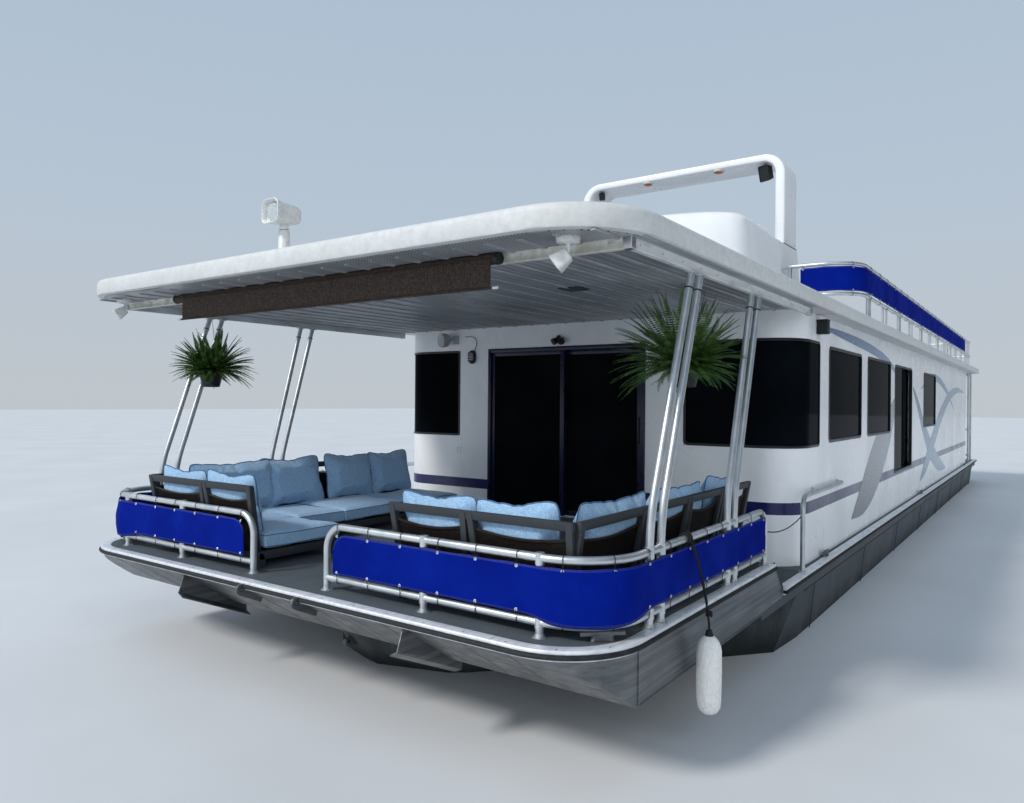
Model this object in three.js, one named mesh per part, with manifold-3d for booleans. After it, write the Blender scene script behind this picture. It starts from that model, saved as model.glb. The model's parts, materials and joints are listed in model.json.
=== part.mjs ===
// Houseboat: decked aluminium hull, cabin, open upper deck with a helm, bow porch with seats.
// Millimetres. X points to port, Y aft, Z up. The sub-parts are drawn with y = 0 at the
// front edge of the bow deck and z = 0 at the waterline; the finished group is moved
// forward by half the length, so its origin is amidships on the waterline.
import * as THREE from 'three';
import { mergeVertices } from 'three/addons/utils/BufferGeometryUtils.js';
import Module from 'manifold-3d';

const wasm = await Module();
wasm.setup();
const { Manifold, Mesh: SolidMesh } = wasm;

// Overall sizes
const LENGTH = 22860;
const HALF_BEAM = 2745;
const HULL_SIDE = 2700;
const DRAUGHT = 450;
const FIT = 0.3;
const RUN_GAP = 5.5;
const SEAT_GAP = 0.6;

// Decks
const DECK_TOP = 870;
const LEDGE_TOP = 610;
const LEDGE_THICK = 150;
const BOW_DECK_END = 3020;
const LUGS = [-225, 395];
const BOW_STEPS = [-1075, 1330];
const SKIRT_END = 3300;
const SKIRT_TOP = 812;
const SKIRT_FOOT = [470, 488];
const BOW_RADIUS = 500;
const TRANSOM = 21900;

// Cabin
const CABIN_SIDE = 2610;
const CABIN_FRONT = 4106;
const CABIN_SEAM = 5085;
const CABIN_REAR = 20900;
const CABIN_RADIUS = 400;
const WALL = 60;
const GLASS = 26;
const PORCH_DECK_SIDE = 2200;

// Roof
const ROOF_UNDER = 3130;
const ROOF_TOP = 3275;
const ROOF_SIDE = 2805;
const ROOF_FRONT = -58;
const ROOF_REAR = 22600;
const ROOF_RADIUS = 560;
const TRACK_HIGH = 70;
const TRACK_FRONT = 370;

// Window and door heights
const WINDOW_LOW = 1790;
const WINDOW_HIGH = 2835;
const DOOR_LOW = 882;
const DOOR_HIGH = 2823;
const SIDE_DOOR_LOW = 1155;

// Rails
const PIPE = 25;
const THIN_PIPE = 23;
const POLE = 25;
const CANVAS_OUT = POLE + FIT;
const PIPE_FACE = PIPE * Math.cos(Math.PI / 8) + FIT;
const CANVAS_THICK = 6;
const RAIL_TOP = 1325;
const RAIL_LOW = 960;
const POLE_KNEE = 1500;
const RAIL_FRONT = 178;
const RAIL_SIDE = 2660;
const RAIL_END = 2900;
const GATE_PORT = 449;
const GATE_STARBOARD = 392;
const HANDRAIL_FRONT = 4080;
const HANDRAIL_END = 5700;
const HANDRAIL_TOP = 1330;
const CORD_STEPS = 16;
const CORD_SAG = 60;
const FENDER_ROPE = 7;
const FENDER_LOW = 232;
const FENDER_LENGTH = 530;
const LINE_STEPS = 14;
const STERN_RAIL = 22420;
const UPPER_SIDE = 2580;
const UPPER_FRONT = 6900;
const UPPER_REAR = 22350;
const UPPER_TOP = 4020;
const UPPER_MID = 3630;

// Bow seats
const SEAT_FRAME = 935;
const SEAT_TOP = 1000;
const SEAT_DEPTH = 930;
const SEAT_BACK = 1530;
const CUSHION = 135;
const PILLOW_TOP = 1590;

// Hanging ferns
const FROND_COUNT = 12;
const FROND_STEPS = 5;

// Flybridge
const COWL_SIDE = 1680;
const COWL_REAR = 7760;
const COWL_TOP = 4400;
const ARCH_FRONT = 7150;
const ARCH_REAR = 7750;
const ARCH_SIDE = 1590;
const ARCH_TOP = 5670;
const WHEEL_CENTRE = new THREE.Vector3(-600, 6135, 4080);
const HELM_TILT = 20;

// Drives
const DRIVE_X = 950;
const DRIVE_Y = 22120;
const PROP_Y = 22546;
const PROP_Z = -640;
const PROP_RADIUS = 185;
const KINGPIN = 20;

const paints = {
  aluminium: { color: 0xa9adaf, roughness: 0.42, metalness: 0.9 },
  deck: { color: 0x3a4148, roughness: 0.85, metalness: 0.1 },
  strip: { color: 0xd9dcde, roughness: 0.35, metalness: 0.6 },
  gelcoat: { color: 0xf0f1f0, roughness: 0.3, metalness: 0 },
  roof: { color: 0xe6e7e5, roughness: 0.55, metalness: 0 },
  glass: { color: 0x0c0f12, roughness: 0.08, metalness: 0.1 },
  canvas: { color: 0x0f2399, roughness: 0.85, metalness: 0 },
  stainless: { color: 0xcdd1d4, roughness: 0.25, metalness: 1 },
  charcoal: { color: 0x2b2e31, roughness: 0.6, metalness: 0.3 },
  cushion: { color: 0x6f97b6, roughness: 0.9, metalness: 0 },
  mesh: { color: 0x4d3c31, roughness: 0.9, metalness: 0 },
  fern: { color: 0x35561f, roughness: 0.9, metalness: 0 },
  fender: { color: 0xe9e7e0, roughness: 0.7, metalness: 0 },
  rope: { color: 0x17181a, roughness: 0.9, metalness: 0 },
  bronze: { color: 0x3b3f43, roughness: 0.45, metalness: 0.6 },
};

const boat = new THREE.Group();
boat.name = 'houseboat';

function at(x, y, z) {
  return new THREE.Vector3(x, y, z);
}

function solid(geometry) {
  const bare = geometry.clone();
  bare.deleteAttribute('normal');
  bare.deleteAttribute('uv');
  const welded = mergeVertices(bare, 0.001);
  return new Manifold(new SolidMesh({
    numProp: 3,
    vertProperties: new Float32Array(welded.attributes.position.array),
    triVerts: new Uint32Array(welded.index.array),
  }));
}

function union(parts) {
  return parts.reduce((sum, part) => sum.add(part));
}

function mirrored(part) {
  return part.mirror([1, 0, 0]);
}

function add(name, part, paint) {
  const mesh = part.getMesh();
  const geometry = new THREE.BufferGeometry();
  geometry.setAttribute('position', new THREE.BufferAttribute(mesh.vertProperties, 3));
  geometry.setIndex(new THREE.BufferAttribute(mesh.triVerts, 1));
  const material = new THREE.MeshStandardMaterial(paints[paint]);
  material.name = paint;
  const node = new THREE.Mesh(geometry, material);
  node.name = name;
  boat.add(node);
}

function addPair(name, part, paint) {
  add(`${name}_port`, part, paint);
  add(`${name}_starboard`, mirrored(part), paint);
}

function box(x0, x1, y0, y1, z0, z1) {
  const geometry = new THREE.BoxGeometry(x1 - x0, y1 - y0, z1 - z0);
  geometry.translate((x0 + x1) / 2, (y0 + y1) / 2, (z0 + z1) / 2);
  return solid(geometry);
}

// A plan outline raised from z0 to z1
function slab(outline, z0, z1) {
  const shape = new THREE.Shape(outline);
  const geometry = new THREE.ExtrudeGeometry(shape, { depth: z1 - z0, bevelEnabled: false });
  geometry.translate(0, 0, z0);
  return solid(geometry);
}

// A side outline of (y, z) points carried from x0 to x1
function sideProfile(outline, x0, x1) {
  const shape = new THREE.Shape(outline.map(([y, z]) => new THREE.Vector2(y, z)));
  const geometry = new THREE.ExtrudeGeometry(shape, { depth: x1 - x0, bevelEnabled: false });
  geometry.applyMatrix4(new THREE.Matrix4().makeBasis(at(0, 1, 0), at(0, 0, 1), at(1, 0, 0)));
  geometry.translate(x0, 0, 0);
  return solid(geometry);
}

// A front outline of (x, z) points carried from y0 to y1
function frontProfile(points, y0, y1) {
  const geometry = new THREE.ExtrudeGeometry(new THREE.Shape(points), {
    depth: y1 - y0,
    bevelEnabled: false,
  });
  geometry.applyMatrix4(new THREE.Matrix4().makeBasis(at(1, 0, 0), at(0, 0, 1), at(0, -1, 0)));
  geometry.translate(0, y1, 0);
  return solid(geometry);
}

// A rectangle with one corner radius at the low end and one at the high end of its height
function roundedRect(x0, x1, y0, y1, lowRadius, highRadius, steps = 5) {
  const corners = [
    [x0 + lowRadius, y0 + lowRadius, lowRadius, Math.PI],
    [x1 - lowRadius, y0 + lowRadius, lowRadius, 1.5 * Math.PI],
    [x1 - highRadius, y1 - highRadius, highRadius, 0],
    [x0 + highRadius, y1 - highRadius, highRadius, 0.5 * Math.PI],
  ];
  const points = [];
  for (const [cx, cy, radius, start] of corners) {
    for (let i = 0; i <= steps; i++) {
      const turn = start + (i / steps) * 0.5 * Math.PI;
      points.push(new THREE.Vector2(cx + radius * Math.cos(turn), cy + radius * Math.sin(turn)));
    }
  }
  return points;
}

// Closed rings of equal point counts joined in order, with flat ends
function loft(rings) {
  const count = rings[0].length;
  const positions = rings.flatMap((ring) => ring.flatMap((point) => [point.x, point.y, point.z]));
  const index = [];
  for (let r = 0; r < rings.length - 1; r++) {
    for (let i = 0; i < count; i++) {
      const j = (i + 1) % count;
      const [a, b] = [r * count + i, r * count + j];
      const [c, d] = [a + count, b + count];
      index.push(a, b, d, a, d, c);
    }
  }
  const last = (rings.length - 1) * count;
  for (let i = 1; i < count - 1; i++) {
    index.push(0, i + 1, i);
    index.push(last, last + i, last + i + 1);
  }
  const geometry = new THREE.BufferGeometry();
  geometry.setAttribute('position', new THREE.Float32BufferAttribute(positions, 3));
  geometry.setIndex(index);
  const made = solid(geometry);
  if (made.volume() > 0) {
    return made;
  }
  const flipped = geometry.clone();
  flipped.setIndex(index.slice().reverse());
  return solid(flipped);
}

// A path through given points that ExtrudeGeometry can follow, one ring at each point
class PointPath extends THREE.Curve {
  constructor(points) {
    super();
    this.points = points;
  }

  getPointAt(u) {
    return this.points[Math.round(u * (this.points.length - 1))].clone();
  }

  getTangentAt(u) {
    const i = Math.round(u * (this.points.length - 1));
    const before = this.points[Math.max(i - 1, 0)];
    const after = this.points[Math.min(i + 1, this.points.length - 1)];
    return after.clone().sub(before).normalize();
  }
}

function tube(points, radius, sides = radius < PIPE ? 6 : 8) {
  const ring = new THREE.Shape();
  for (let i = 0; i < sides; i++) {
    const turn = ((i + 0.5) / sides) * 2 * Math.PI;
    const [x, y] = [radius * Math.cos(turn), radius * Math.sin(turn)];
    if (i === 0) {
      ring.moveTo(x, y);
    } else {
      ring.lineTo(x, y);
    }
  }
  const options = { steps: points.length - 1, bevelEnabled: false, extrudePath: new PointPath(points) };
  return solid(new THREE.ExtrudeGeometry(ring, options));
}

// Corner points with an arc of the given radius at each inner corner
function bend(corners, radii, steps = 4) {
  const path = [corners[0]];
  for (let i = 1; i < corners.length - 1; i++) {
    const here = corners[i];
    const radius = radii[i - 1];
    const back = corners[i - 1].clone().sub(here).normalize();
    const on = corners[i + 1].clone().sub(here).normalize();
    const half = back.angleTo(on) / 2;
    const reach = radius / Math.tan(half);
    const middle = back.clone().add(on).setLength(radius / Math.sin(half)).add(here);
    const from = back.clone().multiplyScalar(reach).add(here).sub(middle);
    const to = on.clone().multiplyScalar(reach).add(here).sub(middle);
    const sweep = from.angleTo(to);
    for (let k = 0; k <= steps; k++) {
      const a = Math.sin((1 - k / steps) * sweep) / Math.sin(sweep);
      const b = Math.sin((k / steps) * sweep) / Math.sin(sweep);
      path.push(from.clone().multiplyScalar(a).add(to.clone().multiplyScalar(b)).add(middle));
    }
  }
  path.push(corners[corners.length - 1]);
  return path;
}

function turned(profile, sides) {
  const points = profile.map(([radius, height]) => new THREE.Vector2(radius, height));
  const geometry = new THREE.LatheGeometry(points, sides);
  geometry.rotateX(Math.PI / 2);
  return solid(geometry);
}

// Hull: V sections from the stem to the transom under a flat deck slab
function hullSection([y, topHalf, chineHalf, chineZ, keelZ]) {
  const top = LEDGE_TOP - 10;
  return [
    at(0, y, keelZ),
    at(chineHalf, y, chineZ),
    at(topHalf, y, top),
    at(-topHalf, y, top),
    at(-chineHalf, y, chineZ),
  ];
}

function bowDeckProfile(grow) {
  return [
    [-grow, DECK_TOP + grow],
    [-grow, SKIRT_TOP - grow],
    [SKIRT_FOOT[0], SKIRT_FOOT[1] - grow],
    [SKIRT_END, 518 - grow],
    [SKIRT_END + grow, LEDGE_TOP + FIT],
    [BOW_DECK_END + grow, DECK_TOP + grow],
  ].reverse();
}

function bowDeckBody(grow) {
  const side = HULL_SIDE + grow;
  const outline = roundedRect(-side, side, -grow, SKIRT_END + 200, BOW_RADIUS, 1, 6);
  const plan = slab(outline, 400, DECK_TOP + 50);
  return plan.intersect(sideProfile(bowDeckProfile(grow), -side, side));
}

function buildHull() {
  const stations = [
    [720, 40, 25, 420, 380],
    [1050, 320, 250, 110, 60],
    [1400, 610, 740, -40, -260],
    [2450, 1455, 1850, -100, -340],
    [3300, 2140, 2560, -130, -410],
    [4000, 2699, 2610, -150, -DRAUGHT],
    [TRANSOM, 2699, 2610, -150, -DRAUGHT],
  ];
  const shell = loft(stations.map(hullSection));
  const plan = roundedRect(-HULL_SIDE, HULL_SIDE, BOW_DECK_END - 300, LENGTH, 1, 150);
  const ledge = slab(plan, LEDGE_TOP - LEDGE_THICK, LEDGE_TOP);
  const mounts = [-DRIVE_X, DRIVE_X].map((x) => union([
    box(x - 150, x + 150, TRANSOM - 50, TRANSOM + 60, -420, 430),
    box(x - 60, x + 60, TRANSOM, DRIVE_Y + 60, 300, 360),
    box(x - 60, x + 60, TRANSOM, DRIVE_Y + 60, 0, 60),
  ]).subtract(tube([at(x, DRIVE_Y, -50), at(x, DRIVE_Y, 400)], KINGPIN + 4)));
  return union([shell, ledge, ...mounts]).subtract(bowDeckBody(FIT));
}

// A horn cleat set diagonally in the deck's corner
function cleat(x, y, z) {
  const horn = union([box(-130, 130, -16, 16, 38, 58), box(-60, 60, -14, 14, -5, 45)]);
  return horn.rotate([0, 0, x > 0 ? 45 : -45]).translate([x, y, z]);
}

function buildBowDeck() {
  const porch = box(
    -PORCH_DECK_SIDE, PORCH_DECK_SIDE,
    BOW_DECK_END - 100, CABIN_FRONT - FIT,
    LEDGE_TOP + FIT, DECK_TOP,
  );
  const lugs = LUGS.map((x) => lug(x, 0));
  return union([bowDeckBody(0), porch, cleat(2560, 330, DECK_TOP), cleat(-2560, 330, DECK_TOP), ...lugs]);
}

// A hinge lug under the bow edge: a round eye on an arm that runs back under the sloping plate
function lug(x, grow) {
  const half = 10 + grow;
  const arm = [[-40, 778 - grow], [120, 690], [140, 740], [-10, SKIRT_TOP + grow]];
  return union([
    sideProfile(arm, x - half, x + half),
    tube([at(x - half, -52, 815), at(x + half, -52, 815)], 40 + grow, 12),
  ]);
}

// Rub rail section: top strip, rubber and lower lip, as reach outward against height
const RUB_BANDS = [
  [810, 824, 18],
  [822, 852, HALF_BEAM - HULL_SIDE],
  [850, 874, 28],
];

function bowRubRail() {
  const bands = RUB_BANDS.map(([z0, z1, reach]) => {
    const side = HULL_SIDE + reach;
    const outer = roundedRect(-side, side, -reach, BOW_DECK_END + 500, BOW_RADIUS + reach, 1, 6);
    const inner = roundedRect(
      -HULL_SIDE - FIT, HULL_SIDE + FIT, -FIT, BOW_DECK_END + 500, BOW_RADIUS, 1, 6,
    );
    return slab(outer, z0, z1).subtract(slab(inner, z0 - 5, z1 + 5));
  });
  const notches = LUGS.map((x) => lug(x, 1));
  return union(bands).subtract(union([box(-3000, 3000, BOW_DECK_END - 20, 6000, 600, 1000), ...notches]));
}

function sideRubRail() {
  const drop = DECK_TOP - LEDGE_TOP;
  const bands = RUB_BANDS.map(([z0, z1, reach]) => box(
    HULL_SIDE + FIT, HULL_SIDE + reach,
    SKIRT_END, LENGTH,
    z0 - drop, z1 - drop,
  ));
  return union(bands);
}

// A blade welded under the sloping bow plate, its lower edge bent inward; inward is +1 or -1
function bowStep(x, inward) {
  const front = [-30, 660];
  const rear = [600, 385];
  const blade = sideProfile([[30, 830], front, rear, [600, 430], [490, 560]], x - 4, x + 4);
  const lip = [front, rear].map(([y, z]) => [
    at(x - 4 * inward, y, z + 6),
    at(x - 4 * inward, y, z - 5),
    at(x + 58 * inward, y, z - 34),
    at(x + 58 * inward, y, z - 25),
  ]);
  return union([blade, loft(lip)]).subtract(bowDeckBody(FIT));
}

// Cabin walls
function cabinRing(outset, z0, z1) {
  const side = CABIN_SIDE - outset;
  const radius = CABIN_RADIUS - outset;
  return slab(roundedRect(
    -side, side, CABIN_FRONT + outset, CABIN_REAR - outset, radius, 10, 6,
  ), z0, z1);
}

function cabinShell() {
  const low = LEDGE_TOP + FIT;
  const high = ROOF_UNDER - FIT;
  return cabinRing(0, low, high).subtract(cabinRing(WALL, low - 10, high + 10));
}

const PATIO = [-1104, 964];
const CORNER_WINDOW_PORT = 1440;
const CORNER_WINDOW_STARBOARD = -1595;
const CORNER_WINDOW_END = 4890;
const SIDE_WINDOWS = [
  [5280, 6990, WINDOW_LOW, WINDOW_HIGH],
  [7370, 9080, WINDOW_LOW, WINDOW_HIGH],
  [12590, 14330, WINDOW_LOW, WINDOW_HIGH - 20],
];
const SIDE_DOOR = [9450, 11160, SIDE_DOOR_LOW, DOOR_HIGH];
const REAR_DOOR = [-880, 880];

function cornerWindow(x, slack) {
  return box(x + slack, 3000, 4000, CORNER_WINDOW_END - slack, WINDOW_LOW - 20 + slack, 2850 - slack);
}

function sideWindow([y0, y1, z0, z1], slack) {
  const outline = roundedRect(y0 + slack, y1 - slack, z0 + slack, z1 - slack, 70, 70, 3);
  return sideProfile(outline.map((point) => [point.x, point.y]), CABIN_SIDE - 200, CABIN_SIDE + 50);
}

function buildCabin() {
  const shell = cabinShell();
  const frontZone = box(-3000, 3000, 4000, CABIN_SEAM - FIT, 0, 4000);
  const rearZone = box(-3000, 3000, CABIN_REAR - WALL - 10, CABIN_REAR + 100, 0, 4000);
  const portZone = box(0, 3000, CABIN_SEAM, CABIN_REAR - WALL - 10 - FIT, 0, 4000);
  const patio = box(PATIO[0], PATIO[1], 4000, 4300, DOOR_LOW - 12, DOOR_HIGH);
  const [left, right] = REAR_DOOR;
  const rearDoor = box(left, right, CABIN_REAR - 200, CABIN_REAR + 50, DOOR_LOW - 12, DOOR_HIGH);
  const front = shell.intersect(frontZone)
    .subtract(cornerWindow(CORNER_WINDOW_PORT, 0))
    .subtract(mirrored(cornerWindow(-CORNER_WINDOW_STARBOARD, 0)))
    .subtract(patio);
  add('cabin_front', front, 'gelcoat');
  const cuts = [...SIDE_WINDOWS, SIDE_DOOR].map((window) => sideWindow(window, 0));
  const [y0, y1, z0, z1] = SIDE_DOOR;
  const guide = (low, high) => box(CABIN_SIDE - 130, CABIN_SIDE - WALL + 5, y0 - 40, y1 + 60, low, high);
  const guides = [guide(z0 - 34, z0 - 16), guide(z1 + 16, z1 + 34)];
  const port = union([shell.intersect(portZone).subtract(union(cuts)), ...guides]);
  addPair('cabin_side', port, 'gelcoat');
  add('cabin_rear', shell.intersect(rearZone).subtract(rearDoor), 'gelcoat');
  const floor = cabinRing(WALL + FIT, LEDGE_TOP + FIT, DECK_TOP);
  add('cabin_floor', floor, 'deck');
}

// Glass: bent corner panes, and side panes hung from one inner header bar
function buildGlass() {
  const skin = cabinRing(14, 900, 3000).subtract(cabinRing(14 + GLASS, 890, 3010));
  add('front_glass_port', skin.intersect(cornerWindow(CORNER_WINDOW_PORT, FIT)), 'glass');
  const starboard = mirrored(cornerWindow(-CORNER_WINDOW_STARBOARD, FIT));
  add('front_glass_starboard', skin.intersect(starboard), 'glass');
  const band = box(CABIN_SIDE - 14 - GLASS, CABIN_SIDE - 14, 5000, 15000, 0, 4000);
  const panes = SIDE_WINDOWS.map((window) => band.intersect(sideWindow(window, FIT)));
  const [y0, y1] = SIDE_DOOR;
  const firstHalf = box(0, 3000, y0, (y0 + y1) / 2 + 30, 0, 4000);
  const fixedHalf = band.intersect(sideWindow(SIDE_DOOR, FIT)).intersect(firstHalf);
  const header = box(CABIN_SIDE - WALL - 22, CABIN_SIDE - WALL - 2, 5300, 14300, 2740, 2780);
  const hangers = [5500, 7600, 9700, 12800].map((y) => box(
    CABIN_SIDE - WALL - 22, CABIN_SIDE - 20, y, y + 400, 2745, 2775,
  ));
  addPair('side_glass', union([...panes, fixedHalf, header, ...hangers]), 'glass');
}

// Sliding doors: one fixed leaf and one moving leaf inside it
function leaf(x0, x1, y, z0, z1) {
  const frame = box(x0, x1, y, y + 34, z0, z1);
  const rebate = box(x0 + 55, x1 - 55, y - 5, y + 12, z0 + 55, z1 - 55);
  return frame.subtract(rebate);
}

function buildDoors() {
  const [left, right] = PATIO;
  const middle = (left + right) / 2;
  const low = DOOR_LOW;
  const high = DOOR_HIGH - FIT - 2;
  const outer = CABIN_FRONT + 12;
  const sill = box(left + FIT, right - FIT, CABIN_FRONT + 6, CABIN_FRONT + WALL - 2, DECK_TOP + FIT, low - 2);
  add('front_door_fixed', union([leaf(left + 2, middle + 30, outer, low - 4, high), sill]), 'glass');
  const inner = CABIN_FRONT + WALL + 6;
  add('front_door', leaf(middle - 30, right - 40, inner, DECK_TOP + SEAT_GAP, high - 6), 'glass');

  const [y0, y1, z0, z1] = SIDE_DOOR;
  const half = (y0 + y1) / 2;
  const inside = CABIN_SIDE - WALL;
  const pane = box(inside - 66, inside - 34, half - 30, y1 + 20, z0 - 16 + SEAT_GAP, z1 + 10);
  addPair('side_door', pane, 'glass');

  const rear = CABIN_REAR;
  const rearSill = box(REAR_DOOR[0] + FIT, REAR_DOOR[1] - FIT, rear - 54, rear - 6, DECK_TOP + FIT, low - 2);
  const rearFixed = leaf(-REAR_DOOR[1] + 2, 30, rear - 48, low - 4, high);
  add('rear_door_fixed', union([rearFixed, rearSill]), 'glass');
  add('rear_door', leaf(-30, REAR_DOOR[1] - 40, rear - WALL - 50, DECK_TOP + SEAT_GAP, high - 6), 'glass');
}

// Roof with a stair opening at the aft end
const STAIR = { x0: -1900, x1: -1150, y0: 20980, y1: 22380 };

function buildRoof() {
  const plan = roundedRect(-ROOF_SIDE, ROOF_SIDE, ROOF_FRONT, ROOF_REAR, ROOF_RADIUS, 200, 7);
  const opening = box(STAIR.x0 - 30, STAIR.x1 + 30, STAIR.y0 - 20, STAIR.y1 - 150, 3000, 3400);
  return slab(plan, ROOF_UNDER, ROOF_TOP).subtract(opening);
}

function screenTrack() {
  const high = ROOF_UNDER - FIT;
  const low = ROOF_UNDER - TRACK_HIGH;
  const sides = [[RAIL_SIDE, RAIL_SIDE + 40], [-RAIL_SIDE - 40, -RAIL_SIDE]];
  return union([
    box(-RAIL_SIDE - 40, RAIL_SIDE + 40, TRACK_FRONT, TRACK_FRONT + 40, low, high),
    ...sides.map(([x0, x1]) => box(x0, x1, TRACK_FRONT, 4200, low, high)),
  ]);
}

// Bow rails with the roof poles welded to them
function pole(deckY, roofX, roofY) {
  const foot = at(RAIL_SIDE, deckY, DECK_TOP + FIT);
  const knee = at(RAIL_SIDE, deckY, POLE_KNEE);
  const above = box(0, 3000, 0, 4000, ROOF_UNDER - TRACK_HIGH - FIT, 4000);
  return tube(bend([foot, knee, at(roofX, roofY, ROOF_UNDER)], [1200], 3), POLE, 6).subtract(above);
}

function bowRail(gateX) {
  const foot = DECK_TOP + FIT;
  const top = bend([
    at(gateX, RAIL_FRONT, foot),
    at(gateX, RAIL_FRONT, RAIL_TOP),
    at(RAIL_SIDE, RAIL_FRONT, RAIL_TOP),
    at(RAIL_SIDE, RAIL_END, RAIL_TOP),
    at(RAIL_SIDE, RAIL_END, foot),
  ], [160, 400, 140]);
  const low = bend([
    at(gateX, RAIL_FRONT, RAIL_LOW),
    at(RAIL_SIDE, RAIL_FRONT, RAIL_LOW),
    at(RAIL_SIDE, RAIL_END, RAIL_LOW),
  ], [400]);
  const posts = [1360, 2240].map((x) => tube([
    at(x, RAIL_FRONT, foot), at(x, RAIL_FRONT, RAIL_TOP),
  ], THIN_PIPE));
  const poles = [[715, 2685, 1285], [875, 2685, 1430], [2020, 2685, 2470], [2170, 2685, 2645]];
  return union([
    tube(top, PIPE),
    tube(low, THIN_PIPE),
    ...posts,
    ...poles.map(([deckY, roofX, roofY]) => pole(deckY, roofX, roofY)),
  ]);
}

function bowCanvas(gateX) {
  const sheet = (out) => slab(roundedRect(
    -3000, RAIL_SIDE + out, RAIL_FRONT - out, 6000, 400 + out, 1, 4,
  ), RAIL_LOW - 4, RAIL_TOP - 4);
  const band = sheet(CANVAS_OUT + CANVAS_THICK).subtract(sheet(CANVAS_OUT));
  return band.intersect(box(gateX + 90, 3000, 0, RAIL_END - 60, 0, 2000));
}

function handrail() {
  const path = bend([
    at(RAIL_SIDE, HANDRAIL_FRONT, LEDGE_TOP + FIT),
    at(RAIL_SIDE, HANDRAIL_FRONT, HANDRAIL_TOP),
    at(RAIL_SIDE, HANDRAIL_END, HANDRAIL_TOP),
    at(CABIN_SIDE + FIT, HANDRAIL_END, HANDRAIL_TOP),
  ], [120, 30]);
  return tube(path, THIN_PIPE);
}

// Upper deck rail, open forward at the cowl and aft at the stair
function upperRail() {
  const run = (z, radius) => tube(bend([
    at(cowlSideAt(z) + 2, UPPER_FRONT, z),
    at(UPPER_SIDE, UPPER_FRONT, z),
    at(UPPER_SIDE, UPPER_REAR, z),
    at(FIT, UPPER_REAR, z),
  ], [450, 200]), radius);
  const post = (x, y) => tube([at(x, y, ROOF_TOP + FIT), at(x, y, UPPER_TOP)], THIN_PIPE);
  const posts = [post(COWL_SIDE + 60, UPPER_FRONT), post(700, UPPER_REAR), post(2000, UPPER_REAR)];
  for (let y = 7500; y < UPPER_REAR - 300; y += 2430) {
    posts.push(post(UPPER_SIDE, y));
  }
  return union([run(UPPER_TOP, PIPE), run(UPPER_MID, THIN_PIPE), ...posts]);
}

function upperCanvas() {
  const sheet = (out) => slab(roundedRect(
    -3000, UPPER_SIDE + out, UPPER_FRONT - out, 26000, 450 + out, 1, 4,
  ), UPPER_MID - 4, UPPER_TOP - 4);
  const band = sheet(PIPE_FACE + CANVAS_THICK).subtract(sheet(PIPE_FACE));
  return band.intersect(box(COWL_SIDE + 200, 3000, 0, 20560, 0, 5000));
}

// Flybridge: cowl, arch, console, wheel and bench
function cowlRing(inset, z, count = 14) {
  const side = COWL_SIDE - inset;
  const ring = [];
  for (let i = 0; i <= count; i++) {
    const turn = Math.PI * (i / count);
    const across = -side * Math.cos(turn);
    const ahead = (640 - inset * 0.2) * Math.sin(turn) ** 0.8;
    ring.push(at(across, 5560 + inset * 0.9 - ahead, z));
  }
  ring.push(at(side, COWL_REAR, z), at(-side, COWL_REAR, z));
  return ring;
}

// Outer half width of the cowl's side at a height
function cowlSideAt(z) {
  return COWL_SIDE - (60 * (z - ROOF_TOP)) / (4150 - ROOF_TOP);
}

function buildCowl() {
  const base = ROOF_TOP + FIT;
  const outer = loft([
    cowlRing(0, base),
    cowlRing(60, 4150),
    cowlRing(85, COWL_TOP),
    cowlRing(140, 4475),
    cowlRing(330, 4530),
  ]);
  const inner = loft([cowlRing(60, base - 50), cowlRing(130, 4150), cowlRing(200, 4400)]);
  const rear = box(-1425, 1425, 6150, 9000, base - 50, 5000);
  const step = box(-3000, 3000, 6450, 9000, COWL_TOP, 5000);
  const room = inner.subtract(box(-3000, 3000, 6150, 9000, 0, 6000));
  return outer.subtract(room).subtract(rear).subtract(step);
}

function buildArch() {
  const foot = COWL_TOP + FIT;
  const leg = 135;
  const outer = roundedRect(-ARCH_SIDE, ARCH_SIDE, foot, ARCH_TOP, 1, 300, 6);
  const inner = roundedRect(-ARCH_SIDE + leg, ARCH_SIDE - leg, foot - 100, ARCH_TOP - 105, 1, 170, 6);
  const opening = frontProfile(inner, ARCH_FRONT - 10, ARCH_REAR + 10);
  return frontProfile(outer, ARCH_FRONT, ARCH_REAR).subtract(opening);
}

// Turns a piece drawn round +Z onto the wheel's shaft, +Z pointing into the console
function onHelmShaft(part) {
  return part.rotate([90 + HELM_TILT, 0, 0]).translate([WHEEL_CENTRE.x, WHEEL_CENTRE.y, WHEEL_CENTRE.z]);
}

function buildConsole() {
  const foot = ROOF_TOP + FIT;
  const profile = [[5500, foot], [5980, foot], [6080, 4050], [5990, 4330], [5500, 4330]];
  const boss = turned([[0, 55 + SEAT_GAP], [34, 55 + SEAT_GAP], [34, 160], [0, 160]], 12);
  return sideProfile(profile, -1000, -150).add(onHelmShaft(boss));
}

function buildWheel() {
  const rim = new THREE.TorusGeometry(190, 13, 6, 20);
  const hub = new THREE.CylinderGeometry(38, 38, 36, 10);
  hub.rotateX(Math.PI / 2);
  const spokes = [0, 1, 2].map((i) => {
    const spoke = new THREE.BoxGeometry(24, 190, 10);
    spoke.translate(0, 95, 0);
    spoke.rotateZ((i * 2 * Math.PI) / 3);
    return solid(spoke);
  });
  const shaft = new THREE.CylinderGeometry(14, 14, 60, 8);
  shaft.rotateX(Math.PI / 2);
  shaft.translate(0, 0, 25);
  const flat = union([solid(rim), solid(hub), solid(shaft), ...spokes]);
  return onHelmShaft(flat);
}

function buildBench() {
  const foot = ROOF_TOP + FIT;
  return union([
    box(-1150, 0, 6720, 7080, foot, 3650),
    box(-1180, 30, 6650, 7130, 3645, 3760),
    sideProfile([[7050, 3700], [7130, 3700], [7210, 4280], [7140, 4300]], -1180, 30),
  ]);
}

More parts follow.
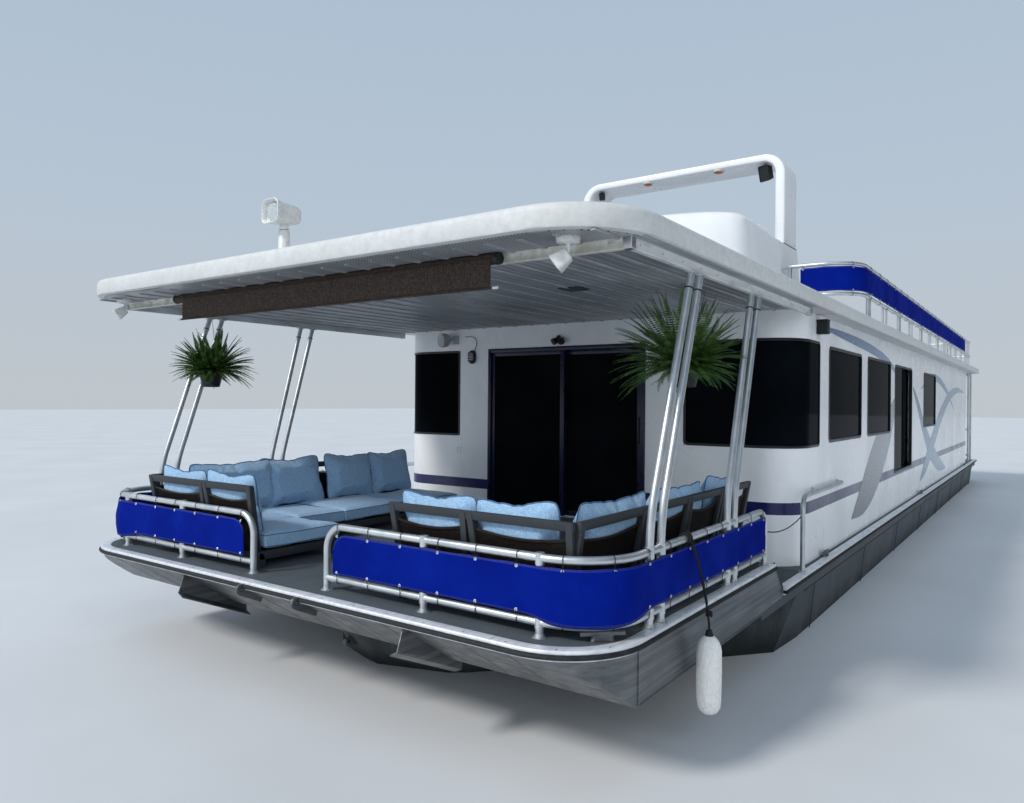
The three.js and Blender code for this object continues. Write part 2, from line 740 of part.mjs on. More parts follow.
function buildSearchlight() {
  const [x, y] = [-630, 620];
  const neck = 340;
  const base = turned([[0, 0], [85, 0], [85, 30], [60, 50], [46, neck], [0, neck]], 12);
  add('searchlight_base', base.translate([x, y, ROOF_TOP + FIT]), 'gelcoat');
  const drum = turned([[0, -150], [105, -150], [112, -110], [112, 60], [80, 140], [0, 150]], 14);
  const head = union([
    drum.rotate([90, 0, 0]).translate([0, 0, 130]),
    turned([[0, 0], [40, 0], [40, 60], [0, 60]], 10),
    turned([[0, SEAT_GAP - RUN_GAP], [20, SEAT_GAP - RUN_GAP], [20, 5], [0, 5]], 10),
  ]);
  add('searchlight_head', head.translate([x, y, ROOF_TOP + FIT + neck + RUN_GAP]), 'gelcoat');
}

function buildShade() {
  const radius = 38;
  const y = TRACK_FRONT - radius - FIT;
  const z = 3088;
  const face = y - radius - FIT;
  add('shade_roller', tube([at(-1720, y, z), at(1800, y, z)], radius, 10), 'charcoal');
  add('shade_fabric', box(-1590, 1780, face - 3.5, face, 2900, z + 4), 'mesh');
}

// Bow seats: an L of seat frames with raked backs, x0 at the inner end, x1 at the boat's side
function sofaFrame(x0, x1, y0, y1) {
  const foot = DECK_TOP + FIT;
  const backAhead = [[y0 + 105, foot + 60], [y0 + 155, foot + 60], [y0 + 50, SEAT_BACK], [y0, SEAT_BACK]];
  const backOutside = backAhead.map(([y, z]) => new THREE.Vector2(x1 - (y - y0), z));
  const legs = [];
  for (const x of [x0 + 40, x1 - 760, x1 - 380]) {
    legs.push(box(x, x + 50, y0 + 110, y0 + 160, foot, SEAT_FRAME + 5));
  }
  legs.push(box(x0 + 40, x0 + 90, y0 + 700, y0 + 750, foot, SEAT_FRAME + 5));
  for (const y of [y0 + 1500, y1 - 90]) {
    legs.push(box(x1 - 760, x1 - 710, y, y + 50, foot, SEAT_FRAME + 5));
    legs.push(box(x1 - 380, x1 - 330, y, y + 50, foot, SEAT_FRAME + 5));
  }
  return union([
    sideProfile(backAhead, x0, x1 - 60),
    frontProfile(backOutside, y0 + 60, y1),
    box(x0, x1 - 90, y0 + 90, y0 + SEAT_DEPTH, SEAT_FRAME, SEAT_TOP),
    box(x1 - SEAT_DEPTH, x1 - 90, y0 + 90, y1, SEAT_FRAME, SEAT_TOP),
    ...legs,
  ]);
}

function sofaCushions(x0, x1, y0, y1) {
  const low = SEAT_TOP + FIT;
  const high = SEAT_TOP + CUSHION;
  const ahead = [[y0 + 124, high - 5], [y0 + 300, high - 5], [y0 + 190, PILLOW_TOP], [y0 + 54, PILLOW_TOP]];
  const outside = ahead.map(([y, z]) => new THREE.Vector2(x1 - (y - y0), z));
  return union([
    box(x0 + 5, x1 - 160, y0 + 160, y0 + SEAT_DEPTH + 5, low, high),
    box(x1 - SEAT_DEPTH - 5, x1 - 160, y0 + 160, y1 - 5, low, high),
    sideProfile(ahead, x0 + 10, x1 - 126),
    frontProfile(outside, y0 + 126, y1 - 10),
  ]);
}

// One arching frond, its blade widest in the middle, drawn outward along +X from the pot
function frond(reach, turn, lift) {
  const rings = [];
  for (let i = 0; i <= FROND_STEPS; i++) {
    const t = i / FROND_STEPS;
    const out = 30 + (reach - 30) * t;
    const high = 168 + lift * reach * Math.sin(2.2 * t) - 0.3 * reach * t * t;
    const half = 4 + 38 * Math.sin(Math.PI * t ** 0.8);
    rings.push([at(out, -half, high), at(out, 0, high - 5), at(out, half, high), at(out, 0, high + 5)]);
  }
  return loft(rings).rotate([0, 0, turn]);
}

// A hanging pot with its fronds, shorter toward the roof's edge
function fernPot(x, y, z, spread) {
  const pot = turned([[0, 0], [85, 0], [120, 150], [135, 155], [135, 175], [0, 175]], 12);
  const hook = ROOF_UNDER - FIT - z;
  const wires = [0, 1, 2].map((i) => {
    const turn = (i * 2 * Math.PI) / 3;
    return tube([at(115 * Math.cos(turn), 115 * Math.sin(turn), 160), at(0, 0, hook - 60)], 4, 5);
  });
  const eye = tube([at(0, 0, hook - 90), at(0, 0, hook)], 7, 6);
  const fronds = [];
  for (let i = 0; i < FROND_COUNT; i++) {
    const turn = ((i + 0.5) * 360) / FROND_COUNT;
    const outward = Math.max(0, Math.sign(x) * Math.cos((turn * Math.PI) / 180));
    const reach = spread * (1 - 0.3 * outward) * (i % 2 ? 0.8 : 1);
    fronds.push(frond(reach, turn, i % 2 ? 1.15 : 0.4));
  }
  return union([pot, ...wires, eye, ...fronds]).translate([x, y, z]);
}

function buildFender() {
  const end = FENDER_LENGTH;
  const body = turned([
    [0, 0], [40, 6], [74, 40], [80, 90], [80, 400], [70, 450], [30, 490], [22, end], [0, end],
  ], 12);
  const y = 1250;
  const x = HALF_BEAM + 81;
  add('fender', body.translate([x, y, FENDER_LOW]), 'fender');
  add('fender_line', tube(fenderRoute(x, y, FENDER_LOW + FENDER_LENGTH + 2 * FIT), FENDER_ROPE), 'rope');
}

// The fender's line, from its eye up to the rail and over the top of it
function fenderRoute(x, y, start) {
  const reach = CANVAS_OUT + CANVAS_THICK + FENDER_ROPE + FIT;
  const points = [];
  for (let i = 0; i < LINE_STEPS; i++) {
    const t = i / LINE_STEPS;
    points.push(at(x + (RAIL_SIDE + reach - x) * t ** 1.5, y, start + (RAIL_TOP - start) * t));
  }
  for (let i = 0; i <= 4; i++) {
    const turn = (Math.PI / 2) * (i / 4);
    const high = PIPE + FENDER_ROPE + FIT;
    points.push(at(RAIL_SIDE + reach * Math.cos(turn), y, RAIL_TOP + high * Math.sin(turn)));
  }
  return points;
}

function gateCord() {
  const start = RAIL_END + PIPE - 0.6;
  const end = HANDRAIL_FRONT - THIN_PIPE - FIT;
  const points = [];
  for (let i = 0; i <= CORD_STEPS; i++) {
    const t = i / CORD_STEPS;
    const sag = CORD_SAG * 4 * t * (1 - t);
    points.push(at(RAIL_SIDE, start + t * (end - start), 1150 - sag));
  }
  return tube(points, 5, 6);
}

// Stern: posts that carry the roof, a low rail with its canvas, and the stair
function sternRail() {
  const foot = LEDGE_TOP + FIT;
  const side = 2600;
  const rear = STERN_RAIL;
  const parts = [-side, side].flatMap((x) => [21700, rear].map((y) => tube([
    at(x, y, foot), at(x, y, ROOF_UNDER - FIT),
  ], PIPE)));
  const rail = (z, radius) => tube(bend([
    at(-side, 21700, z), at(-side, rear, z), at(-700, rear, z),
  ], [60]), radius);
  const gatePosts = [-700, 700].map((x) => tube([at(x, rear, foot), at(x, rear, 1500)], PIPE));
  const half = union([rail(1500, PIPE), rail(760, THIN_PIPE)]);
  const sternBeam = box(-side, side, rear - 15, rear + 15, ROOF_UNDER - 60, ROOF_UNDER - FIT);
  return union([...parts, ...gatePosts, half, mirrored(half), sternBeam]);
}

function sternCanvas() {
  const face = STERN_RAIL + PIPE_FACE;
  return box(-2560, -740, face, face + CANVAS_THICK, 756, 1496);
}

function buildStair() {
  const { x0, x1, y0, y1 } = STAIR;
  const rise = ROOF_TOP - LEDGE_TOP;
  const count = 10;
  const stringer = [
    [y1, LEDGE_TOP + FIT], [y1 - 160, LEDGE_TOP + FIT],
    [y0, ROOF_UNDER - 30], [y0 + 160, ROOF_UNDER - 30],
  ];
  const treads = [];
  for (let i = 1; i < count; i++) {
    const z = LEDGE_TOP + (rise * i) / count;
    const y = y1 - 80 - ((y1 - y0) * (z - LEDGE_TOP)) / rise;
    treads.push(box(x0 + 5, x1 - 5, y - 110, y + 110, z - 18, z + 18));
  }
  return union([
    sideProfile(stringer.slice().reverse(), x0, x0 + 30),
    sideProfile(stringer.slice().reverse(), x1 - 30, x1),
    ...treads.slice(0, 8),
  ]);
}

// Drives: steering leg on a kingpin between two lugs, and its propeller
function driveLeg() {
  const leg = sideProfile([
    [22080, -6], [22160, -6], [22330, -300], [22420, -360], [22420, -520], [22300, -700], [22200, -900],
    [22120, -880], [22130, -400], [22060, -50],
  ].reverse(), -32, 32);
  const column = box(-55, 55, DRIVE_Y - 55, DRIVE_Y + 55, 66, 294);
  const plate = box(-130, 130, 22080, 22660, -400, -386);
  const torpedo = tube([at(0, 22120, PROP_Z), at(0, 22190, PROP_Z), at(0, 22470, PROP_Z)], 58, 10);
  const kingpin = tube([at(0, DRIVE_Y, -20), at(0, DRIVE_Y, 360)], KINGPIN, 8);
  return union([leg, column, plate, torpedo, kingpin]).translate([DRIVE_X, 0, 0]);
}

function propeller() {
  const hub = turned([[0, -70], [52, -70], [44, 60], [28, 85], [0, 85]], 12);
  const blades = [0, 1, 2, 3].map((i) => {
    const outline = [
      new THREE.Vector2(-38, 30), new THREE.Vector2(38, 30), new THREE.Vector2(78, 110),
      new THREE.Vector2(60, 165), new THREE.Vector2(10, PROP_RADIUS), new THREE.Vector2(-50, 160),
      new THREE.Vector2(-68, 110),
    ];
    const geometry = new THREE.ExtrudeGeometry(new THREE.Shape(outline), { depth: 9, bevelEnabled: false });
    geometry.translate(0, 0, -4.5);
    geometry.rotateY(0.6);
    geometry.rotateZ((i * Math.PI) / 2);
    return solid(geometry);
  });
  const shaft = turned([[0, -76 + SEAT_GAP], [16, -76 + SEAT_GAP], [16, -60], [0, -60]], 10);
  return union([hub, shaft, ...blades]).rotate([-90, 0, 0]).translate([DRIVE_X, PROP_Y, PROP_Z]);
}

add('hull', buildHull(), 'aluminium');
add('bow_deck', buildBowDeck(), 'deck');
add('bow_rub_rail', bowRubRail(), 'strip');
addPair('rub_rail', sideRubRail(), 'strip');
add('bow_step_port', bowStep(BOW_STEPS[1], -1), 'aluminium');
add('bow_step_starboard', bowStep(BOW_STEPS[0], 1), 'aluminium');
buildCabin();
buildGlass();
buildDoors();
add('roof', buildRoof(), 'roof');
add('screen_track', screenTrack(), 'stainless');
add('bow_rail_port', bowRail(GATE_PORT), 'stainless');
add('bow_rail_starboard', mirrored(bowRail(GATE_STARBOARD)), 'stainless');
add('bow_canvas_port', bowCanvas(GATE_PORT), 'canvas');
add('bow_canvas_starboard', mirrored(bowCanvas(GATE_STARBOARD)), 'canvas');
addPair('handrail', handrail(), 'stainless');
addPair('upper_rail', upperRail(), 'stainless');
addPair('upper_canvas', upperCanvas(), 'canvas');
add('cowl', buildCowl(), 'gelcoat');
add('arch', buildArch(), 'gelcoat');
add('helm_console', buildConsole(), 'gelcoat');
add('helm_wheel', buildWheel(), 'charcoal');
add('helm_bench', buildBench(), 'gelcoat');
buildSearchlight();
buildShade();
add('sofa_frame_port', sofaFrame(990, 2460, 225, 3190), 'charcoal');
add('sofa_frame_starboard', mirrored(sofaFrame(490, 2000, 200, 3450)), 'charcoal');
add('sofa_cushions_port', sofaCushions(990, 2460, 225, 3190), 'cushion');
add('sofa_cushions_starboard', mirrored(sofaCushions(490, 2000, 200, 3450)), 'cushion');
add('fern_port', fernPot(2250, 2200, 2330, 460), 'fern');
add('fern_starboard', fernPot(-2420, 1110, 2330, 330), 'fern');
buildFender();
add('gate_cord', gateCord(), 'rope');
add('stern_rail', sternRail(), 'stainless');
add('stern_canvas', sternCanvas(), 'canvas');
add('aft_stair', buildStair(), 'aluminium');
addPair('drive', driveLeg(), 'bronze');
addPair('propeller', propeller(), 'bronze');

boat.position.set(0, -LENGTH / 2, 0);
boat.updateMatrixWorld(true);

export default boat;
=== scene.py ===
# Houseboat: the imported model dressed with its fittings, cloth, cushions and finishes.
# Metres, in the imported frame: X to port, Y aft, Z up, origin amidships on the waterline.
# Most pieces are drawn with y = 0 at the front edge of the bow deck and moved by SHIFT.
import json
import math

import bmesh
import bpy
from mathutils import Matrix, Vector, noise
from mathutils.geometry import tessellate_polygon

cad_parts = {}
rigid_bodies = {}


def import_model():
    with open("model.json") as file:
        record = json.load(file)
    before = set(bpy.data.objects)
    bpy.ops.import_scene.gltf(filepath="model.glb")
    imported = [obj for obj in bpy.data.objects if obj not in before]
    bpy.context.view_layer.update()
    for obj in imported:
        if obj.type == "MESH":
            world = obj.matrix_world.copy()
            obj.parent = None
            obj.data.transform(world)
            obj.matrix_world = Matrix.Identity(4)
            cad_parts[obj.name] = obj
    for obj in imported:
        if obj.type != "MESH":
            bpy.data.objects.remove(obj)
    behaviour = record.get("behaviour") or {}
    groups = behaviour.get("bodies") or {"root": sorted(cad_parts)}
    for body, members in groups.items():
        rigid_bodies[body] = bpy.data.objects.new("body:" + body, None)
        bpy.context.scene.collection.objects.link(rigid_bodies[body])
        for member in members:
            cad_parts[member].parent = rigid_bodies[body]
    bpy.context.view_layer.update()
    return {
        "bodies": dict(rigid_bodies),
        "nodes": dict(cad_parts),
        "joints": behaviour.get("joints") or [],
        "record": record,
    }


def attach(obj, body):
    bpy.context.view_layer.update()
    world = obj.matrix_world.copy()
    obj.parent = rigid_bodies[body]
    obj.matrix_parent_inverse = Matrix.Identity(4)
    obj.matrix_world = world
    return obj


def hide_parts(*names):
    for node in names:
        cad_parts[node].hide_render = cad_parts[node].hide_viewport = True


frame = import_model()

# Overall sizes, the same as in the CAD source
SHIFT = -11.43
LENGTH = 22.86
HULL_SIDE = 2.7
HALF_BEAM = 2.745
DECK = 0.87
LEDGE = 0.61
PORCH_END = 3.02
SKIRT_END = 3.3
SKIRT_TOP = 0.812
SKIRT_LOW = 0.488
SKIRT_FOOT = 0.47
LUGS = (-0.225, 0.395)
BOW_RADIUS = 0.5
CABIN_SIDE = 2.61
CABIN_FRONT = 4.106
CABIN_REAR = 20.9
CABIN_RADIUS = 0.4
WALL = 0.06
ROOF_UNDER = 3.13
ROOF_TOP = 3.275
ROOF_SIDE = 2.805
ROOF_FRONT = -0.058
ROOF_REAR = 22.6
ROOF_RADIUS = 0.56
TRACK_FRONT = 0.37
TRACK_HIGH = 0.07
RAIL_TOP = 1.325
RAIL_LOW = 0.96
POLE_KNEE = 1.5
RAIL_FRONT = 0.178
RAIL_SIDE = 2.66
RAIL_END = 2.9
HANDRAIL_FRONT = 4.08
HANDRAIL_END = 5.7
HANDRAIL_TOP = 1.33
PIPE = 0.025
THIN_PIPE = 0.024
POLE = 0.025
GATE_PORT = 0.449
GATE_STARBOARD = 0.392
UPPER_SIDE = 2.58
UPPER_FRONT = 6.9
UPPER_REAR = 22.35
UPPER_TOP = 4.02
UPPER_MID = 3.63
COWL_SIDE = 1.68
COWL_REAR = 7.76
COWL_TOP = 4.4
PATIO = (-1.104, 0.964)
STRIPE = (DECK + 0.243, DECK + 0.363)
SIDES = (("port", 1), ("starboard", -1))


# Helpers for node materials
def linear(code):
    channels = [int(code[i:i + 2], 16) / 255 for i in (0, 2, 4)]
    return tuple(c / 12.92 if c <= 0.04045 else ((c + 0.055) / 1.055) ** 2.4 for c in channels) + (1.0,)


def set_inputs(tree, node, values):
    for key, value in values.items():
        if isinstance(value, bpy.types.NodeSocket):
            tree.links.new(value, node.inputs[key])
        else:
            colour = isinstance(value, str) and node.inputs[key].type == "RGBA"
            node.inputs[key].default_value = linear(value) if colour else value


def add_node(tree, kind, values=None, **settings):
    made = tree.nodes.new(kind)
    for key, value in settings.items():
        setattr(made, key, value)
    set_inputs(tree, made, values or {})
    return made


def new_finish(name, code, roughness, metallic=0.0):
    made = bpy.data.materials.new(name)
    made.use_nodes = True
    tree = made.node_tree
    shader = tree.nodes["Principled BSDF"]
    set_inputs(tree, shader, {"Base Color": code, "Roughness": roughness, "Metallic": metallic})
    made.diffuse_color = linear(code)
    return made, tree, shader, add_node(tree, "ShaderNodeTexCoord")


# Noise of a given grain in millimetres, stretched by per-axis factors
def speckle(tree, place, grain, detail=3.0, stretch=(1, 1, 1), roughness=0.55):
    scale = 1000.0 / grain
    spread = add_node(tree, "ShaderNodeMapping", {
        "Vector": place.outputs["Object"], "Scale": [scale * factor for factor in stretch],
    })
    return add_node(tree, "ShaderNodeTexNoise", {
        "Vector": spread.outputs["Vector"], "Scale": 1.0, "Detail": detail, "Roughness": roughness,
    }).outputs["Fac"]


# Stops are pairs of a position and a colour code or a grey value
def ramp(tree, value, *stops):
    made = add_node(tree, "ShaderNodeValToRGB", {"Fac": value})
    keys = made.color_ramp.elements
    while len(keys) < len(stops):
        keys.new(0.5)
    for key, (position, colour) in zip(keys, stops):
        key.position = position
        key.color = linear(colour) if isinstance(colour, str) else (colour, colour, colour, 1.0)
    return made.outputs["Color"]


def bump(tree, shader, height, depth):
    made = add_node(tree, "ShaderNodeBump", {"Height": height, "Distance": depth, "Strength": 1.0})
    tree.links.new(made.outputs["Normal"], shader.inputs["Normal"])


def maths(tree, operation, a, b=0.0, c=0.0):
    values = {0: a, 1: b}
    if operation == "MULTIPLY_ADD":
        values[2] = c
    return add_node(tree, "ShaderNodeMath", values, operation=operation).outputs[0]


def blend_colours(tree, factor, first, second, way="MIX"):
    return add_node(tree, "ShaderNodeMix", {"Factor": factor, 6: first, 7: second},
                    data_type="RGBA", blend_type=way).outputs[2]


def heights(tree, place, axis="Z"):
    return add_node(tree, "ShaderNodeSeparateXYZ", {"Vector": place.outputs["Object"]}).outputs[axis]


# A finish whose colour, roughness and bump all follow one grain
def plain_finish(name, code, roughness, metallic, grain, tones, dullness, depth=0.0, extra=None):
    made, tree, shader, place = new_finish(name, code, roughness, metallic)
    value = speckle(tree, place, *grain)
    if tones:
        set_inputs(tree, shader, {"Base Color": ramp(tree, value, *tones)})
    if dullness:
        set_inputs(tree, shader, {"Roughness": ramp(tree, value, *dullness)})
    if depth:
        bump(tree, shader, value, depth)
    set_inputs(tree, shader, extra or {})
    return made


# Mill-finish aluminium plate, rolled along the boat: fine streaks and dull weather patches
def make_hull_plate():
    made, tree, shader, place = new_finish("weathered_aluminium_plate", "8E9396", 0.42, 0.8)
    streaks = speckle(tree, place, 90, 6, (1, 0.06, 2.5))
    patches = speckle(tree, place, 520, 4)
    tone = ramp(tree, streaks, (0.28, "565A5B"), (0.5, "75787A"), (0.75, "97999A"))
    dull = ramp(tree, patches, (0.42, 0.0), (0.68, 0.6))
    set_inputs(tree, shader, {"Base Color": blend_colours(tree, dull, tone, "74787A"),
                              "Roughness": ramp(tree, patches, (0.3, 0.34), (0.7, 0.58))})
    bump(tree, shader, streaks, 0.0006)
    return made


# Lower hull plate: its tones are darkened as painted shade and a painted reflection of dark dock and water,
# and it is darker still in a band just over the water
def make_plate_with_painted_shade():
    made, tree, shader, place = new_finish("aluminium_plate_with_painted_shade", "5E6466", 0.45, 0.6)
    streaks = speckle(tree, place, 110, 6, (1, 0.25, 0.12))
    edge = maths(tree, "MULTIPLY_ADD", streaks, 0.16, heights(tree, place))
    low_dark_band = ramp(tree, edge, (0.1, 1.0), (0.3, 0.0))
    # Dark plate tones: painted shade and painted reflection, not the metal's own colour
    tone = ramp(tree, streaks, (0.3, "3A3F42"), (0.7, "5C6163"))
    set_inputs(tree, shader, {"Base Color": blend_colours(tree, low_dark_band, tone, "2C312F"),
                              "Roughness": ramp(tree, streaks, (0.3, 0.36), (0.7, 0.6))})
    bump(tree, shader, speckle(tree, place, 260, 2), 0.002)
    return made


# Non-skid deck paint with grit, paler where it is walked on
def make_deck_paint():
    made, tree, shader, place = new_finish("non_skid_deck_paint", "5C646B", 0.85)
    grit = speckle(tree, place, 5, 2)
    wear = speckle(tree, place, 420, 4)
    tone = ramp(tree, grit, (0.35, "3B4248"), (0.65, "566067"))
    shade = ramp(tree, wear, (0.35, 0.0), (0.75, 0.5))
    set_inputs(tree, shader, {"Base Color": blend_colours(tree, shade, tone, "60676C"),
                              "Roughness": ramp(tree, wear, (0.3, 0.92), (0.7, 0.7))})
    bump(tree, shader, grit, 0.0012)
    return made


# Glossy white gelcoat with a slow wave in the panels; the stripe is dark vinyl film, painted paler aft as a
# painted reflection of the sky
def make_gelcoat(name, striped):
    made, tree, shader, place = new_finish(name, "EDEEEF", 0.22)
    dirt = speckle(tree, place, 700, 5, (1, 1, 0.5))
    tone = ramp(tree, dirt, (0.3, "E2E4E6"), (0.6, "F2F3F4"))
    if striped:
        over = maths(tree, "GREATER_THAN", heights(tree, place), STRIPE[0])
        under = maths(tree, "LESS_THAN", heights(tree, place), STRIPE[1])
        # The stripe's colour pales along the boat: painted reflection of the sky on the glossy film
        ahead = maths(tree, "MULTIPLY_ADD", heights(tree, place, "Y"), 0.5, 3.2)
        film = ramp(tree, ahead, (0.0, "060E50"), (0.25, "12184E"), (1.0, "3C4064"))
        tone = blend_colours(tree, maths(tree, "MULTIPLY", over, under), tone, film)
    set_inputs(tree, shader, {"Base Color": tone, "Coat Weight": 0.15, "Coat Roughness": 0.08,
                              "Roughness": ramp(tree, dirt, (0.3, 0.34), (0.7, 0.2))})
    bump(tree, shader, speckle(tree, place, 900, 1), 0.004)
    return made


# Roof edge gelcoat, chalky and mottled by weather
def make_roof_gelcoat():
    made, tree, shader, place = new_finish("weathered_roof_gelcoat", "E4E4E1", 0.55)
    mottle = speckle(tree, place, 60, 7, roughness=0.7)
    stain = speckle(tree, place, 600, 4, (1, 1, 0.3))
    tone = ramp(tree, mottle, (0.3, "C6C8C7"), (0.48, "D0D2D1"), (0.7, "DCDDDC"))
    dirty = ramp(tree, stain, (0.45, 0.0), (0.8, 0.35))
    set_inputs(tree, shader, {"Base Color": blend_colours(tree, dirty, tone, "C2C0B8"),
                              "Roughness": ramp(tree, mottle, (0.3, 0.68), (0.7, 0.42))})
    bump(tree, shader, mottle, 0.0008)
    return made


# Dark tinted window glass with a faint dust film; a low IOR keeps it dark at a flat angle
def make_glass():
    made, tree, shader, place = new_finish("dark_tinted_glass", "040608", 0.04)
    film = speckle(tree, place, 800, 3)
    set_inputs(tree, shader, {"Base Color": ramp(tree, film, (0.35, "080B0F"), (0.75, "10161A")),
                              "Roughness": ramp(tree, film, (0.3, 0.02), (0.7, 0.09)),
                              "IOR": 1.03, "Specular IOR Level": 0.5})
    bump(tree, shader, speckle(tree, place, 1400, 1), 0.002)
    return made


# Vinyl film decals on the sides: metallic tones that pale along the boat towards sky grey, a painted
# reflection of the sky
def make_film(name, first, second, start, end):
    made, tree, shader, place = new_finish(name, first, 0.25, 0.25)
    run = maths(tree, "SUBTRACT", heights(tree, place, "Y"), start + SHIFT)
    # The second colour, reached aft, is the film's tone with a painted reflection of the sky
    fade = ramp(tree, maths(tree, "DIVIDE", run, end - start), (0.0, first), (1.0, second))
    dots = ramp(tree, speckle(tree, place, 16, 2), (0.4, 0.0), (0.7, 0.18))
    set_inputs(tree, shader, {"Base Color": blend_colours(tree, dots, fade, "FFFFFF", "OVERLAY"),
                              "Roughness": ramp(tree, dots, (0.0, 0.22), (0.2, 0.3))})
    return made


# Parallel bands drawn in a piece's own UV
def bands(tree, place, scale, distortion, detail, direction):
    return add_node(tree, "ShaderNodeTexWave", {
        "Vector": place.outputs["UV"], "Scale": scale, "Distortion": distortion, "Detail": detail,
    }, wave_type="BANDS", bands_direction=direction).outputs["Fac"]


# Woven acrylic canvas: royal blue, a plain weave drawn coarse so that it shows, sun-bleached folds
def make_canvas():
    made, tree, shader, place = new_finish("royal_blue_acrylic_canvas", "04218F", 0.85)
    weave = maths(tree, "MULTIPLY", *[bands(tree, place, 26.0, 0.3, 1.0, axis) for axis in "XY"])
    fade = speckle(tree, place, 420, 4)
    tone = ramp(tree, fade, (0.3, "02187C"), (0.55, "031F8C"), (0.8, "08289A"))
    threads = ramp(tree, weave, (0.0, 0.28), (1.0, 0.0))
    set_inputs(tree, shader, {"Base Color": blend_colours(tree, threads, tone, "020E4C"),
                              "Roughness": ramp(tree, fade, (0.3, 0.88), (0.7, 0.72)),
                              "Specular IOR Level": 0.04})
    wrinkles = speckle(tree, place, 110, 3, (1, 1, 0.35))
    bump(tree, shader, maths(tree, "MULTIPLY_ADD", weave, 0.12, wrinkles), 0.004)
    return made


# Light blue outdoor fabric of the cushions: slub threads about 3 mm apart and faded crowns
def make_cushion_cloth():
    made, tree, shader, place = new_finish("light_blue_slub_fabric", "8FB4D6", 0.9)
    threads = speckle(tree, place, 9, 3, (1, 1, 0.25))
    weave = maths(tree, "MULTIPLY", threads, speckle(tree, place, 9, 3, (0.25, 1, 1)))
    tone = ramp(tree, weave, (0.12, "7FA4C6"), (0.26, "93B7D8"), (0.4, "A6C7E3"))
    pale = ramp(tree, speckle(tree, place, 300, 3), (0.4, 0.0), (0.8, 0.3))
    set_inputs(tree, shader, {"Base Color": blend_colours(tree, pale, tone, "B3CFE6"),
                              "Roughness": ramp(tree, weave, (0.1, 0.95), (0.4, 0.82)),
                              "Sheen Weight": 0.25, "Sheen Roughness": 0.45})
    wrinkles = speckle(tree, place, 70, 3)
    bump(tree, shader, maths(tree, "MULTIPLY_ADD", weave, 0.3, wrinkles), 0.005)
    return made


# Brown vinyl-coated shade mesh: crossing threads drawn at 8 mm, with a soft dark weave
def make_shade_mesh():
    made, tree, shader, place = new_finish("brown_shade_mesh", "4B3B31", 0.88)
    threads = speckle(tree, place, 8, 3, (0.3, 1, 1.6))
    weave = maths(tree, "MULTIPLY", threads, speckle(tree, place, 8, 3, (1.6, 1, 0.3)))
    set_inputs(tree, shader, {
        "Base Color": ramp(tree, weave, (0.12, "2A211B"), (0.26, "3C312A"), (0.42, "54473D")),
        "Roughness": ramp(tree, weave, (0.1, 0.95), (0.4, 0.8)),
    })
    bump(tree, shader, weave, 0.0015)
    return made


# Woven resin panels behind the seats: flat strands about 9 mm wide
def make_woven_resin():
    made, tree, shader, place = new_finish("woven_brown_resin", "2C221E", 0.6)
    strands = add_node(tree, "ShaderNodeTexBrick", {
        "Vector": place.outputs["UV"], "Scale": 1.0, "Mortar Size": 0.0014, "Brick Width": 0.05,
        "Row Height": 0.009, "Color1": "352A25", "Color2": "241B17", "Mortar": "0E0B09",
    }, offset=0.5)
    set_inputs(tree, shader, {"Base Color": strands.outputs["Color"],
                              "Roughness": ramp(tree, strands.outputs["Fac"], (0.0, 0.5), (1.0, 0.85))})
    bump(tree, shader, maths(tree, "SUBTRACT", 1.0, strands.outputs["Fac"]), 0.002)
    return made


# Braided rope: diagonal strands from the tube's own UV
def make_rope():
    made, tree, shader, place = new_finish("black_braided_rope", "1E2023", 0.85)
    braid = bands(tree, place, 55.0, 1.5, 2.0, "DIAGONAL")
    set_inputs(tree, shader, {"Base Color": ramp(tree, braid, (0.15, "060708"), (0.7, "1E2023")),
                              "Roughness": ramp(tree, braid, (0.0, 0.92), (1.0, 0.78))})
    bump(tree, shader, braid, 0.002)
    return made


# Fleece cover of the fender: soft white knit, greyed low down
def make_fender_cover():
    made, tree, shader, place = new_finish("white_fender_fleece", "E3E1DA", 0.95)
    knit = speckle(tree, place, 12, 3, (1, 1, 0.4))
    height = maths(tree, "MULTIPLY_ADD", knit, 0.3, heights(tree, place))
    low = ramp(tree, height, (0.2, 0.55), (0.5, 0.0))
    tone = ramp(tree, knit, (0.3, "E2E1DC"), (0.7, "F7F6F3"))
    set_inputs(tree, shader, {"Base Color": blend_colours(tree, low, tone, "C4C2B8"),
                              "Roughness": ramp(tree, knit, (0.3, 0.98), (0.7, 0.88)),
                              "Sheen Weight": 0.3})
    bump(tree, shader, knit, 0.004)
    return made


HULL_PLATE = make_hull_plate()
# The hull plating takes a darker copy of the plate: painted shade and painted reflection
PLATE_WITH_PAINTED_SHADE = make_plate_with_painted_shade()
# Brushed stainless tube: soft and bright, with dull water marks
STAINLESS = plain_finish("brushed_stainless_tube", "D4D7DA", 0.36, 0.85, (160, 3),
                         [(0.3, "C6CACD"), (0.7, "DFE2E4")], [(0.35, 0.36), (0.7, 0.42)])
# Cast aluminium of the drives under dark grey paint
DRIVE_PAINT = plain_finish("dark_drive_enamel", "34383C", 0.38, 0.2, (14, 4),
                           [(0.3, "2B2F33"), (0.75, "454A4F")], [(0.3, 0.3), (0.7, 0.52)], 0.0004)
SCREW_STEEL = plain_finish("zinc_screw_heads", "B9BCBE", 0.32, 1.0, (4, 2), None,
                           [(0.3, 0.24), (0.7, 0.44)])
DECK_PAINT = make_deck_paint()
# Rigid vinyl rub strip and bright extruded edge strip, scuffed along their length
STRIP_VINYL = plain_finish("rub_strip_vinyl", "DCDEDE", 0.4, 0.0, (60, 5, (1, 0.2, 1)),
                           [(0.3, "B7BABB"), (0.5, "DADCDC"), (0.8, "ECEDED")],
                           [(0.3, 0.55), (0.7, 0.33)], 0.0005)
EDGE_METAL = plain_finish("bright_edge_extrusion", "F0F3F5", 0.35, 0.35, (40, 5, (1, 0.3, 1)),
                          [(0.3, "CFD4D8"), (0.5, "E9ECEF"), (0.8, "F7F9FA")], [(0.3, 0.5), (0.7, 0.32)])
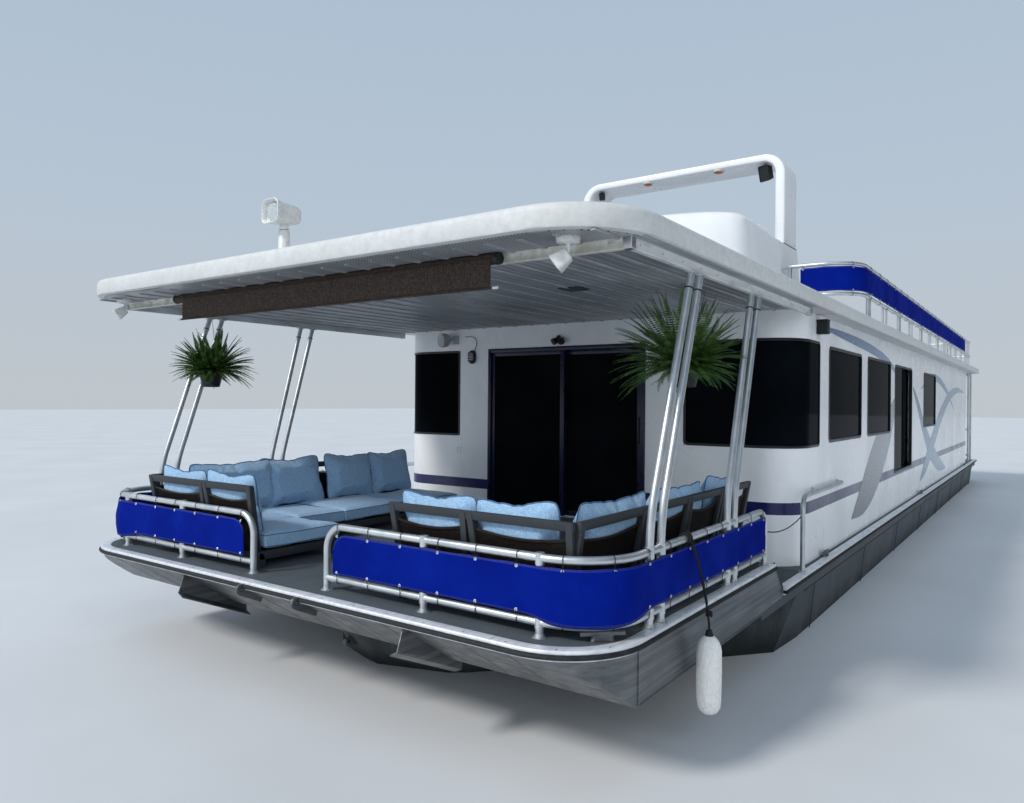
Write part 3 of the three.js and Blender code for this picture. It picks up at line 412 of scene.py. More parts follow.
# Black extruded rubber: matt, greyed a little by the sun
RUBBER = plain_finish("black_extruded_rubber", "17191B", 0.7, 0.0, (35, 4),
                      [(0.4, "121415"), (0.75, "2E3133")], [(0.3, 0.6), (0.7, 0.82)])
GELCOAT = make_gelcoat("white_gelcoat", False)
STRIPED_GELCOAT = make_gelcoat("white_gelcoat_with_stripe", True)
ROOF_GELCOAT = make_roof_gelcoat()
GLASS = make_glass()
# Painted window and door frames with a soft sheen
BLACK_FRAME = plain_finish("black_frame_enamel", "0E1013", 0.35, 0.0, (30, 3),
                           [(0.4, "0B0D10"), (0.8, "1D2024")], [(0.3, 0.28), (0.7, 0.46)])
NAVY_FRAME = plain_finish("navy_door_enamel", "0C1030", 0.3, 0.0, (80, 3),
                          [(0.35, "090D27"), (0.8, "141A40")], [(0.3, 0.25), (0.7, 0.4)])
# Enamels of the ribbed ceiling and of the curtain track
SOFFIT = plain_finish("white_soffit_enamel", "9EA1A2", 0.5, 0.0, (260, 5, (0.2, 1, 1)),
                      [(0.3, "86898B"), (0.65, "ABADAE")], [(0.3, 0.55), (0.7, 0.34)])
TRACK_ENAMEL = plain_finish("cream_track_enamel", "D9D6CC", 0.4, 0.0, (70, 5, (1, 0.2, 1)),
                            [(0.3, "B4B1A6"), (0.65, "DEDBD2")], [(0.3, 0.5), (0.7, 0.34)])
# Moulded ABS and lenses of lamps and speakers
BLACK_PLASTIC = plain_finish("black_moulded_abs", "111214", 0.5, 0.0, (6, 3),
                             [(0.3, "0C0D0E"), (0.75, "1C1E20")], [(0.3, 0.42), (0.7, 0.6)], 0.0003)
WHITE_PLASTIC = plain_finish("white_moulded_abs", "E2E2DF", 0.4, 0.0, (25, 3),
                             [(0.3, "D0D0CC"), (0.75, "ECECEA")], [(0.3, 0.5), (0.7, 0.32)])
AMBER_LENS = plain_finish("amber_lens", "B45A1E", 0.12, 0.0, (12, 2),
                          [(0.3, "8E3E12"), (0.7, "D07A38")], [(0.3, 0.08), (0.7, 0.2)])
LAMP_LENS = plain_finish("clear_lamp_lens", "C7CED2", 0.1, 0.3, (9, 1),
                         [(0.3, "A5ADB2"), (0.7, "E6EAEC")], [(0.3, 0.06), (0.7, 0.16)])
CANVAS = make_canvas()
# Hem of the canvas: the same cloth folded double and stitched, a tone darker
CANVAS_HEM = plain_finish("blue_canvas_hem", "031A78", 0.8, 0.0, (7, 2, (1, 1, 0.2)),
                          [(0.35, "02145F"), (0.65, "05208A")], [(0.3, 0.86), (0.7, 0.72)], 0.001)
CUSHION_CLOTH = make_cushion_cloth()
# Piping on the cushions: fabric rolled round a cord, shaded darker
PIPING_CLOTH = plain_finish("cushion_piping_fabric", "47688B", 0.85, 0.0, (6, 2),
                            [(0.35, "3C5A7B"), (0.7, "57799B")], [(0.3, 0.9), (0.7, 0.78)])
SHADE_MESH = make_shade_mesh()
# Powder-coated aluminium seat frames, charcoal
CHARCOAL_COAT = plain_finish("charcoal_powder_coat", "2E3236", 0.55, 0.1, (5, 2),
                             [(0.3, "272B2E"), (0.75, "3A3F44")], [(0.3, 0.48), (0.7, 0.64)], 0.0003)
WOVEN_RESIN = make_woven_resin()
# Fern leaf: mid green, waxy, with yellow-green patches that are partly real yellowing and partly painted
# highlight
FERN_LEAF = plain_finish("fern_leaf", "3B6A1D", 0.5, 0.0, (60, 4),
                         [(0.3, "24400F"), (0.5, "3E6328"), (0.75, "83A058")],
                         [(0.3, 0.42), (0.7, 0.6)], extra={"Subsurface Weight": 0.08})
BLACK_ROPE = make_rope()
FENDER_COVER = make_fender_cover()
# Pale studio floor, smooth and matt
STUDIO_FLOOR = plain_finish("pale_studio_floor", "DADBDC", 0.7, 0.0, (2500, 3),
                            [(0.3, "D6D7D8"), (0.7, "DFE0E1")], None)


# Shapes

def corner_arc(before, here, after, radius, steps):
    back = (before - here).normalized()
    on = (after - here).normalized()
    half = back.angle(on) / 2
    reach = radius / math.tan(half)
    middle = here + (back + on).normalized() * (radius / math.sin(half))
    first = here + back * reach - middle
    last = here + on * reach - middle
    sweep = first.angle(last)
    points = []
    for k in range(steps + 1):
        a = math.sin((1 - k / steps) * sweep) / math.sin(sweep)
        b = math.sin(k / steps * sweep) / math.sin(sweep)
        points.append(middle + first * a + last * b)
    return points


# Corner points joined with an arc at each inner corner
def bend(corners, radii, steps=8):
    corners = [Vector(c) for c in corners]
    path = [corners[0]]
    for i in range(1, len(corners) - 1):
        path += corner_arc(corners[i - 1], corners[i], corners[i + 1], radii[i - 1], steps)
    path.append(corners[-1])
    return path


# Plan outline of a rectangle, with one radius at the low-y corners and one at the high-y corners
def rounded(x0, x1, y0, y1, low, high, steps=10):
    corners = [(x0 + low, y0 + low, low, 1.0), (x1 - low, y0 + low, low, 1.5),
               (x1 - high, y1 - high, high, 0.0), (x0 + high, y1 - high, high, 0.5)]
    points = []
    for cx, cy, radius, start in corners:
        for i in range(steps + 1):
            turn = (start + 0.5 * i / steps) * math.pi
            points.append((cx + radius * math.cos(turn), cy + radius * math.sin(turn)))
    return points


def run_length(path):
    return sum((b - a).length for a, b in zip(path, path[1:]))


# The same path with points at an even step
def spaced(points, step):
    lengths = [0.0]
    for a, b in zip(points, points[1:]):
        lengths.append(lengths[-1] + (b - a).length)
    count = max(1, round(lengths[-1] / step))
    out = []
    i = 0
    for k in range(count + 1):
        want = lengths[-1] * k / count
        while i < len(points) - 2 and lengths[i + 1] < want:
            i += 1
        t = (want - lengths[i]) / max(lengths[i + 1] - lengths[i], 1e-9)
        out.append(points[i].lerp(points[i + 1], min(max(t, 0.0), 1.0)))
    return out


def placed_object(name, data):
    made = bpy.data.objects.new(name, data)
    bpy.context.scene.collection.objects.link(made)
    return made


# The plain mesh of an object with its modifiers applied
def applied_mesh(body):
    bpy.context.view_layer.update()
    return bpy.data.meshes.new_from_object(body.evaluated_get(bpy.context.evaluated_depsgraph_get()))


# Faces of a grid of points stored column by column
def grid_faces(columns, rows, flip=False):
    faces = []
    for i in range(columns):
        for k in range(rows):
            a = i * (rows + 1) + k
            b = a + rows + 1
            faces.append((a, a + 1, b + 1, b) if flip else (a, b, b + 1, a + 1))
    return faces


# One piece in the making: faces with their finishes, shared by all the shapes added to it
class Piece:
    def __init__(self, name):
        self.name = name
        self.mesh = bmesh.new()
        self.flat = self.mesh.loops.layers.uv.new("flat")
        self.finishes = []

    def index(self, finish):
        if finish not in self.finishes:
            self.finishes.append(finish)
        return self.finishes.index(finish)

    def faces(self, points, faces, finish, uv=None):
        index = self.index(finish)
        verts = [self.mesh.verts.new(p) for p in points]
        made = []
        for face in faces:
            new = self.mesh.faces.new([verts[i] for i in face])
            new.material_index = index
            new.smooth = True
            if uv:
                for loop, i in zip(new.loops, face):
                    loop[self.flat].uv = uv[i]
            made.append(new)
        return made

    # Rings of equal length joined in order: closed round each ring, capped, or closed along the row
    def skin(self, rings, finish, around=True, caps=True, along=False, uv=None):
        rows, count = len(rings), len(rings[0])
        points = [p for ring in rings for p in ring]
        faces = []
        for r in range(rows if along else rows - 1):
            for i in range(count if around else count - 1):
                j, s = (i + 1) % count, (r + 1) % rows
                faces.append((r * count + i, r * count + j, s * count + j, s * count + i))
        if caps and around and not along:
            faces.append(tuple(reversed(range(count))))
            faces.append(tuple((rows - 1) * count + i for i in range(count)))
        return self.faces(points, faces, finish, uv)

    def tube(self, path, radius, finish, sides=14, closed=False, caps=True):
        path = [Vector(p) for p in path]
        count = len(path)
        tangents = []
        for i in range(count):
            before = path[i - 1] if (closed or i) else path[i]
            after = path[(i + 1) % count] if (closed or i < count - 1) else path[i]
            tangents.append((after - before).normalized())
        lead = Vector((0, 0, 1)) if abs(tangents[0].z) < 0.9 else Vector((1, 0, 0))
        side = tangents[0].cross(lead).normalized()
        rings, uv, run = [], [], 0.0
        for i, (here, tangent) in enumerate(zip(path, tangents)):
            side = (side - tangent * side.dot(tangent)).normalized()
            other = tangent.cross(side)
            size = radius[i] if isinstance(radius, (list, tuple)) else radius
            run += (here - path[i - 1]).length if i else 0.0
            ring = []
            for k in range(sides):
                turn = 2 * math.pi * k / sides
                ring.append(here + side * (size * math.cos(turn)) + other * (size * math.sin(turn)))
                uv.append((run, k / sides * 2 * math.pi * size))
            rings.append(ring)
        return self.skin(rings, finish, along=closed, caps=caps, uv=uv)

    # A section of (out, up) points swept round a plan path; out is to the right of the run
    def sweep(self, path, section, finish, z=0.0, closed=False, caps=True):
        path = [Vector((p[0], p[1])) for p in path]
        count = len(path)
        rings = []
        for i in range(count):
            before = path[i - 1] if (closed or i) else path[i]
            after = path[(i + 1) % count] if (closed or i < count - 1) else path[i]
            ahead = (path[i] - before).normalized() if before != path[i] else (after - path[i]).normalized()
            onward = (after - path[i]).normalized() if after != path[i] else ahead
            run = (ahead + onward).normalized()
            side = Vector((run.y, -run.x))
            stretch = 1 / max(side.dot(Vector((onward.y, -onward.x))), 0.3)
            ring = [(path[i].x + side.x * out * stretch, path[i].y + side.y * out * stretch, z + up)
                    for out, up in section]
            rings.append(ring)
        return self.skin(rings, finish, along=closed, caps=caps)

    def block(self, x0, x1, y0, y1, z0, z1, finish, bevel=0.004):
        made = self.faces(
            [(x, y, z) for z in (z0, z1) for y in (y0, y1) for x in (x0, x1)],
            [(0, 2, 3, 1), (4, 5, 7, 6), (0, 1, 5, 4), (2, 6, 7, 3), (0, 4, 6, 2), (1, 3, 7, 5)],
            finish,
        )
        self.soften(made, bevel)
        return made

    def soften(self, made, bevel, segments=2):
        if bevel:
            edges = list(dict.fromkeys(edge for face in made for edge in face.edges))
            bmesh.ops.bevel(self.mesh, geom=edges, offset=bevel, segments=segments,
                            profile=0.5, affect="EDGES", clamp_overlap=True)

    # An outline of (a, b) pairs carried along an axis from low to high
    def prism(self, outline, axis, low, high, finish, bevel=0.0):
        turn = {
            "x": lambda a, b, c: (c, a, b),
            "y": lambda a, b, c: (a, c, b),
            "z": lambda a, b, c: (a, b, c),
        }[axis]
        rings = [[turn(a, b, c) for a, b in outline] for c in (low, high)]
        made = self.skin(rings, finish)
        self.soften(made, bevel)
        return made

    # A profile of (radius, height) turned round a line through centre
    def lathe(self, profile, centre, axis, finish, sides=20):
        axis = Vector(axis).normalized()
        lead = Vector((0, 0, 1)) if abs(axis.z) < 0.9 else Vector((1, 0, 0))
        side = axis.cross(lead).normalized()
        other = axis.cross(side)
        centre = Vector(centre)
        rings = []
        for radius, height in profile:
            ring = []
            for k in range(sides):
                turn = 2 * math.pi * k / sides
                spoke = side * math.cos(turn) + other * math.sin(turn)
                ring.append(centre + axis * height + spoke * max(radius, 0.0004))
            rings.append(ring)
        return self.skin(rings, finish)

    # The part's own solid, its loose triangles merged and its flat faces joined
    def copy_node(self, node, finish, bevel=0.0, segments=2, sharp=25):
        made = bmesh.new()
        made.from_mesh(bpy.data.objects[node].data)
        bmesh.ops.transform(made, matrix=Matrix.Translation((0, -SHIFT, 0)), verts=made.verts)
        bmesh.ops.remove_doubles(made, verts=made.verts, dist=0.00002)
        bmesh.ops.dissolve_limit(made, angle_limit=math.radians(1.0), verts=made.verts, edges=made.edges)
        if bevel:
            edges = [e for e in made.edges if len(e.link_faces) == 2
                     and e.calc_face_angle(0) > math.radians(sharp)]
            bmesh.ops.bevel(made, geom=edges, offset=bevel, segments=segments, profile=0.5,
                            affect="EDGES", clamp_overlap=True)
        made.verts.index_update()
        points = [v.co.copy() for v in made.verts]
        faces = [tuple(v.index for v in f.verts) for f in made.faces]
        made.free()
        return self.faces(points, faces, finish)

    def as_object(self):
        data = bpy.data.meshes.new(self.name)
        self.mesh.to_mesh(data)
        self.mesh.free()
        for material in self.finishes:
            data.materials.append(material)
        return placed_object(self.name, data)

    def finish(self, body="boat", replaces=(), smooth=35, modifiers=(), shifted=True, outward=True):
        if outward:
            bmesh.ops.recalc_face_normals(self.mesh, faces=self.mesh.faces)
        if shifted:
            bmesh.ops.translate(self.mesh, verts=self.mesh.verts, vec=(0, SHIFT, 0))
        made = self.as_object()
        made.data.set_sharp_from_angle(angle=math.radians(smooth))
        for kind, settings in modifiers:
            added = made.modifiers.new(kind.title(), kind)
            for key, value in settings.items():
                setattr(added, key, value)
        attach(made, body)
        if replaces:
            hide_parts(*replaces)
        return made


# Camera, floor and lights

# Solved from the photo's straight edges: yaw, pitch and roll in degrees, place in metres, lens in mm
CAMERA_TURN = (35.589, 0.018, 0.469)
CAMERA_PLACE = (4.603, -14.839, 2.205)
CAMERA_LENS = 26.66


def make_camera():
    yaw, pitch, roll = [math.radians(angle) for angle in CAMERA_TURN]
    ahead = Vector((-math.sin(yaw) * math.cos(pitch), math.cos(yaw) * math.cos(pitch), math.sin(pitch)))
    right = Vector((math.cos(yaw), math.sin(yaw), 0))
    up = right.cross(ahead)
    across = right * math.cos(roll) + up * math.sin(roll)
    above = up * math.cos(roll) - right * math.sin(roll)
    data = bpy.data.cameras.new("photo_camera")
    data.sensor_width = 36.0
    data.lens = CAMERA_LENS
    data.clip_end = 2000.0
    camera = placed_object("photo_camera", data)
    place = Matrix((across, above, -ahead)).transposed().to_4x4()
    place.translation = CAMERA_PLACE
    camera.matrix_world = place
    bpy.context.scene.camera = camera


def make_floor():
    floor = Piece("studio_floor")
    far = 150
    floor.faces([(-far, -far, 0), (far, -far, 0), (far, far, 0), (-far, far, 0)], [(0, 1, 2, 3)],
                STUDIO_FLOOR)
    floor.as_object()


# A pale sky with a darker side to port and aft, as the glass there mirrors no bright panel
def make_lights():
    world = bpy.data.worlds.new("soft_sky")
    bpy.context.scene.world = world
    world.use_nodes = True
    tree = world.node_tree
    back = tree.nodes["Background"]
    place = add_node(tree, "ShaderNodeTexCoord")
    parts = add_node(tree, "ShaderNodeSeparateXYZ", {"Vector": place.outputs["Generated"]})
    sky = ramp(tree, maths(tree, "MULTIPLY_ADD", parts.outputs["Z"], 0.5, 0.5),
               (0.0, "AEB3B7"), (0.5, "CDD4DA"), (0.62, "C2D2E2"), (1.0, "A6C0DC"))
    across = maths(tree, "MULTIPLY", parts.outputs["X"], 0.9)
    aside = maths(tree, "MULTIPLY_ADD", parts.outputs["Y"], 0.3, across)
    dark = ramp(tree, aside, (0.28, 0.0), (0.62, 0.85))
    tree.links.new(blend_colours(tree, dark, sky, "3A4248"), back.inputs["Color"])
    back.inputs["Strength"].default_value = SKY_POWER
    for name, direction, power, angle, tint in (
        ("key_sun", (0.3, 0.7, -0.62), KEY_POWER, 10, (1.0, 0.97, 0.93)),
        ("fill_sun", (-0.75, 0.45, -0.35), FILL_POWER, 60, (0.92, 0.96, 1.0)),
    ):
        light = bpy.data.lights.new(name, "SUN")
        light.energy = power
        light.angle = math.radians(angle)
        light.color = tint
        made = placed_object(name, light)
        made.rotation_euler = Vector(direction).to_track_quat("-Z", "Y").to_euler()
        # The broad fill gives light but no glare on glass and gelcoat
        made.visible_glossy = name == "key_sun"
    bpy.context.scene.view_settings.view_transform = "Standard"


SKY_POWER = 0.86
KEY_POWER = 2.1
FILL_POWER = 1.0

make_camera()
make_floor()
make_lights()


# A Geometry Nodes tree that spreads instances and gives them one finish
def begin_tree(name, sockets):
    tree = bpy.data.node_groups.new(name, "GeometryNodeTree")
    for socket, kind in (("Geometry", "Geometry"), *sockets, ("Finish", "Material")):
        tree.interface.new_socket(socket, in_out="INPUT", socket_type=f"NodeSocket{kind}")
    tree.interface.new_socket("Geometry", in_out="OUTPUT", socket_type="NodeSocketGeometry")
    return tree, add_node(tree, "NodeGroupInput").outputs


def end_tree(tree, start, instances):
    spread = add_node(tree, "GeometryNodeInstanceOnPoints", instances)
    real = add_node(tree, "GeometryNodeRealizeInstances", {"Geometry": spread.outputs["Instances"]})
    dressed = add_node(tree, "GeometryNodeSetMaterial", {
        "Geometry": real.outputs["Geometry"], "Material": start["Finish"],
    })
    add_node(tree, "NodeGroupOutput", {"Geometry": dressed.outputs["Geometry"]})
    return tree


# Screw heads set along a path: one small domed head at an even step
def screw_tree():
    tree, start = begin_tree("screws_along_a_strip", (("Step", "Float"), ("Head", "Float")))
    path = add_node(tree, "GeometryNodeMeshToCurve", {"Mesh": start["Geometry"]})
    points = add_node(tree, "GeometryNodeResampleCurve", {
        "Curve": path.outputs["Curve"], "Length": start["Step"],
    }, mode="LENGTH")
    normal = add_node(tree, "GeometryNodeInputNamedAttribute", {"Name": "facing"}, data_type="FLOAT_VECTOR")
    turn = add_node(tree, "FunctionNodeAlignRotationToVector", {"Vector": normal.outputs["Attribute"]},
                    axis="Z")
    head = add_node(tree, "GeometryNodeMeshCone", {
        "Vertices": 8, "Side Segments": 1, "Radius Top": 0.45, "Radius Bottom": 1.0, "Depth": 0.45,
    })
    return end_tree(tree, start, {
        "Points": points.outputs["Curve"], "Instance": head.outputs["Mesh"],
        "Rotation": turn.outputs["Rotation"], "Scale": start["Head"],
    })


SCREWS = screw_tree()


# Runs: a list of (path points, outward direction or list of directions)
def screw_rows(name, runs, step, head, finish):
    points, edges, facing = [], [], []
    for path, out in runs:
        first = len(points)
        for i, p in enumerate(path):
            points.append((p[0], p[1] + SHIFT, p[2]))
            facing.append(out[i] if isinstance(out, list) else out)
        edges += [(first + i, first + i + 1) for i in range(len(path) - 1)]
    data = bpy.data.meshes.new(name)
    data.from_pydata(points, edges, [])
    layer = data.attributes.new("facing", "FLOAT_VECTOR", "POINT")
    for i, direction in enumerate(facing):
        layer.data[i].vector = direction
    grown(placed_object(name, data), SCREWS, {"Step": step, "Head": head, "Finish": finish})


# Applies a Geometry Nodes tree to a carrier and keeps the plain mesh
def grown(carrier, tree, values):
    added = carrier.modifiers.new("Grow", "NODES")
    added.node_group = tree
    for item in tree.interface.items_tree:
        if item.item_type == "SOCKET" and item.in_out == "INPUT" and item.name in values:
            added[item.identifier] = values[item.name]
    data = applied_mesh(carrier)
    carrier.modifiers.remove(added)
    old = carrier.data
    carrier.data = data
    bpy.data.meshes.remove(old)
    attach(carrier, "boat")


# Hull and decks

# Points every 15 degrees of a circle, from a first angle
def arc_points(a, b, radius, start, count):
    turns = [math.radians(start + 15 * k) for k in range(count)]
    return [(a + radius * math.cos(turn), b + radius * math.sin(turn)) for turn in turns]


def make_hull():
    hull = Piece("hull_plating")
    hull.copy_node("hull", PLATE_WITH_PAINTED_SHADE, bevel=0.008)
    for side in (-1, 1):
        for y in [4.4 + 2.43 * i for i in range(8)]:
            hull.tube([(side * 2.698, y, 0.455), (side * 2.664, y, 0.16), (side * 2.646, y, 0.0)],
                      0.005, PLATE_WITH_PAINTED_SHADE, sides=6)
        hull.tube([(side * 2.6985, 4.0, 0.448), (side * 2.6985, 21.8, 0.448)], 0.006, PLATE_WITH_PAINTED_SHADE, sides=6)
    hull.finish(replaces=["hull"], modifiers=[("WEIGHTED_NORMAL", {"keep_sharp": True})])
    eye = Piece("stem_towing_eye")
    hole_y, hole_z = 0.785, 0.272
    round_end = arc_points(hole_y, hole_z, 0.04, 135, 13)
    eye.prism(round_end + [(0.9, 0.215), (0.82, 0.3)], "x", -0.012, 0.012, HULL_PLATE, 0.003)
    eye.lathe([(0.017, -0.0135), (0.019, 0.0), (0.017, 0.0135)], (0, hole_y, hole_z), (1, 0, 0),
              BLACK_PLASTIC, 16)
    eye.finish()


def deck_outline(inset):
    side = HULL_SIDE - inset
    bow = rounded(-side, side, inset, 9, BOW_RADIUS - inset, 0.1, 12)[:26]
    porch = 2.19
    return bow + [(side, PORCH_END - 0.03), (porch, PORCH_END - 0.03), (porch, 4.1),
                  (-porch, 4.1), (-porch, PORCH_END - 0.03), (-side, PORCH_END - 0.03)]


# Height of the inclined bow plate's underside
def slope(y):
    return SKIRT_TOP - (SKIRT_TOP - SKIRT_LOW) * y / SKIRT_FOOT


def make_bow_deck():
    deck = Piece("bow_deck_plating")
    deck.copy_node("bow_deck", HULL_PLATE, bevel=0.006)
    deck.prism(deck_outline(0.056), "z", DECK - 0.003, DECK + 0.0025, DECK_PAINT)
    # Folded edge of the side skirts, and a black tube along their slanted end as painted shade of the gap
    # behind it
    for side in (-1, 1):
        edge = [(side * 2.701, 0.5, 0.49), (side * 2.701, SKIRT_END - 0.012, 0.52),
                (side * 2.701, SKIRT_END - 0.012, 0.604), (side * 2.701, PORCH_END + 0.01, 0.866)]
        deck.tube(bend(edge, [0.02, 0.02], 4), 0.006, HULL_PLATE, sides=8)
        # Black tube in the rubber finish: painted shade of the gap behind the skirt's slanted end
        deck.tube([(side * 2.698, SKIRT_END + 0.004, 0.615), (side * 2.698, PORCH_END + 0.026, 0.872)],
                  0.007, RUBBER, sides=8)
        deck.tube([(side * 2.7025, 0.5, 0.492), (side * 2.7025, 0.5, 0.81)], 0.004, HULL_PLATE, sides=6)
    # Welded stiffening beads down the inclined front plate
    for x in [-2.15 + 0.33 * i for i in range(14)]:
        deck.tube([(x - 0.02, 0.025, slope(0.025)), (x + 0.02, 0.45, slope(0.45))], 0.003, HULL_PLATE,
                  sides=6)
    for x in LUGS:
        make_lug(deck, x)
    deck.finish(replaces=["bow_deck"], modifiers=[("WEIGHTED_NORMAL", {"keep_sharp": True})])


# Round-ended lug under the bow edge, with its pin hole
def make_lug(deck, x):
    y, z = -0.05, 0.817
    round_end = arc_points(y, z, 0.042, 40, 16)
    deck.prism(round_end + [(0.12, 0.69), (0.14, 0.74)], "x", x - 0.0115, x + 0.0115, HULL_PLATE, 0.003)
    for side in (-1, 1):
        deck.lathe([(0.019, 0.0), (0.019, 0.0118), (0.013, 0.0125), (0.013, 0.0)],
                   (x, y, z), (side, 0, 0), BLACK_PLASTIC, 18)


def make_side_decks():
    decks = Piece("side_deck_paint")
    for side in (-1, 1):
        low, high = sorted((side * 2.612, side * 2.66))
        decks.prism([(low, 4.1), (high, 4.1), (high, 20.9), (low, 20.9)], "z", LEDGE - 0.002, LEDGE + 0.002,
                    DECK_PAINT)
        low, high = sorted((side * 2.21, side * 2.66))
        decks.prism([(low, 3.36), (high, 3.36), (high, 4.1), (low, 4.1)], "z", LEDGE - 0.002, LEDGE + 0.002,
                    DECK_PAINT)
    decks.prism([(-2.62, 20.92), (2.62, 20.92), (2.62, 22.8), (-2.62, 22.8)], "z",
                LEDGE - 0.002, LEDGE + 0.002, DECK_PAINT)
    decks.finish()


# Cleats of cast aluminium: two posts, two tapered horns
def make_cleats():
    cleats = Piece("deck_cleats")
    places = [(2.56, 0.33, DECK, 45), (-2.56, 0.33, DECK, -45)]
    places += [(side * 2.655, y, LEDGE, 90) for side in (-1, 1) for y in (5.0, 12.0, 20.0)]
    places += [(side * 2.3, 22.66, LEDGE, 0) for side in (-1, 1)]
    for x, y, z, turn in places:
        spin = Matrix.Rotation(math.radians(turn), 3, "Z")
        base = Vector((x, y, z))
        horn = [Vector((a, 0, 0.048 + 0.006 * (a / 0.13) ** 2))
                for a in [-0.13 + 0.026 * k for k in range(11)]]
        sizes = [0.017 - 0.009 * abs(a.x / 0.13) ** 1.6 for a in horn]
        cleats.tube([base + spin @ p for p in horn], sizes, HULL_PLATE, sides=12)
        for a in (-0.042, 0.042):
            foot = [base + spin @ Vector((a * 1.25, 0, 0.0)), base + spin @ Vector((a, 0, 0.046))]
            cleats.tube(foot, [0.02, 0.014], HULL_PLATE, sides=12)
        corners = rounded(-0.075, 0.075, -0.024, 0.024, 0.02, 0.02, 4)
        pad = [base + spin @ Vector((a, b, 0)) for a, b in corners]
        cleats.prism([(p.x, p.y) for p in pad], "z", z, z + 0.008, HULL_PLATE)
    cleats.finish()


SCREW_STEP = 0.3
SCREW_RADIUS = 0.007

# Rub rail section as (reach, height) from the hull side and the deck line
EDGE_STRIP = [(0.0005, -0.0185), (0.027, -0.0185), (0.0285, -0.016), (0.0285, -0.004), (0.0245, 0.002),
              (0.018, 0.0045), (-0.047, 0.0045), (-0.0505, 0.0036), (-0.0515, 0.0008), (0.0005, 0.0008)]
RUBBER_BEAD = [(0.0005, -0.048)] + [
    (0.0285 + 0.0165 * math.cos(a), -0.034 + 0.0138 * math.sin(a))
    for a in [math.radians(-90 + 15 * k) for k in range(13)]
] + [(0.0005, -0.0202)]
LOW_LIP = [(0.0005, -0.06), (0.0155, -0.06), (0.018, -0.0575), (0.018, -0.0505), (0.0155, -0.0483),
           (0.0005, -0.0483)]
RUB_BANDS = ((EDGE_STRIP, EDGE_METAL), (RUBBER_BEAD, RUBBER), (LOW_LIP, STRIP_VINYL))


def make_rub_rails():
    bow = Piece("bow_rub_rail_strip")
    plan = rounded(-HULL_SIDE, HULL_SIDE, 0.0, 9, BOW_RADIUS, 0.1, 16)[:34]
    path = [(-HULL_SIDE, 3.0)] + plan + [(HULL_SIDE, 3.0)]
    for section, finish in RUB_BANDS:
        bow.sweep(path, section, finish, z=DECK)
    bow.finish(replaces=["bow_rub_rail"], smooth=50)
    for name, side in SIDES:
        rail = Piece(f"side_rub_rail_strip_{name}")
        run = [(side * HULL_SIDE, SKIRT_END + 0.01), (side * HULL_SIDE, LENGTH - 0.002)]
        if side < 0:
            run.reverse()
        for section, finish in RUB_BANDS:
            rail.sweep(run, section, finish, z=LEDGE)
        rail.finish(replaces=[f"rub_rail_{name}"], smooth=50)
    strip = []
    for i, (x, y) in enumerate(path):
        before = Vector(path[max(i - 1, 0)])
        after = Vector(path[min(i + 1, len(path) - 1)])
        run = (after - before).normalized()
        strip.append(Vector((x, y, DECK + 0.0045)) + Vector((run.y, -run.x, 0)) * 0.004)
    runs = [(strip, (0, 0, 1))]
    for side in (-1, 1):
        x = side * (HULL_SIDE + 0.004)
        runs.append(([(x, SKIRT_END + 0.05, LEDGE + 0.0045), (x, LENGTH - 0.05, LEDGE + 0.0045)],
                     (0, 0, 1)))
    screw_rows("rub_rail_screws", runs, SCREW_STEP, SCREW_RADIUS, SCREW_STEEL)


def make_bow_steps():
    for name in ("port", "starboard"):
        step = Piece(f"bow_step_plate_{name}")
        step.copy_node(f"bow_step_{name}", HULL_PLATE, bevel=0.0015)
        step.finish(replaces=[f"bow_step_{name}"])


make_hull()
make_bow_deck()
make_side_decks()
make_cleats()
make_rub_rails()
make_bow_steps()


# Cabin walls, measured along the outside of the plan from the centre of the front wall

FRONT_RUN = CABIN_SIDE - CABIN_RADIUS
CORNER_RUN = CABIN_RADIUS * math.pi / 2


def on_wall(side, along, z, out=0.0):
    if along <= FRONT_RUN:
        return Vector((side * along, CABIN_FRONT - out, z))
    if along <= FRONT_RUN + CORNER_RUN:
        turn = (along - FRONT_RUN) / CABIN_RADIUS
        reach = CABIN_RADIUS + out
        return Vector((side * (FRONT_RUN + reach * math.sin(turn)),
                       CABIN_FRONT + CABIN_RADIUS - reach * math.cos(turn), z))
    y = CABIN_FRONT + CABIN_RADIUS + along - FRONT_RUN - CORNER_RUN
    return Vector((side * (CABIN_SIDE + out), y, z))


def along_side(y):
    return y - CABIN_FRONT - CABIN_RADIUS + FRONT_RUN + CORNER_RUN


# Outline of a window in wall measure, with enough points to follow the bent corner
def window_outline(a0, a1, z0, z1, radius, inset=0.0):
    a0, a1, z0, z1 = a0 + inset, a1 - inset, z0 + inset, z1 - inset
    radius = max(radius - inset, 0.005)
    corners = rounded(a0, a1, z0, z1, radius, radius, 6)
    points = []
    for i, here in enumerate(corners):
        points.append(here)
        onward = corners[(i + 1) % len(corners)]
        gap = math.dist(here, onward)
        extra = 24 if gap > 0.15 else 0
        for k in range(1, extra):
            t = k / extra
            points.append((here[0] + (onward[0] - here[0]) * t, here[1] + (onward[1] - here[1]) * t))
    return points


# A frame of given width and depth round an outline, standing proud of the wall
def wall_frame(piece, side, window, width, proud, recess, finish):
    outer = window_outline(*window, inset=-0.004)
    inner = window_outline(*window, inset=width)
    rings = []
    for (a, z), (b, w) in zip(outer, inner):
        mid = ((a + b) / 2, (z + w) / 2)
        rings.append([
            on_wall(side, a, z, -0.002), on_wall(side, a, z, proud * 0.6),
            on_wall(side, *mid, proud), on_wall(side, b, w, proud * 0.7), on_wall(side, b, w, -recess),
        ])
    piece.skin(rings, finish, around=False, along=True)


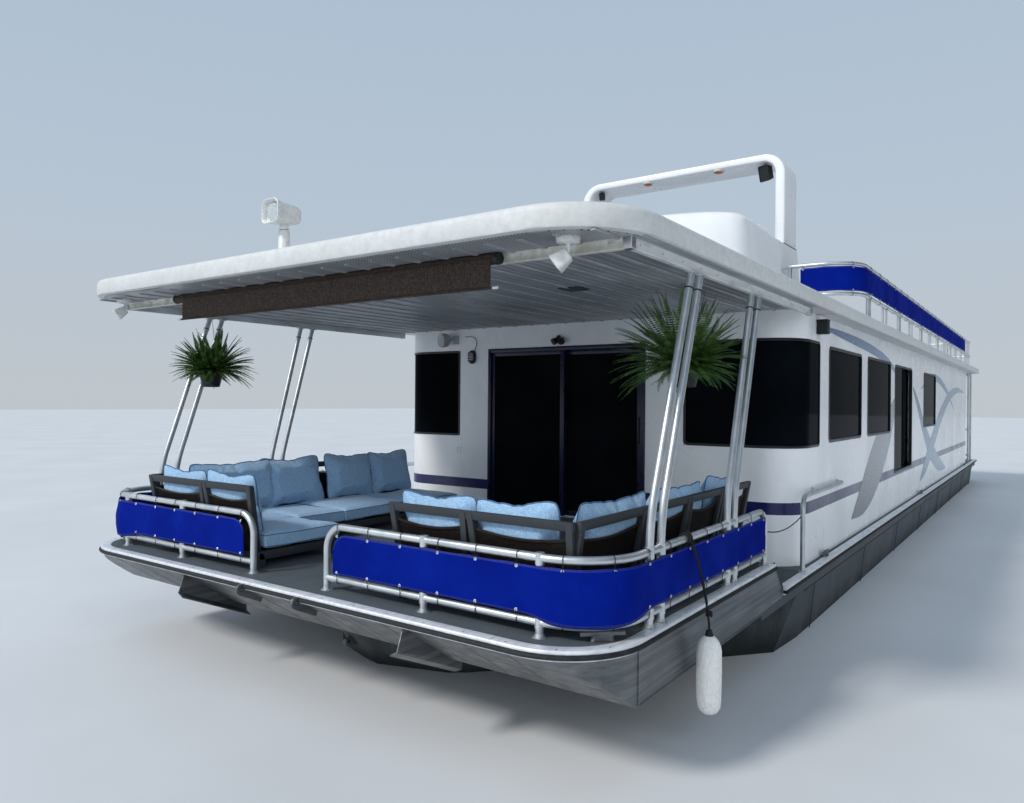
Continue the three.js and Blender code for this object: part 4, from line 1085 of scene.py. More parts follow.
# Glass filling an outline: rows across the height at each step along the wall
def wall_pane(piece, side, window, depth, finish, thick=0.005):
    a0, a1, z0, z1, radius = window
    steps = [a0 + (a1 - a0) * k / 48 for k in range(49)]
    fine = [a0 + radius * (1 - math.cos(math.radians(15 * k))) for k in range(7)]
    steps = sorted(set(fine + [a for a in steps if a0 + radius < a < a1 - radius]
                       + [a0 + a1 - f for f in fine]))
    rings = []
    for a in steps:
        edge = min(a - a0, a1 - a)
        drop = 0.0
        if edge < radius:
            drop = radius - math.sqrt(max(radius ** 2 - (radius - edge) ** 2, 0.0))
        drop = min(drop, radius - 0.001)
        low, high = z0 + drop, z1 - drop
        rings.append([on_wall(side, a, low, -depth), on_wall(side, a, high, -depth),
                      on_wall(side, a, high, -depth - thick), on_wall(side, a, low, -depth - thick)])
    piece.skin(rings, finish)


def make_cabin_walls():
    for node in ("cabin_front", "cabin_side_port", "cabin_side_starboard", "cabin_rear"):
        wall = Piece(f"{node}_wall")
        wall.copy_node(node, STRIPED_GELCOAT)
        wall.finish(replaces=[node], smooth=30, modifiers=[
            ("BEVEL", {"width": 0.003, "segments": 2, "limit_method": "ANGLE",
                       "angle_limit": math.radians(50)}),
            ("WEIGHTED_NORMAL", {"keep_sharp": True}),
        ])


CORNER_WINDOWS = {
    "port": (1, (1.44, along_side(4.89), 1.77, 2.85, 0.05)),
    "starboard": (-1, (1.595, along_side(4.89), 1.77, 2.85, 0.05)),
}
SIDE_WINDOWS = [
    (along_side(5.28), along_side(6.99), 1.79, 2.835, 0.07),
    (along_side(7.37), along_side(9.08), 1.79, 2.835, 0.07),
    (along_side(12.59), along_side(14.33), 1.79, 2.815, 0.07),
]
SIDE_DOOR = (along_side(9.45), along_side(11.16), 1.155, 2.823, 0.07)


def shrunk(window, by, radius):
    a0, a1, z0, z1 = window[:4]
    return a0 + by, a1 - by, z0 + by, z1 - by, radius


def make_windows():
    for name, (side, window) in CORNER_WINDOWS.items():
        pane = Piece(f"corner_window_{name}")
        wall_frame(pane, side, window, 0.022, 0.006, 0.02, BLACK_FRAME)
        wall_pane(pane, side, shrunk(window, 0.01, 0.045), 0.004, GLASS)
        pane.finish(replaces=[f"front_glass_{name}"], smooth=40)
    for name, side in SIDES:
        panes = Piece(f"side_windows_{name}")
        for window in SIDE_WINDOWS:
            wall_frame(panes, side, window, 0.03, 0.008, 0.03, BLACK_FRAME)
            wall_pane(panes, side, shrunk(window, 0.02, 0.05), 0.012, GLASS)
        wall_frame(panes, side, SIDE_DOOR, 0.03, 0.008, 0.04, BLACK_FRAME)
        a0, a1, z0, z1 = SIDE_DOOR[:4]
        half = (a0 + a1) / 2
        wall_pane(panes, side, (a0 + 0.02, half + 0.028, z0 + 0.02, z1 - 0.02, 0.05), 0.016, GLASS)
        wall_frame(panes, side, (half - 0.01, half + 0.028, z0 + 0.03, z1 - 0.03, 0.004),
                   0.018, -0.008, 0.03, BLACK_FRAME)
        panes.finish(replaces=[f"side_glass_{name}"], smooth=40)
        door = Piece(f"side_door_leaf_{name}")
        y0, y1 = 10.275, 11.18
        x0, x1 = sorted((side * (CABIN_SIDE - WALL - 0.066), side * (CABIN_SIDE - WALL - 0.034)))
        z0, z1 = 1.1396, 2.833
        for b0, b1, c0, c1 in ((y0, y0 + 0.05, z0, z1), (y1 - 0.05, y1, z0, z1),
                               (y0, y1, z0, z0 + 0.06), (y0, y1, z1 - 0.05, z1)):
            door.block(x0, x1, b0, b1, c0, c1, BLACK_FRAME, 0.003)
        door.block(x0 + 0.011, x1 - 0.011, y0 + 0.045, y1 - 0.045, z0 + 0.055, z1 - 0.045, GLASS, 0)
        pull = side * (CABIN_SIDE - WALL - 0.034)
        low, high = sorted((pull, pull + side * 0.012))
        door.block(low, high, y0 + 0.006, y0 + 0.03, 1.75, 2.0, BLACK_PLASTIC, 0.003)
        door.finish(body=f"side_door_{name}", replaces=[f"side_door_{name}"])


# A door leaf of square profile with its pane; y is the outer face
def door_leaf(piece, x0, x1, y, z0, z1, frame_finish, deep=0.034):
    width = 0.055
    for a0, a1, b0, b1 in ((x0, x0 + width, z0, z1), (x1 - width, x1, z0, z1),
                           (x0 + width, x1 - width, z0, z0 + width + 0.02),
                           (x0 + width, x1 - width, z1 - width, z1)):
        piece.block(a0, a1, y, y + deep, b0, b1, frame_finish, 0.003)
    piece.block(x0 + width - 0.01, x1 - width + 0.01, y + 0.012, y + 0.022, z0 + width, z1 - width + 0.01,
                GLASS, 0)


# A surround of three bars round a doorway
def door_surround(piece, x0, x1, z0, z1, y0, y1, wide, finish):
    for a0, a1 in ((x0 - wide, x0 + 0.012), (x1 - 0.012, x1 + wide)):
        piece.block(a0, a1, y0, y1, z0 - 0.012, z1 + wide, finish, 0.004)
    piece.block(x0, x1, y0, y1, z1 - 0.012, z1 + wide, finish, 0.004)


DOOR_HEAD = 2.823


def make_doors():
    left, right = PATIO
    middle = (left + right) / 2
    low, high = 0.882, DOOR_HEAD - 0.0023
    fixed = Piece("patio_door_frame_and_fixed_leaf")
    door_leaf(fixed, left + 0.002, middle + 0.03, CABIN_FRONT + 0.012, low - 0.004, high, NAVY_FRAME)
    door_surround(fixed, left, right, DECK + 0.004, DOOR_HEAD, CABIN_FRONT - 0.012, CABIN_FRONT + 0.008,
                  0.035, NAVY_FRAME)
    fixed.block(left + 0.001, right - 0.001, CABIN_FRONT + 0.004, CABIN_FRONT + 0.058, DECK + 0.0005,
                low - 0.002, STRIP_VINYL, 0.002)
    for y in (0.052, 0.066):
        fixed.block(left + 0.01, right - 0.01, CABIN_FRONT + y, CABIN_FRONT + y + 0.004, low - 0.004,
                    low + 0.004, STRIP_VINYL, 0.001)
    fixed.finish(replaces=["front_door_fixed"])
    sliding = Piece("patio_door_sliding_leaf")
    y = CABIN_FRONT + WALL + 0.006
    door_leaf(sliding, middle - 0.03, right - 0.04, y, DECK + 0.0008, high - 0.006, NAVY_FRAME)
    sliding.block(right - 0.085, right - 0.06, y - 0.012, y + 0.002, 1.75, 2.05, BLACK_PLASTIC, 0.004)
    sliding.finish(body="front_door", replaces=["front_door"])

    rear = Piece("rear_door_frame_and_fixed_leaf")
    door_leaf(rear, -0.878, 0.03, CABIN_REAR - 0.048, low - 0.004, high, NAVY_FRAME)
    door_surround(rear, -0.88, 0.88, DECK + 0.004, DOOR_HEAD, CABIN_REAR - 0.008, CABIN_REAR + 0.01, 0.035,
                  NAVY_FRAME)
    rear.block(-0.879, 0.879, CABIN_REAR - 0.054, CABIN_REAR - 0.006, DECK + 0.0005, low - 0.002,
               STRIP_VINYL, 0.002)
    rear.finish(replaces=["rear_door_fixed"])
    sliding = Piece("rear_door_sliding_leaf")
    y = CABIN_REAR - WALL - 0.05
    door_leaf(sliding, -0.03, 0.84, y, DECK + 0.0008, high - 0.006, NAVY_FRAME)
    sliding.block(0.79, 0.815, y + 0.03, y + 0.046, 1.75, 2.05, BLACK_PLASTIC, 0.004)
    sliding.finish(body="rear_door", replaces=["rear_door"])


make_cabin_walls()
make_windows()
make_doors()


# Curved film bands on the cabin sides, a generic design in blue and bronze greys

def smooth_run(points, step=0.02):
    vectors = [Vector(p) for p in points]
    fine = []
    for i in range(len(vectors) - 1):
        p0, p1 = vectors[max(i - 1, 0)], vectors[i]
        p2, p3 = vectors[i + 1], vectors[min(i + 2, len(vectors) - 1)]
        count = max(2, int((p2 - p1).length / step))
        for k in range(count):
            t = k / count
            fine.append(0.5 * ((2 * p1) + (p2 - p0) * t + (2 * p0 - 5 * p1 + 4 * p2 - p3) * t ** 2
                               + (3 * p1 - p0 - 3 * p2 + p3) * t ** 3))
    fine.append(vectors[-1])
    return fine


def in_window(along, z, margin):
    return any(a0 + margin < along < a1 - margin and z0 + margin < z < z1 - margin
               for a0, a1, z0, z1, _ in SIDE_WINDOWS + [SIDE_DOOR])


# Centre points are (y, z, half width); cells that fall in a window are left out
def film_band(piece, side, centre, finish, out):
    run = smooth_run(centre)
    across = 14
    grid = []
    for i, p in enumerate(run):
        before, after = run[max(i - 1, 0)], run[min(i + 1, len(run) - 1)]
        lead = Vector((after.x - before.x, after.y - before.y)).normalized()
        row = []
        for k in range(across + 1):
            reach = p.z * (2 * k / across - 1)
            row.append((p.x - lead.y * reach, p.y + lead.x * reach))
        grid.append(row)
    points = [on_wall(side, along_side(y), z, out) for row in grid for y, z in row]
    faces = []
    for i in range(len(grid) - 1):
        for k in range(across):
            y = (grid[i][k][0] + grid[i + 1][k + 1][0]) / 2
            z = (grid[i][k][1] + grid[i + 1][k + 1][1]) / 2
            if not in_window(along_side(y), z, 0.012):
                a = i * (across + 1) + k
                cell = (a, a + 1, a + across + 2, a + across + 1)
                faces.append(cell if side > 0 else tuple(reversed(cell)))
    piece.faces(points, faces, finish)


def make_films():
    # Each film's second colour is a painted reflection of the sky, reached aft
    slate = make_film("slate_blue_vinyl_film", "5A6E9C", "8FA3C2", 4.8, 9.4)
    bronze = make_film("bronze_grey_vinyl_film", "76716E", "9AA3AC", 6.0, 9.6)
    pale = make_film("pale_blue_vinyl_film", "6E8BA4", "A9BCCB", 11.0, 20.0)
    runs = (
        ([(4.85, 3.02, 0.006), (5.6, 3.01, 0.035), (6.6, 2.985, 0.055), (7.6, 2.945, 0.06),
          (8.6, 2.87, 0.055), (9.3, 2.76, 0.04), (9.75, 2.6, 0.012)], slate, 0.0012),
        ([(9.9, 2.45, 0.02), (9.3, 2.1, 0.16), (8.75, 1.78, 0.3), (7.9, 1.35, 0.34),
          (7.15, 1.02, 0.22), (6.45, 0.82, 0.008)], bronze, 0.0018),
        ([(11.3, 2.5, 0.03), (11.9, 2.2, 0.09), (12.7, 1.75, 0.14), (13.6, 1.35, 0.19),
          (14.8, 1.0, 0.16), (16.2, 0.8, 0.01)], pale, 0.0012),
        ([(12.2, 0.82, 0.01), (13.0, 1.1, 0.15), (14.0, 1.5, 0.18), (15.3, 2.0, 0.15),
          (16.9, 2.42, 0.11), (18.6, 2.58, 0.07), (20.3, 2.55, 0.01)], pale, 0.0024),
        ([(12.3, 2.5, 0.01), (13.4, 2.75, 0.05), (14.8, 2.74, 0.07), (16.4, 2.5, 0.06),
          (17.8, 2.1, 0.01)], slate, 0.0018),
    )
    for name, side in SIDES:
        piece = Piece(f"side_film_bands_{name}")
        for run in runs:
            film_band(piece, side, *run)
        piece.finish(outward=False)


make_films()


# Roof: one shell with a rounded fascia, and the ribbed ceiling under it

STAIR_HOLE = [(-1.93, 20.96), (-1.12, 20.96), (-1.12, 22.23), (-1.93, 22.23)]


def roof_outline(inset):
    return rounded(-ROOF_SIDE + inset, ROOF_SIDE - inset, ROOF_FRONT + inset, ROOF_REAR - inset,
                   ROOF_RADIUS - inset, 0.2 - inset * 0.5, 18)


def make_roof():
    roof = Piece("roof_shell")
    profile = [(0.05, 0.0), (0.018, 0.0), (0.006, 0.004), (0.0, 0.016), (0.0, 0.098), (0.004, 0.118),
               (0.014, 0.134), (0.03, 0.142), (0.055, 0.145)]
    rings = [[(x, y, ROOF_UNDER + up) for x, y in roof_outline(inset)] for inset, up in profile]
    roof.skin(rings, ROOF_GELCOAT, caps=False)
    hole = [[(x, y, z) for x, y in STAIR_HOLE] for z in (ROOF_TOP, ROOF_UNDER)]
    roof.skin(hole, ROOF_GELCOAT, caps=False)
    for z, ring in ((ROOF_TOP, rings[-1]), (ROOF_UNDER, rings[0])):
        loops = [[Vector(p) for p in ring], [Vector((x, y, z)) for x, y in reversed(STAIR_HOLE)]]
        roof.faces(loops[0] + loops[1], [tuple(face) for face in tessellate_polygon(loops)], ROOF_GELCOAT)
    bmesh.ops.remove_doubles(roof.mesh, verts=roof.mesh.verts, dist=0.00001)
    roof.finish(replaces=["roof"], smooth=45)


# White enamel ceiling whose front panels are punched with vent holes, drawn at 26 mm so that they show; the
# holes are not cut but painted dark, as painted shade inside them
def make_ceiling_finish():
    made, tree, shader, place = new_finish("soffit_enamel_with_painted_hole_shade", "9A9D9F", 0.5)
    cells = []
    for axis in "XY":
        cell = maths(tree, "FRACT", maths(tree, "MULTIPLY", heights(tree, place, axis), 38.0))
        cells.append(maths(tree, "POWER", maths(tree, "SUBTRACT", cell, 0.5), 2.0))
    hole = maths(tree, "LESS_THAN", maths(tree, "ADD", *cells), 0.055)
    front = maths(tree, "LESS_THAN", heights(tree, place, "Y"), 1.35 + SHIFT)
    stain = speckle(tree, place, 420, 5, (1, 0.3, 1))
    tone = ramp(tree, stain, (0.3, "808385"), (0.65, "A4A6A8"))
    # Vent holes painted near black: painted shade inside holes that are not cut
    vent = maths(tree, "MULTIPLY", hole, front)
    set_inputs(tree, shader, {"Base Color": blend_colours(tree, vent, tone, "2A2C2E"),
                              "Roughness": ramp(tree, stain, (0.3, 0.5), (0.7, 0.3))})
    return made


# Ribs along the ceiling at an even pitch: one pressed rib is copied across the width
def rib_tree():
    tree, start = begin_tree("ribs_across_a_ceiling", (("Count", "Int"), ("Pitch", "Float")))
    pitch = add_node(tree, "ShaderNodeCombineXYZ", {"X": start["Pitch"]})
    row = add_node(tree, "GeometryNodeMeshLine", {"Count": start["Count"], "Offset": pitch.outputs[0]})
    return end_tree(tree, start, {"Points": row.outputs["Mesh"], "Instance": start["Geometry"]})


def make_ceiling():
    low = ROOF_UNDER - 0.006
    soffit_with_painted_hole_shade = make_ceiling_finish()
    ceiling = Piece("porch_ceiling")
    ceiling.prism(rounded(-2.74, 2.74, 0.0, 4.1, 0.5, 0.01, 12), "z", low, ROOF_UNDER + 0.001, soffit_with_painted_hole_shade)
    ceiling.finish()
    ribs = rib_tree()
    for name, across, deep, start, finish, count, pitch in (
        ("ribs", (-2.64, -2.636, -2.61, -2.606), 0.009, 0.09, SOFFIT, 23, 0.238),
        ("grooves", (-2.56, -2.558, -2.546, -2.544), 0.003, 0.4, soffit_with_painted_hole_shade, 68, 0.0793),
    ):
        rib = Piece(f"porch_ceiling_{name}")
        rib.prism(list(zip(across, (low + 0.001, low - deep, low - deep, low + 0.001))), "y",
                  start, 4.095, finish)
        grown(rib.finish(), ribs, {"Count": count, "Pitch": pitch, "Finish": finish})


# Curtain track: a C profile across the front and down both sides, with its end clamps
def make_track():
    track = Piece("curtain_track")
    top, low = ROOF_UNDER - 0.0003, ROOF_UNDER - TRACK_HIGH
    section = [(0.0, low - top), (0.038, low - top), (0.04, low - top + 0.004), (0.034, low - top + 0.018),
               (0.034, -0.02), (0.04, -0.012), (0.04, 0.0), (0.0, 0.0)]
    front = [(-RAIL_SIDE - 0.04, TRACK_FRONT + 0.04), (RAIL_SIDE + 0.04, TRACK_FRONT + 0.04)]
    track.sweep(front, section, TRACK_ENAMEL, z=top)
    for side in (-1, 1):
        run = [(side * RAIL_SIDE, TRACK_FRONT + 0.045), (side * RAIL_SIDE, 4.2)]
        if side < 0:
            run.reverse()
        track.sweep(run, section, STRIP_VINYL, z=top)
        for y in (TRACK_FRONT + 0.02, 4.17):
            x0, x1 = sorted((side * (RAIL_SIDE - 0.012), side * (RAIL_SIDE + 0.046)))
            track.block(x0, x1, y - 0.03, y + 0.03, low - 0.003, top, SCREW_STEEL, 0.004)
    track.finish(replaces=["screen_track"], smooth=40)
    runs = [([(-RAIL_SIDE + 0.1, TRACK_FRONT - 0.001, low + 0.04),
              (RAIL_SIDE - 0.1, TRACK_FRONT - 0.001, low + 0.04)],
             (0, -1, 0))]
    for side in (-1, 1):
        x = side * (RAIL_SIDE + 0.035)
        runs.append(([(x, TRACK_FRONT + 0.12, low + 0.034), (x, 4.1, low + 0.034)], (side, 0, 0)))
    screw_rows("curtain_track_screws", runs, SCREW_STEP, SCREW_RADIUS, SCREW_STEEL)


# Lamps, speakers and floodlights

def floodlight(name, x, y, turn):
    lamp = Piece(name)
    base = ROOF_UNDER - 0.0062
    lamp.lathe([(0.0, 0.0), (0.068, 0.0), (0.07, -0.006), (0.066, -0.03), (0.05, -0.038), (0.0, -0.04)],
               (x, y, base), (0, 0, 1), WHITE_PLASTIC, 28)
    knee = [(x, y, base - 0.036), (x, y, base - 0.075),
            (x + 0.02 * math.cos(turn), y + 0.02 * math.sin(turn), base - 0.1)]
    lamp.tube(bend(knee, [0.02], 6), 0.012, WHITE_PLASTIC, sides=12)
    heading = Vector((math.cos(turn), math.sin(turn), -0.75)).normalized()
    side = heading.cross(Vector((0, 0, 1))).normalized()
    above = side.cross(heading)
    centre = Vector((x + 0.03 * math.cos(turn), y + 0.03 * math.sin(turn), base - 0.12))
    rings = []
    for reach, wide, high in ((-0.045, 0.03, 0.025), (-0.04, 0.045, 0.036), (0.03, 0.062, 0.048),
                              (0.05, 0.066, 0.052), (0.054, 0.062, 0.048)):
        ring = [centre + heading * reach + side * a + above * b
                for a, b in rounded(-wide, wide, -high, high, 0.014, 0.014, 4)]
        rings.append(ring)
    lamp.skin(rings, WHITE_PLASTIC)
    face = [centre + heading * 0.0555 + side * a + above * b
            for a, b in rounded(-0.054, 0.054, -0.04, 0.04, 0.01, 0.01, 4)]
    back = [p - heading * 0.01 for p in face]
    lamp.skin([back, face], LAMP_LENS)
    lamp.finish()


def make_porch_lamps():
    floodlight("ceiling_floodlight_port", 2.395, 0.2, math.radians(205))
    floodlight("ceiling_floodlight_starboard", -2.42, 0.22, math.radians(250))
    vent = Piece("ceiling_courtesy_lamp")
    low = ROOF_UNDER - 0.006
    vent.prism(rounded(1.34, 1.54, 1.76, 1.96, 0.02, 0.02, 4), "z", low - 0.008, low + 0.001, DRIVE_PAINT,
               0.002)
    for y in [1.79 + 0.028 * k for k in range(6)]:
        vent.block(1.36, 1.52, y, y + 0.012, low - 0.012, low - 0.007, DRIVE_PAINT, 0.002)
    vent.finish()

    speaker = Piece("cabin_wall_speaker")
    x, z = -1.78, 2.985
    front = CABIN_FRONT - 0.001
    speaker.block(x + 0.09, x + 0.16, front - 0.03, front, z - 0.05, z + 0.06, SOFFIT, 0.006)
    speaker.tube([(x + 0.12, front - 0.02, z + 0.01), (x + 0.06, front - 0.07, z)], 0.01, SOFFIT)
    speaker.lathe([(0.0, -0.06), (0.06, -0.058), (0.085, -0.03), (0.092, 0.03), (0.088, 0.052),
                   (0.08, 0.054), (0.07, 0.05), (0.0, 0.058)], (x, front - 0.1, z), (-0.35, -1, -0.1),
                  SOFFIT, 28)
    speaker.finish()

    caged = Piece("caged_wall_lamp")
    x, z = -1.39, 2.765
    caged.prism(rounded(x - 0.055, x + 0.055, z - 0.085, z + 0.085, 0.05, 0.05, 6), "y", front - 0.022,
                front, BLACK_PLASTIC, 0.004)
    caged.lathe([(0.0, 0.06), (0.022, 0.055), (0.032, 0.03), (0.034, -0.04), (0.0, -0.05)],
                (x, front - 0.045, z), (0, 0, 1), LAMP_LENS, 18)
    for z1 in (-0.05, -0.018, 0.014, 0.046):
        arc = [(x + 0.048 * math.cos(a), front - 0.02 - 0.066 * math.sin(a), z + z1)
               for a in [math.pi * k / 12 for k in range(13)]]
        caged.tube(arc, 0.004, BLACK_PLASTIC, sides=8)
    rib = [(x, front - 0.02 - 0.068 * math.sin(a), z + 0.078 * math.cos(a))
           for a in [math.pi * k / 14 for k in range(15)]]
    caged.tube(rib, 0.004, BLACK_PLASTIC, sides=8)
    wire = smooth_run([(x + 0.03, front - 0.006, z + 0.08), (x + 0.07, front - 0.012, z + 0.17),
                       (x + 0.02, front - 0.01, z + 0.25), (x - 0.12, front - 0.008, z + 0.26)], 0.01)
    caged.tube(wire, 0.004, BLACK_PLASTIC, sides=8)
    caged.finish()

    lamp = Piece("lamp_over_the_door")
    x, z = -0.08, 2.925
    lamp.block(x - 0.045, x + 0.045, front - 0.03, front, z - 0.03, z + 0.03, BLACK_PLASTIC, 0.006)
    for side in (-1, 1):
        heading = Vector((side * 0.5, -0.8, -0.55))
        lamp.lathe([(0.0, -0.05), (0.022, -0.046), (0.034, -0.01), (0.042, 0.035), (0.04, 0.037),
                    (0.0, 0.028)],
                   (x + side * 0.04, front - 0.06, z - 0.006), heading, BLACK_PLASTIC, 18)
    lamp.lathe([(0.0, -0.02), (0.02, -0.018), (0.024, 0.014), (0.0, 0.024)], (x, front - 0.05, z + 0.036),
               (0, -0.6, 1), BLACK_PLASTIC, 14)
    lamp.finish()

    for name, side in SIDES:
        coach = Piece(f"coach_lamp_{name}")
        centre = on_wall(side, along_side(4.78), 3.0, 0.055)
        for wide, deep, low, high, bevel in ((0.055, 0.05, 2.925, 3.075, 0.006),
                                             (0.06, 0.055, 3.058, 3.068, 0.003),
                                             (0.06, 0.055, 2.932, 2.942, 0.003)):
            coach.block(centre.x - wide, centre.x + wide, centre.y - deep, centre.y + deep, low, high,
                        BLACK_PLASTIC, bevel)
        coach.finish()
    plates = Piece("small_wall_hooks")
    for x in (-1.62, -1.56):
        hook = [(x, front - 0.002, 1.62), (x, front - 0.02, 1.6), (x, front - 0.022, 1.565),
                (x, front - 0.006, 1.55)]
        plates.tube(bend(hook, [0.008, 0.008], 4), 0.0035, STAINLESS, sides=8)
    plates.finish()


make_roof()
make_ceiling()
make_track()
make_porch_lamps()


# Rails of bent tube, with flanges, clamps and canvas lacing

def collar(piece, centre, axis, radius, wide, finish):
    piece.lathe([(radius, -wide), (radius + 0.004, -wide), (radius + 0.004, wide), (radius, wide)],
                centre, axis, finish, 16)


def flange(piece, x, y, z, radius=0.042):
    piece.lathe([(0.0, 0.0), (radius, 0.0), (radius, 0.005), (radius * 0.72, 0.009), (radius * 0.66, 0.022),
                 (0.0, 0.024)], (x, y, z), (0, 0, 1), STAINLESS, 20)
    for k in range(4):
        turn = math.pi / 4 + k * math.pi / 2
        piece.lathe([(0.0, 0.0), (0.006, 0.0), (0.005, 0.004), (0.0, 0.0045)],
                    (x + radius * 0.84 * math.cos(turn), y + radius * 0.84 * math.sin(turn), z + 0.0045),
                    (0, 0, 1), SCREW_STEEL, 8)


# Each pole's place along the rail, and the x and y of its head under the roof
POLES = [(0.715, 2.685, 1.285), (0.875, 2.685, 1.43), (2.02, 2.685, 2.47), (2.17, 2.685, 2.645)]


def pole_path(side, foot_y, roof_x, roof_y):
    foot = Vector((side * RAIL_SIDE, foot_y, DECK))
    knee = Vector((side * RAIL_SIDE, foot_y, POLE_KNEE))
    head = Vector((side * roof_x, roof_y, ROOF_UNDER))
    stop = knee.lerp(head, (ROOF_UNDER - TRACK_HIGH - 0.0006 - POLE_KNEE) / (ROOF_UNDER - POLE_KNEE))
    return bend([foot, knee, stop], [1.2], 12)


def make_bow_rail(name, side, gate):
    rail = Piece(f"bow_rail_tubes_{name}")
    top = bend([(side * gate, RAIL_FRONT, DECK), (side * gate, RAIL_FRONT, RAIL_TOP),
                (side * RAIL_SIDE, RAIL_FRONT, RAIL_TOP), (side * RAIL_SIDE, RAIL_END, RAIL_TOP),
                (side * RAIL_SIDE, RAIL_END, DECK)], [0.16, 0.4, 0.14], 14)
    low = bend([(side * gate, RAIL_FRONT, RAIL_LOW), (side * RAIL_SIDE, RAIL_FRONT, RAIL_LOW),
                (side * RAIL_SIDE, RAIL_END, RAIL_LOW)], [0.4], 14)
    rail.tube(top, PIPE, STAINLESS, sides=20)
    rail.tube(low, THIN_PIPE, STAINLESS, sides=16)
    feet = [(side * gate, RAIL_FRONT), (side * RAIL_SIDE, RAIL_END)]
    for x in (1.36, 2.24):
        rail.tube([(side * x, RAIL_FRONT, DECK), (side * x, RAIL_FRONT, RAIL_TOP)], THIN_PIPE, STAINLESS,
                  sides=16)
        feet.append((side * x, RAIL_FRONT))
    for foot_y, roof_x, roof_y in POLES:
        path = pole_path(side, foot_y, roof_x, roof_y)
        rail.tube(path, POLE, STAINLESS, sides=20)
        feet.append((side * RAIL_SIDE, foot_y))
        head = path[-1]
        lead = (path[-1] - path[-2]).normalized()
        collar(rail, head - lead * 0.12, lead, POLE, 0.004, RUBBER)
        rail.block(head.x - 0.03, head.x + 0.03, head.y - 0.045, head.y + 0.045, head.z - 0.006,
                   head.z + 0.002, STAINLESS, 0.002)
        for k in (-1, 1):
            rail.lathe([(0.0, -0.006), (0.007, -0.006), (0.006, -0.011), (0.0, -0.0115)],
                       (head.x, head.y + k * 0.034, head.z), (0, 0, 1), SCREW_STEEL, 8)
    for x, y in feet:
        flange(rail, x, y, DECK + 0.001)
    tees = [(x, y, THIN_PIPE) for x, y in feet[2:4]] + [(side * RAIL_SIDE, p[0], POLE) for p in POLES]
    for x, y, radius in tees:
        for z in (RAIL_LOW, RAIL_TOP - 0.006):
            collar(rail, (x, y, z), (0, 0, 1), radius + 0.0005, 0.034, STAINLESS)
    rail.finish(replaces=[f"bow_rail_{name}"], smooth=50)


def make_handrails():
    top, middle = HANDRAIL_TOP, 4.62
    for name, side in SIDES:
        rail = Piece(f"side_grab_rail_{name}")
        path = bend([(side * RAIL_SIDE, HANDRAIL_FRONT, LEDGE), (side * RAIL_SIDE, HANDRAIL_FRONT, top),
                     (side * RAIL_SIDE, HANDRAIL_END, top),
                     (side * (CABIN_SIDE + 0.001), HANDRAIL_END, top)],
                    [0.12, 0.03], 10)
        rail.tube(path, THIN_PIPE, STAINLESS, sides=16)
        flange(rail, side * RAIL_SIDE, HANDRAIL_FRONT, LEDGE + 0.001, 0.036)
        for y in (middle, HANDRAIL_END):
            rail.lathe([(0.0, 0.0), (0.034, 0.0), (0.034, 0.004), (0.022, 0.01), (0.0, 0.012)],
                       (side * (CABIN_SIDE + 0.0008), y, top), (side, 0, 0), STAINLESS, 18)
        rail.tube([(side * (CABIN_SIDE + 0.001), middle, top), (side * RAIL_SIDE, middle, top)], 0.012,
                  STAINLESS)
        rail.finish(replaces=[f"handrail_{name}"], smooth=50)


make_bow_rail("port", 1, GATE_PORT)
make_bow_rail("starboard", -1, GATE_STARBOARD)
make_handrails()


# Canvas: hemmed sheets laced to the rails, with eyelets, folds and slack places

# Plan path of a sheet at a given distance outside the rail's centre line
def canvas_path(side, x_start, x_side, y_front, y_end, radius, out, steps=16):
    corner = (x_side - radius, y_front + radius)
    reach = radius + out
    path = [Vector((side * x_start, y_front - out))]
    for k in range(steps + 1):
        turn = math.pi / 2 * k / steps
        path.append(Vector((side * (corner[0] + reach * math.sin(turn)),
                            corner[1] - reach * math.cos(turn))))
    path.append(Vector((side * (x_side + out), y_end)))
    return path


def fold(run, high, seed):
    soft = noise.noise(Vector((run * 2.3, high * 1.7, seed)))
    tight = noise.noise(Vector((run * 7.5 + high * 1.3, high * 3.0, seed + 9)))
    return 0.5 * soft + 0.35 * tight


# How far the lower edge hangs where the sheet is slack
SLACK = 0.045


# The sheet's upper corner at its gate end is rounded, and it hangs loose near slack_at
def make_canvas_sheet(name, node, side, path, z0, z1, gate_round, slack_at, seed, step=0.02):
    fine = spaced([Vector((p.x, p.y, 0)) for p in path], step)
    rows = 16
    sheet = Piece(name)
    points, uv = [], []
    length = run_length(fine)
    for i, p in enumerate(fine):
        before, after = fine[max(i - 1, 0)], fine[min(i + 1, len(fine) - 1)]
        run = (after - before).normalized()
        out = Vector((run.y, -run.x, 0)) * side
        along = length * i / (len(fine) - 1)
        top = z1
        if along < gate_round:
            top = z1 - gate_round + math.sqrt(max(gate_round ** 2 - (gate_round - along) ** 2, 0))
            top = max(top, z1 - gate_round * 0.85)
        near = math.exp(-((along - slack_at) / 0.33) ** 4)
        scallop = 0.005 * abs(math.sin(math.pi * along / 0.3))
        for k in range(rows + 1):
            t = k / rows
            hold = math.sin(math.pi * t)
            push = 0.009 * hold * fold(along, t, seed)
            push += 0.016 * near * hold * (1 + fold(along * 3, t, seed + 3)) + 0.012 * near * (1 - t)
            z = z0 + (top - z0) * t - SLACK * near * (1 - t) ** 2
            z += (scallop if k == 0 else 0) - (scallop if k == rows else 0)
            points.append(p + out * max(push, -0.001) + Vector((0, 0, z)))
            uv.append((along, z))
    sheet.faces(points, grid_faces(len(fine) - 1, rows), CANVAS, uv)
    # The hem is the outermost row, in its own finish
    hem = sheet.index(CANVAS_HEM)
    sheet.mesh.faces.ensure_lookup_table()
    for n, face in enumerate(sheet.mesh.faces):
        if n % rows in (0, rows - 1):
            face.material_index = hem
    made = sheet.finish(outward=False, replaces=[node], smooth=60, modifiers=[
        ("SOLIDIFY", {"thickness": 0.0035, "offset": -1.0 if side < 0 else 1.0}),
    ])
    return fine


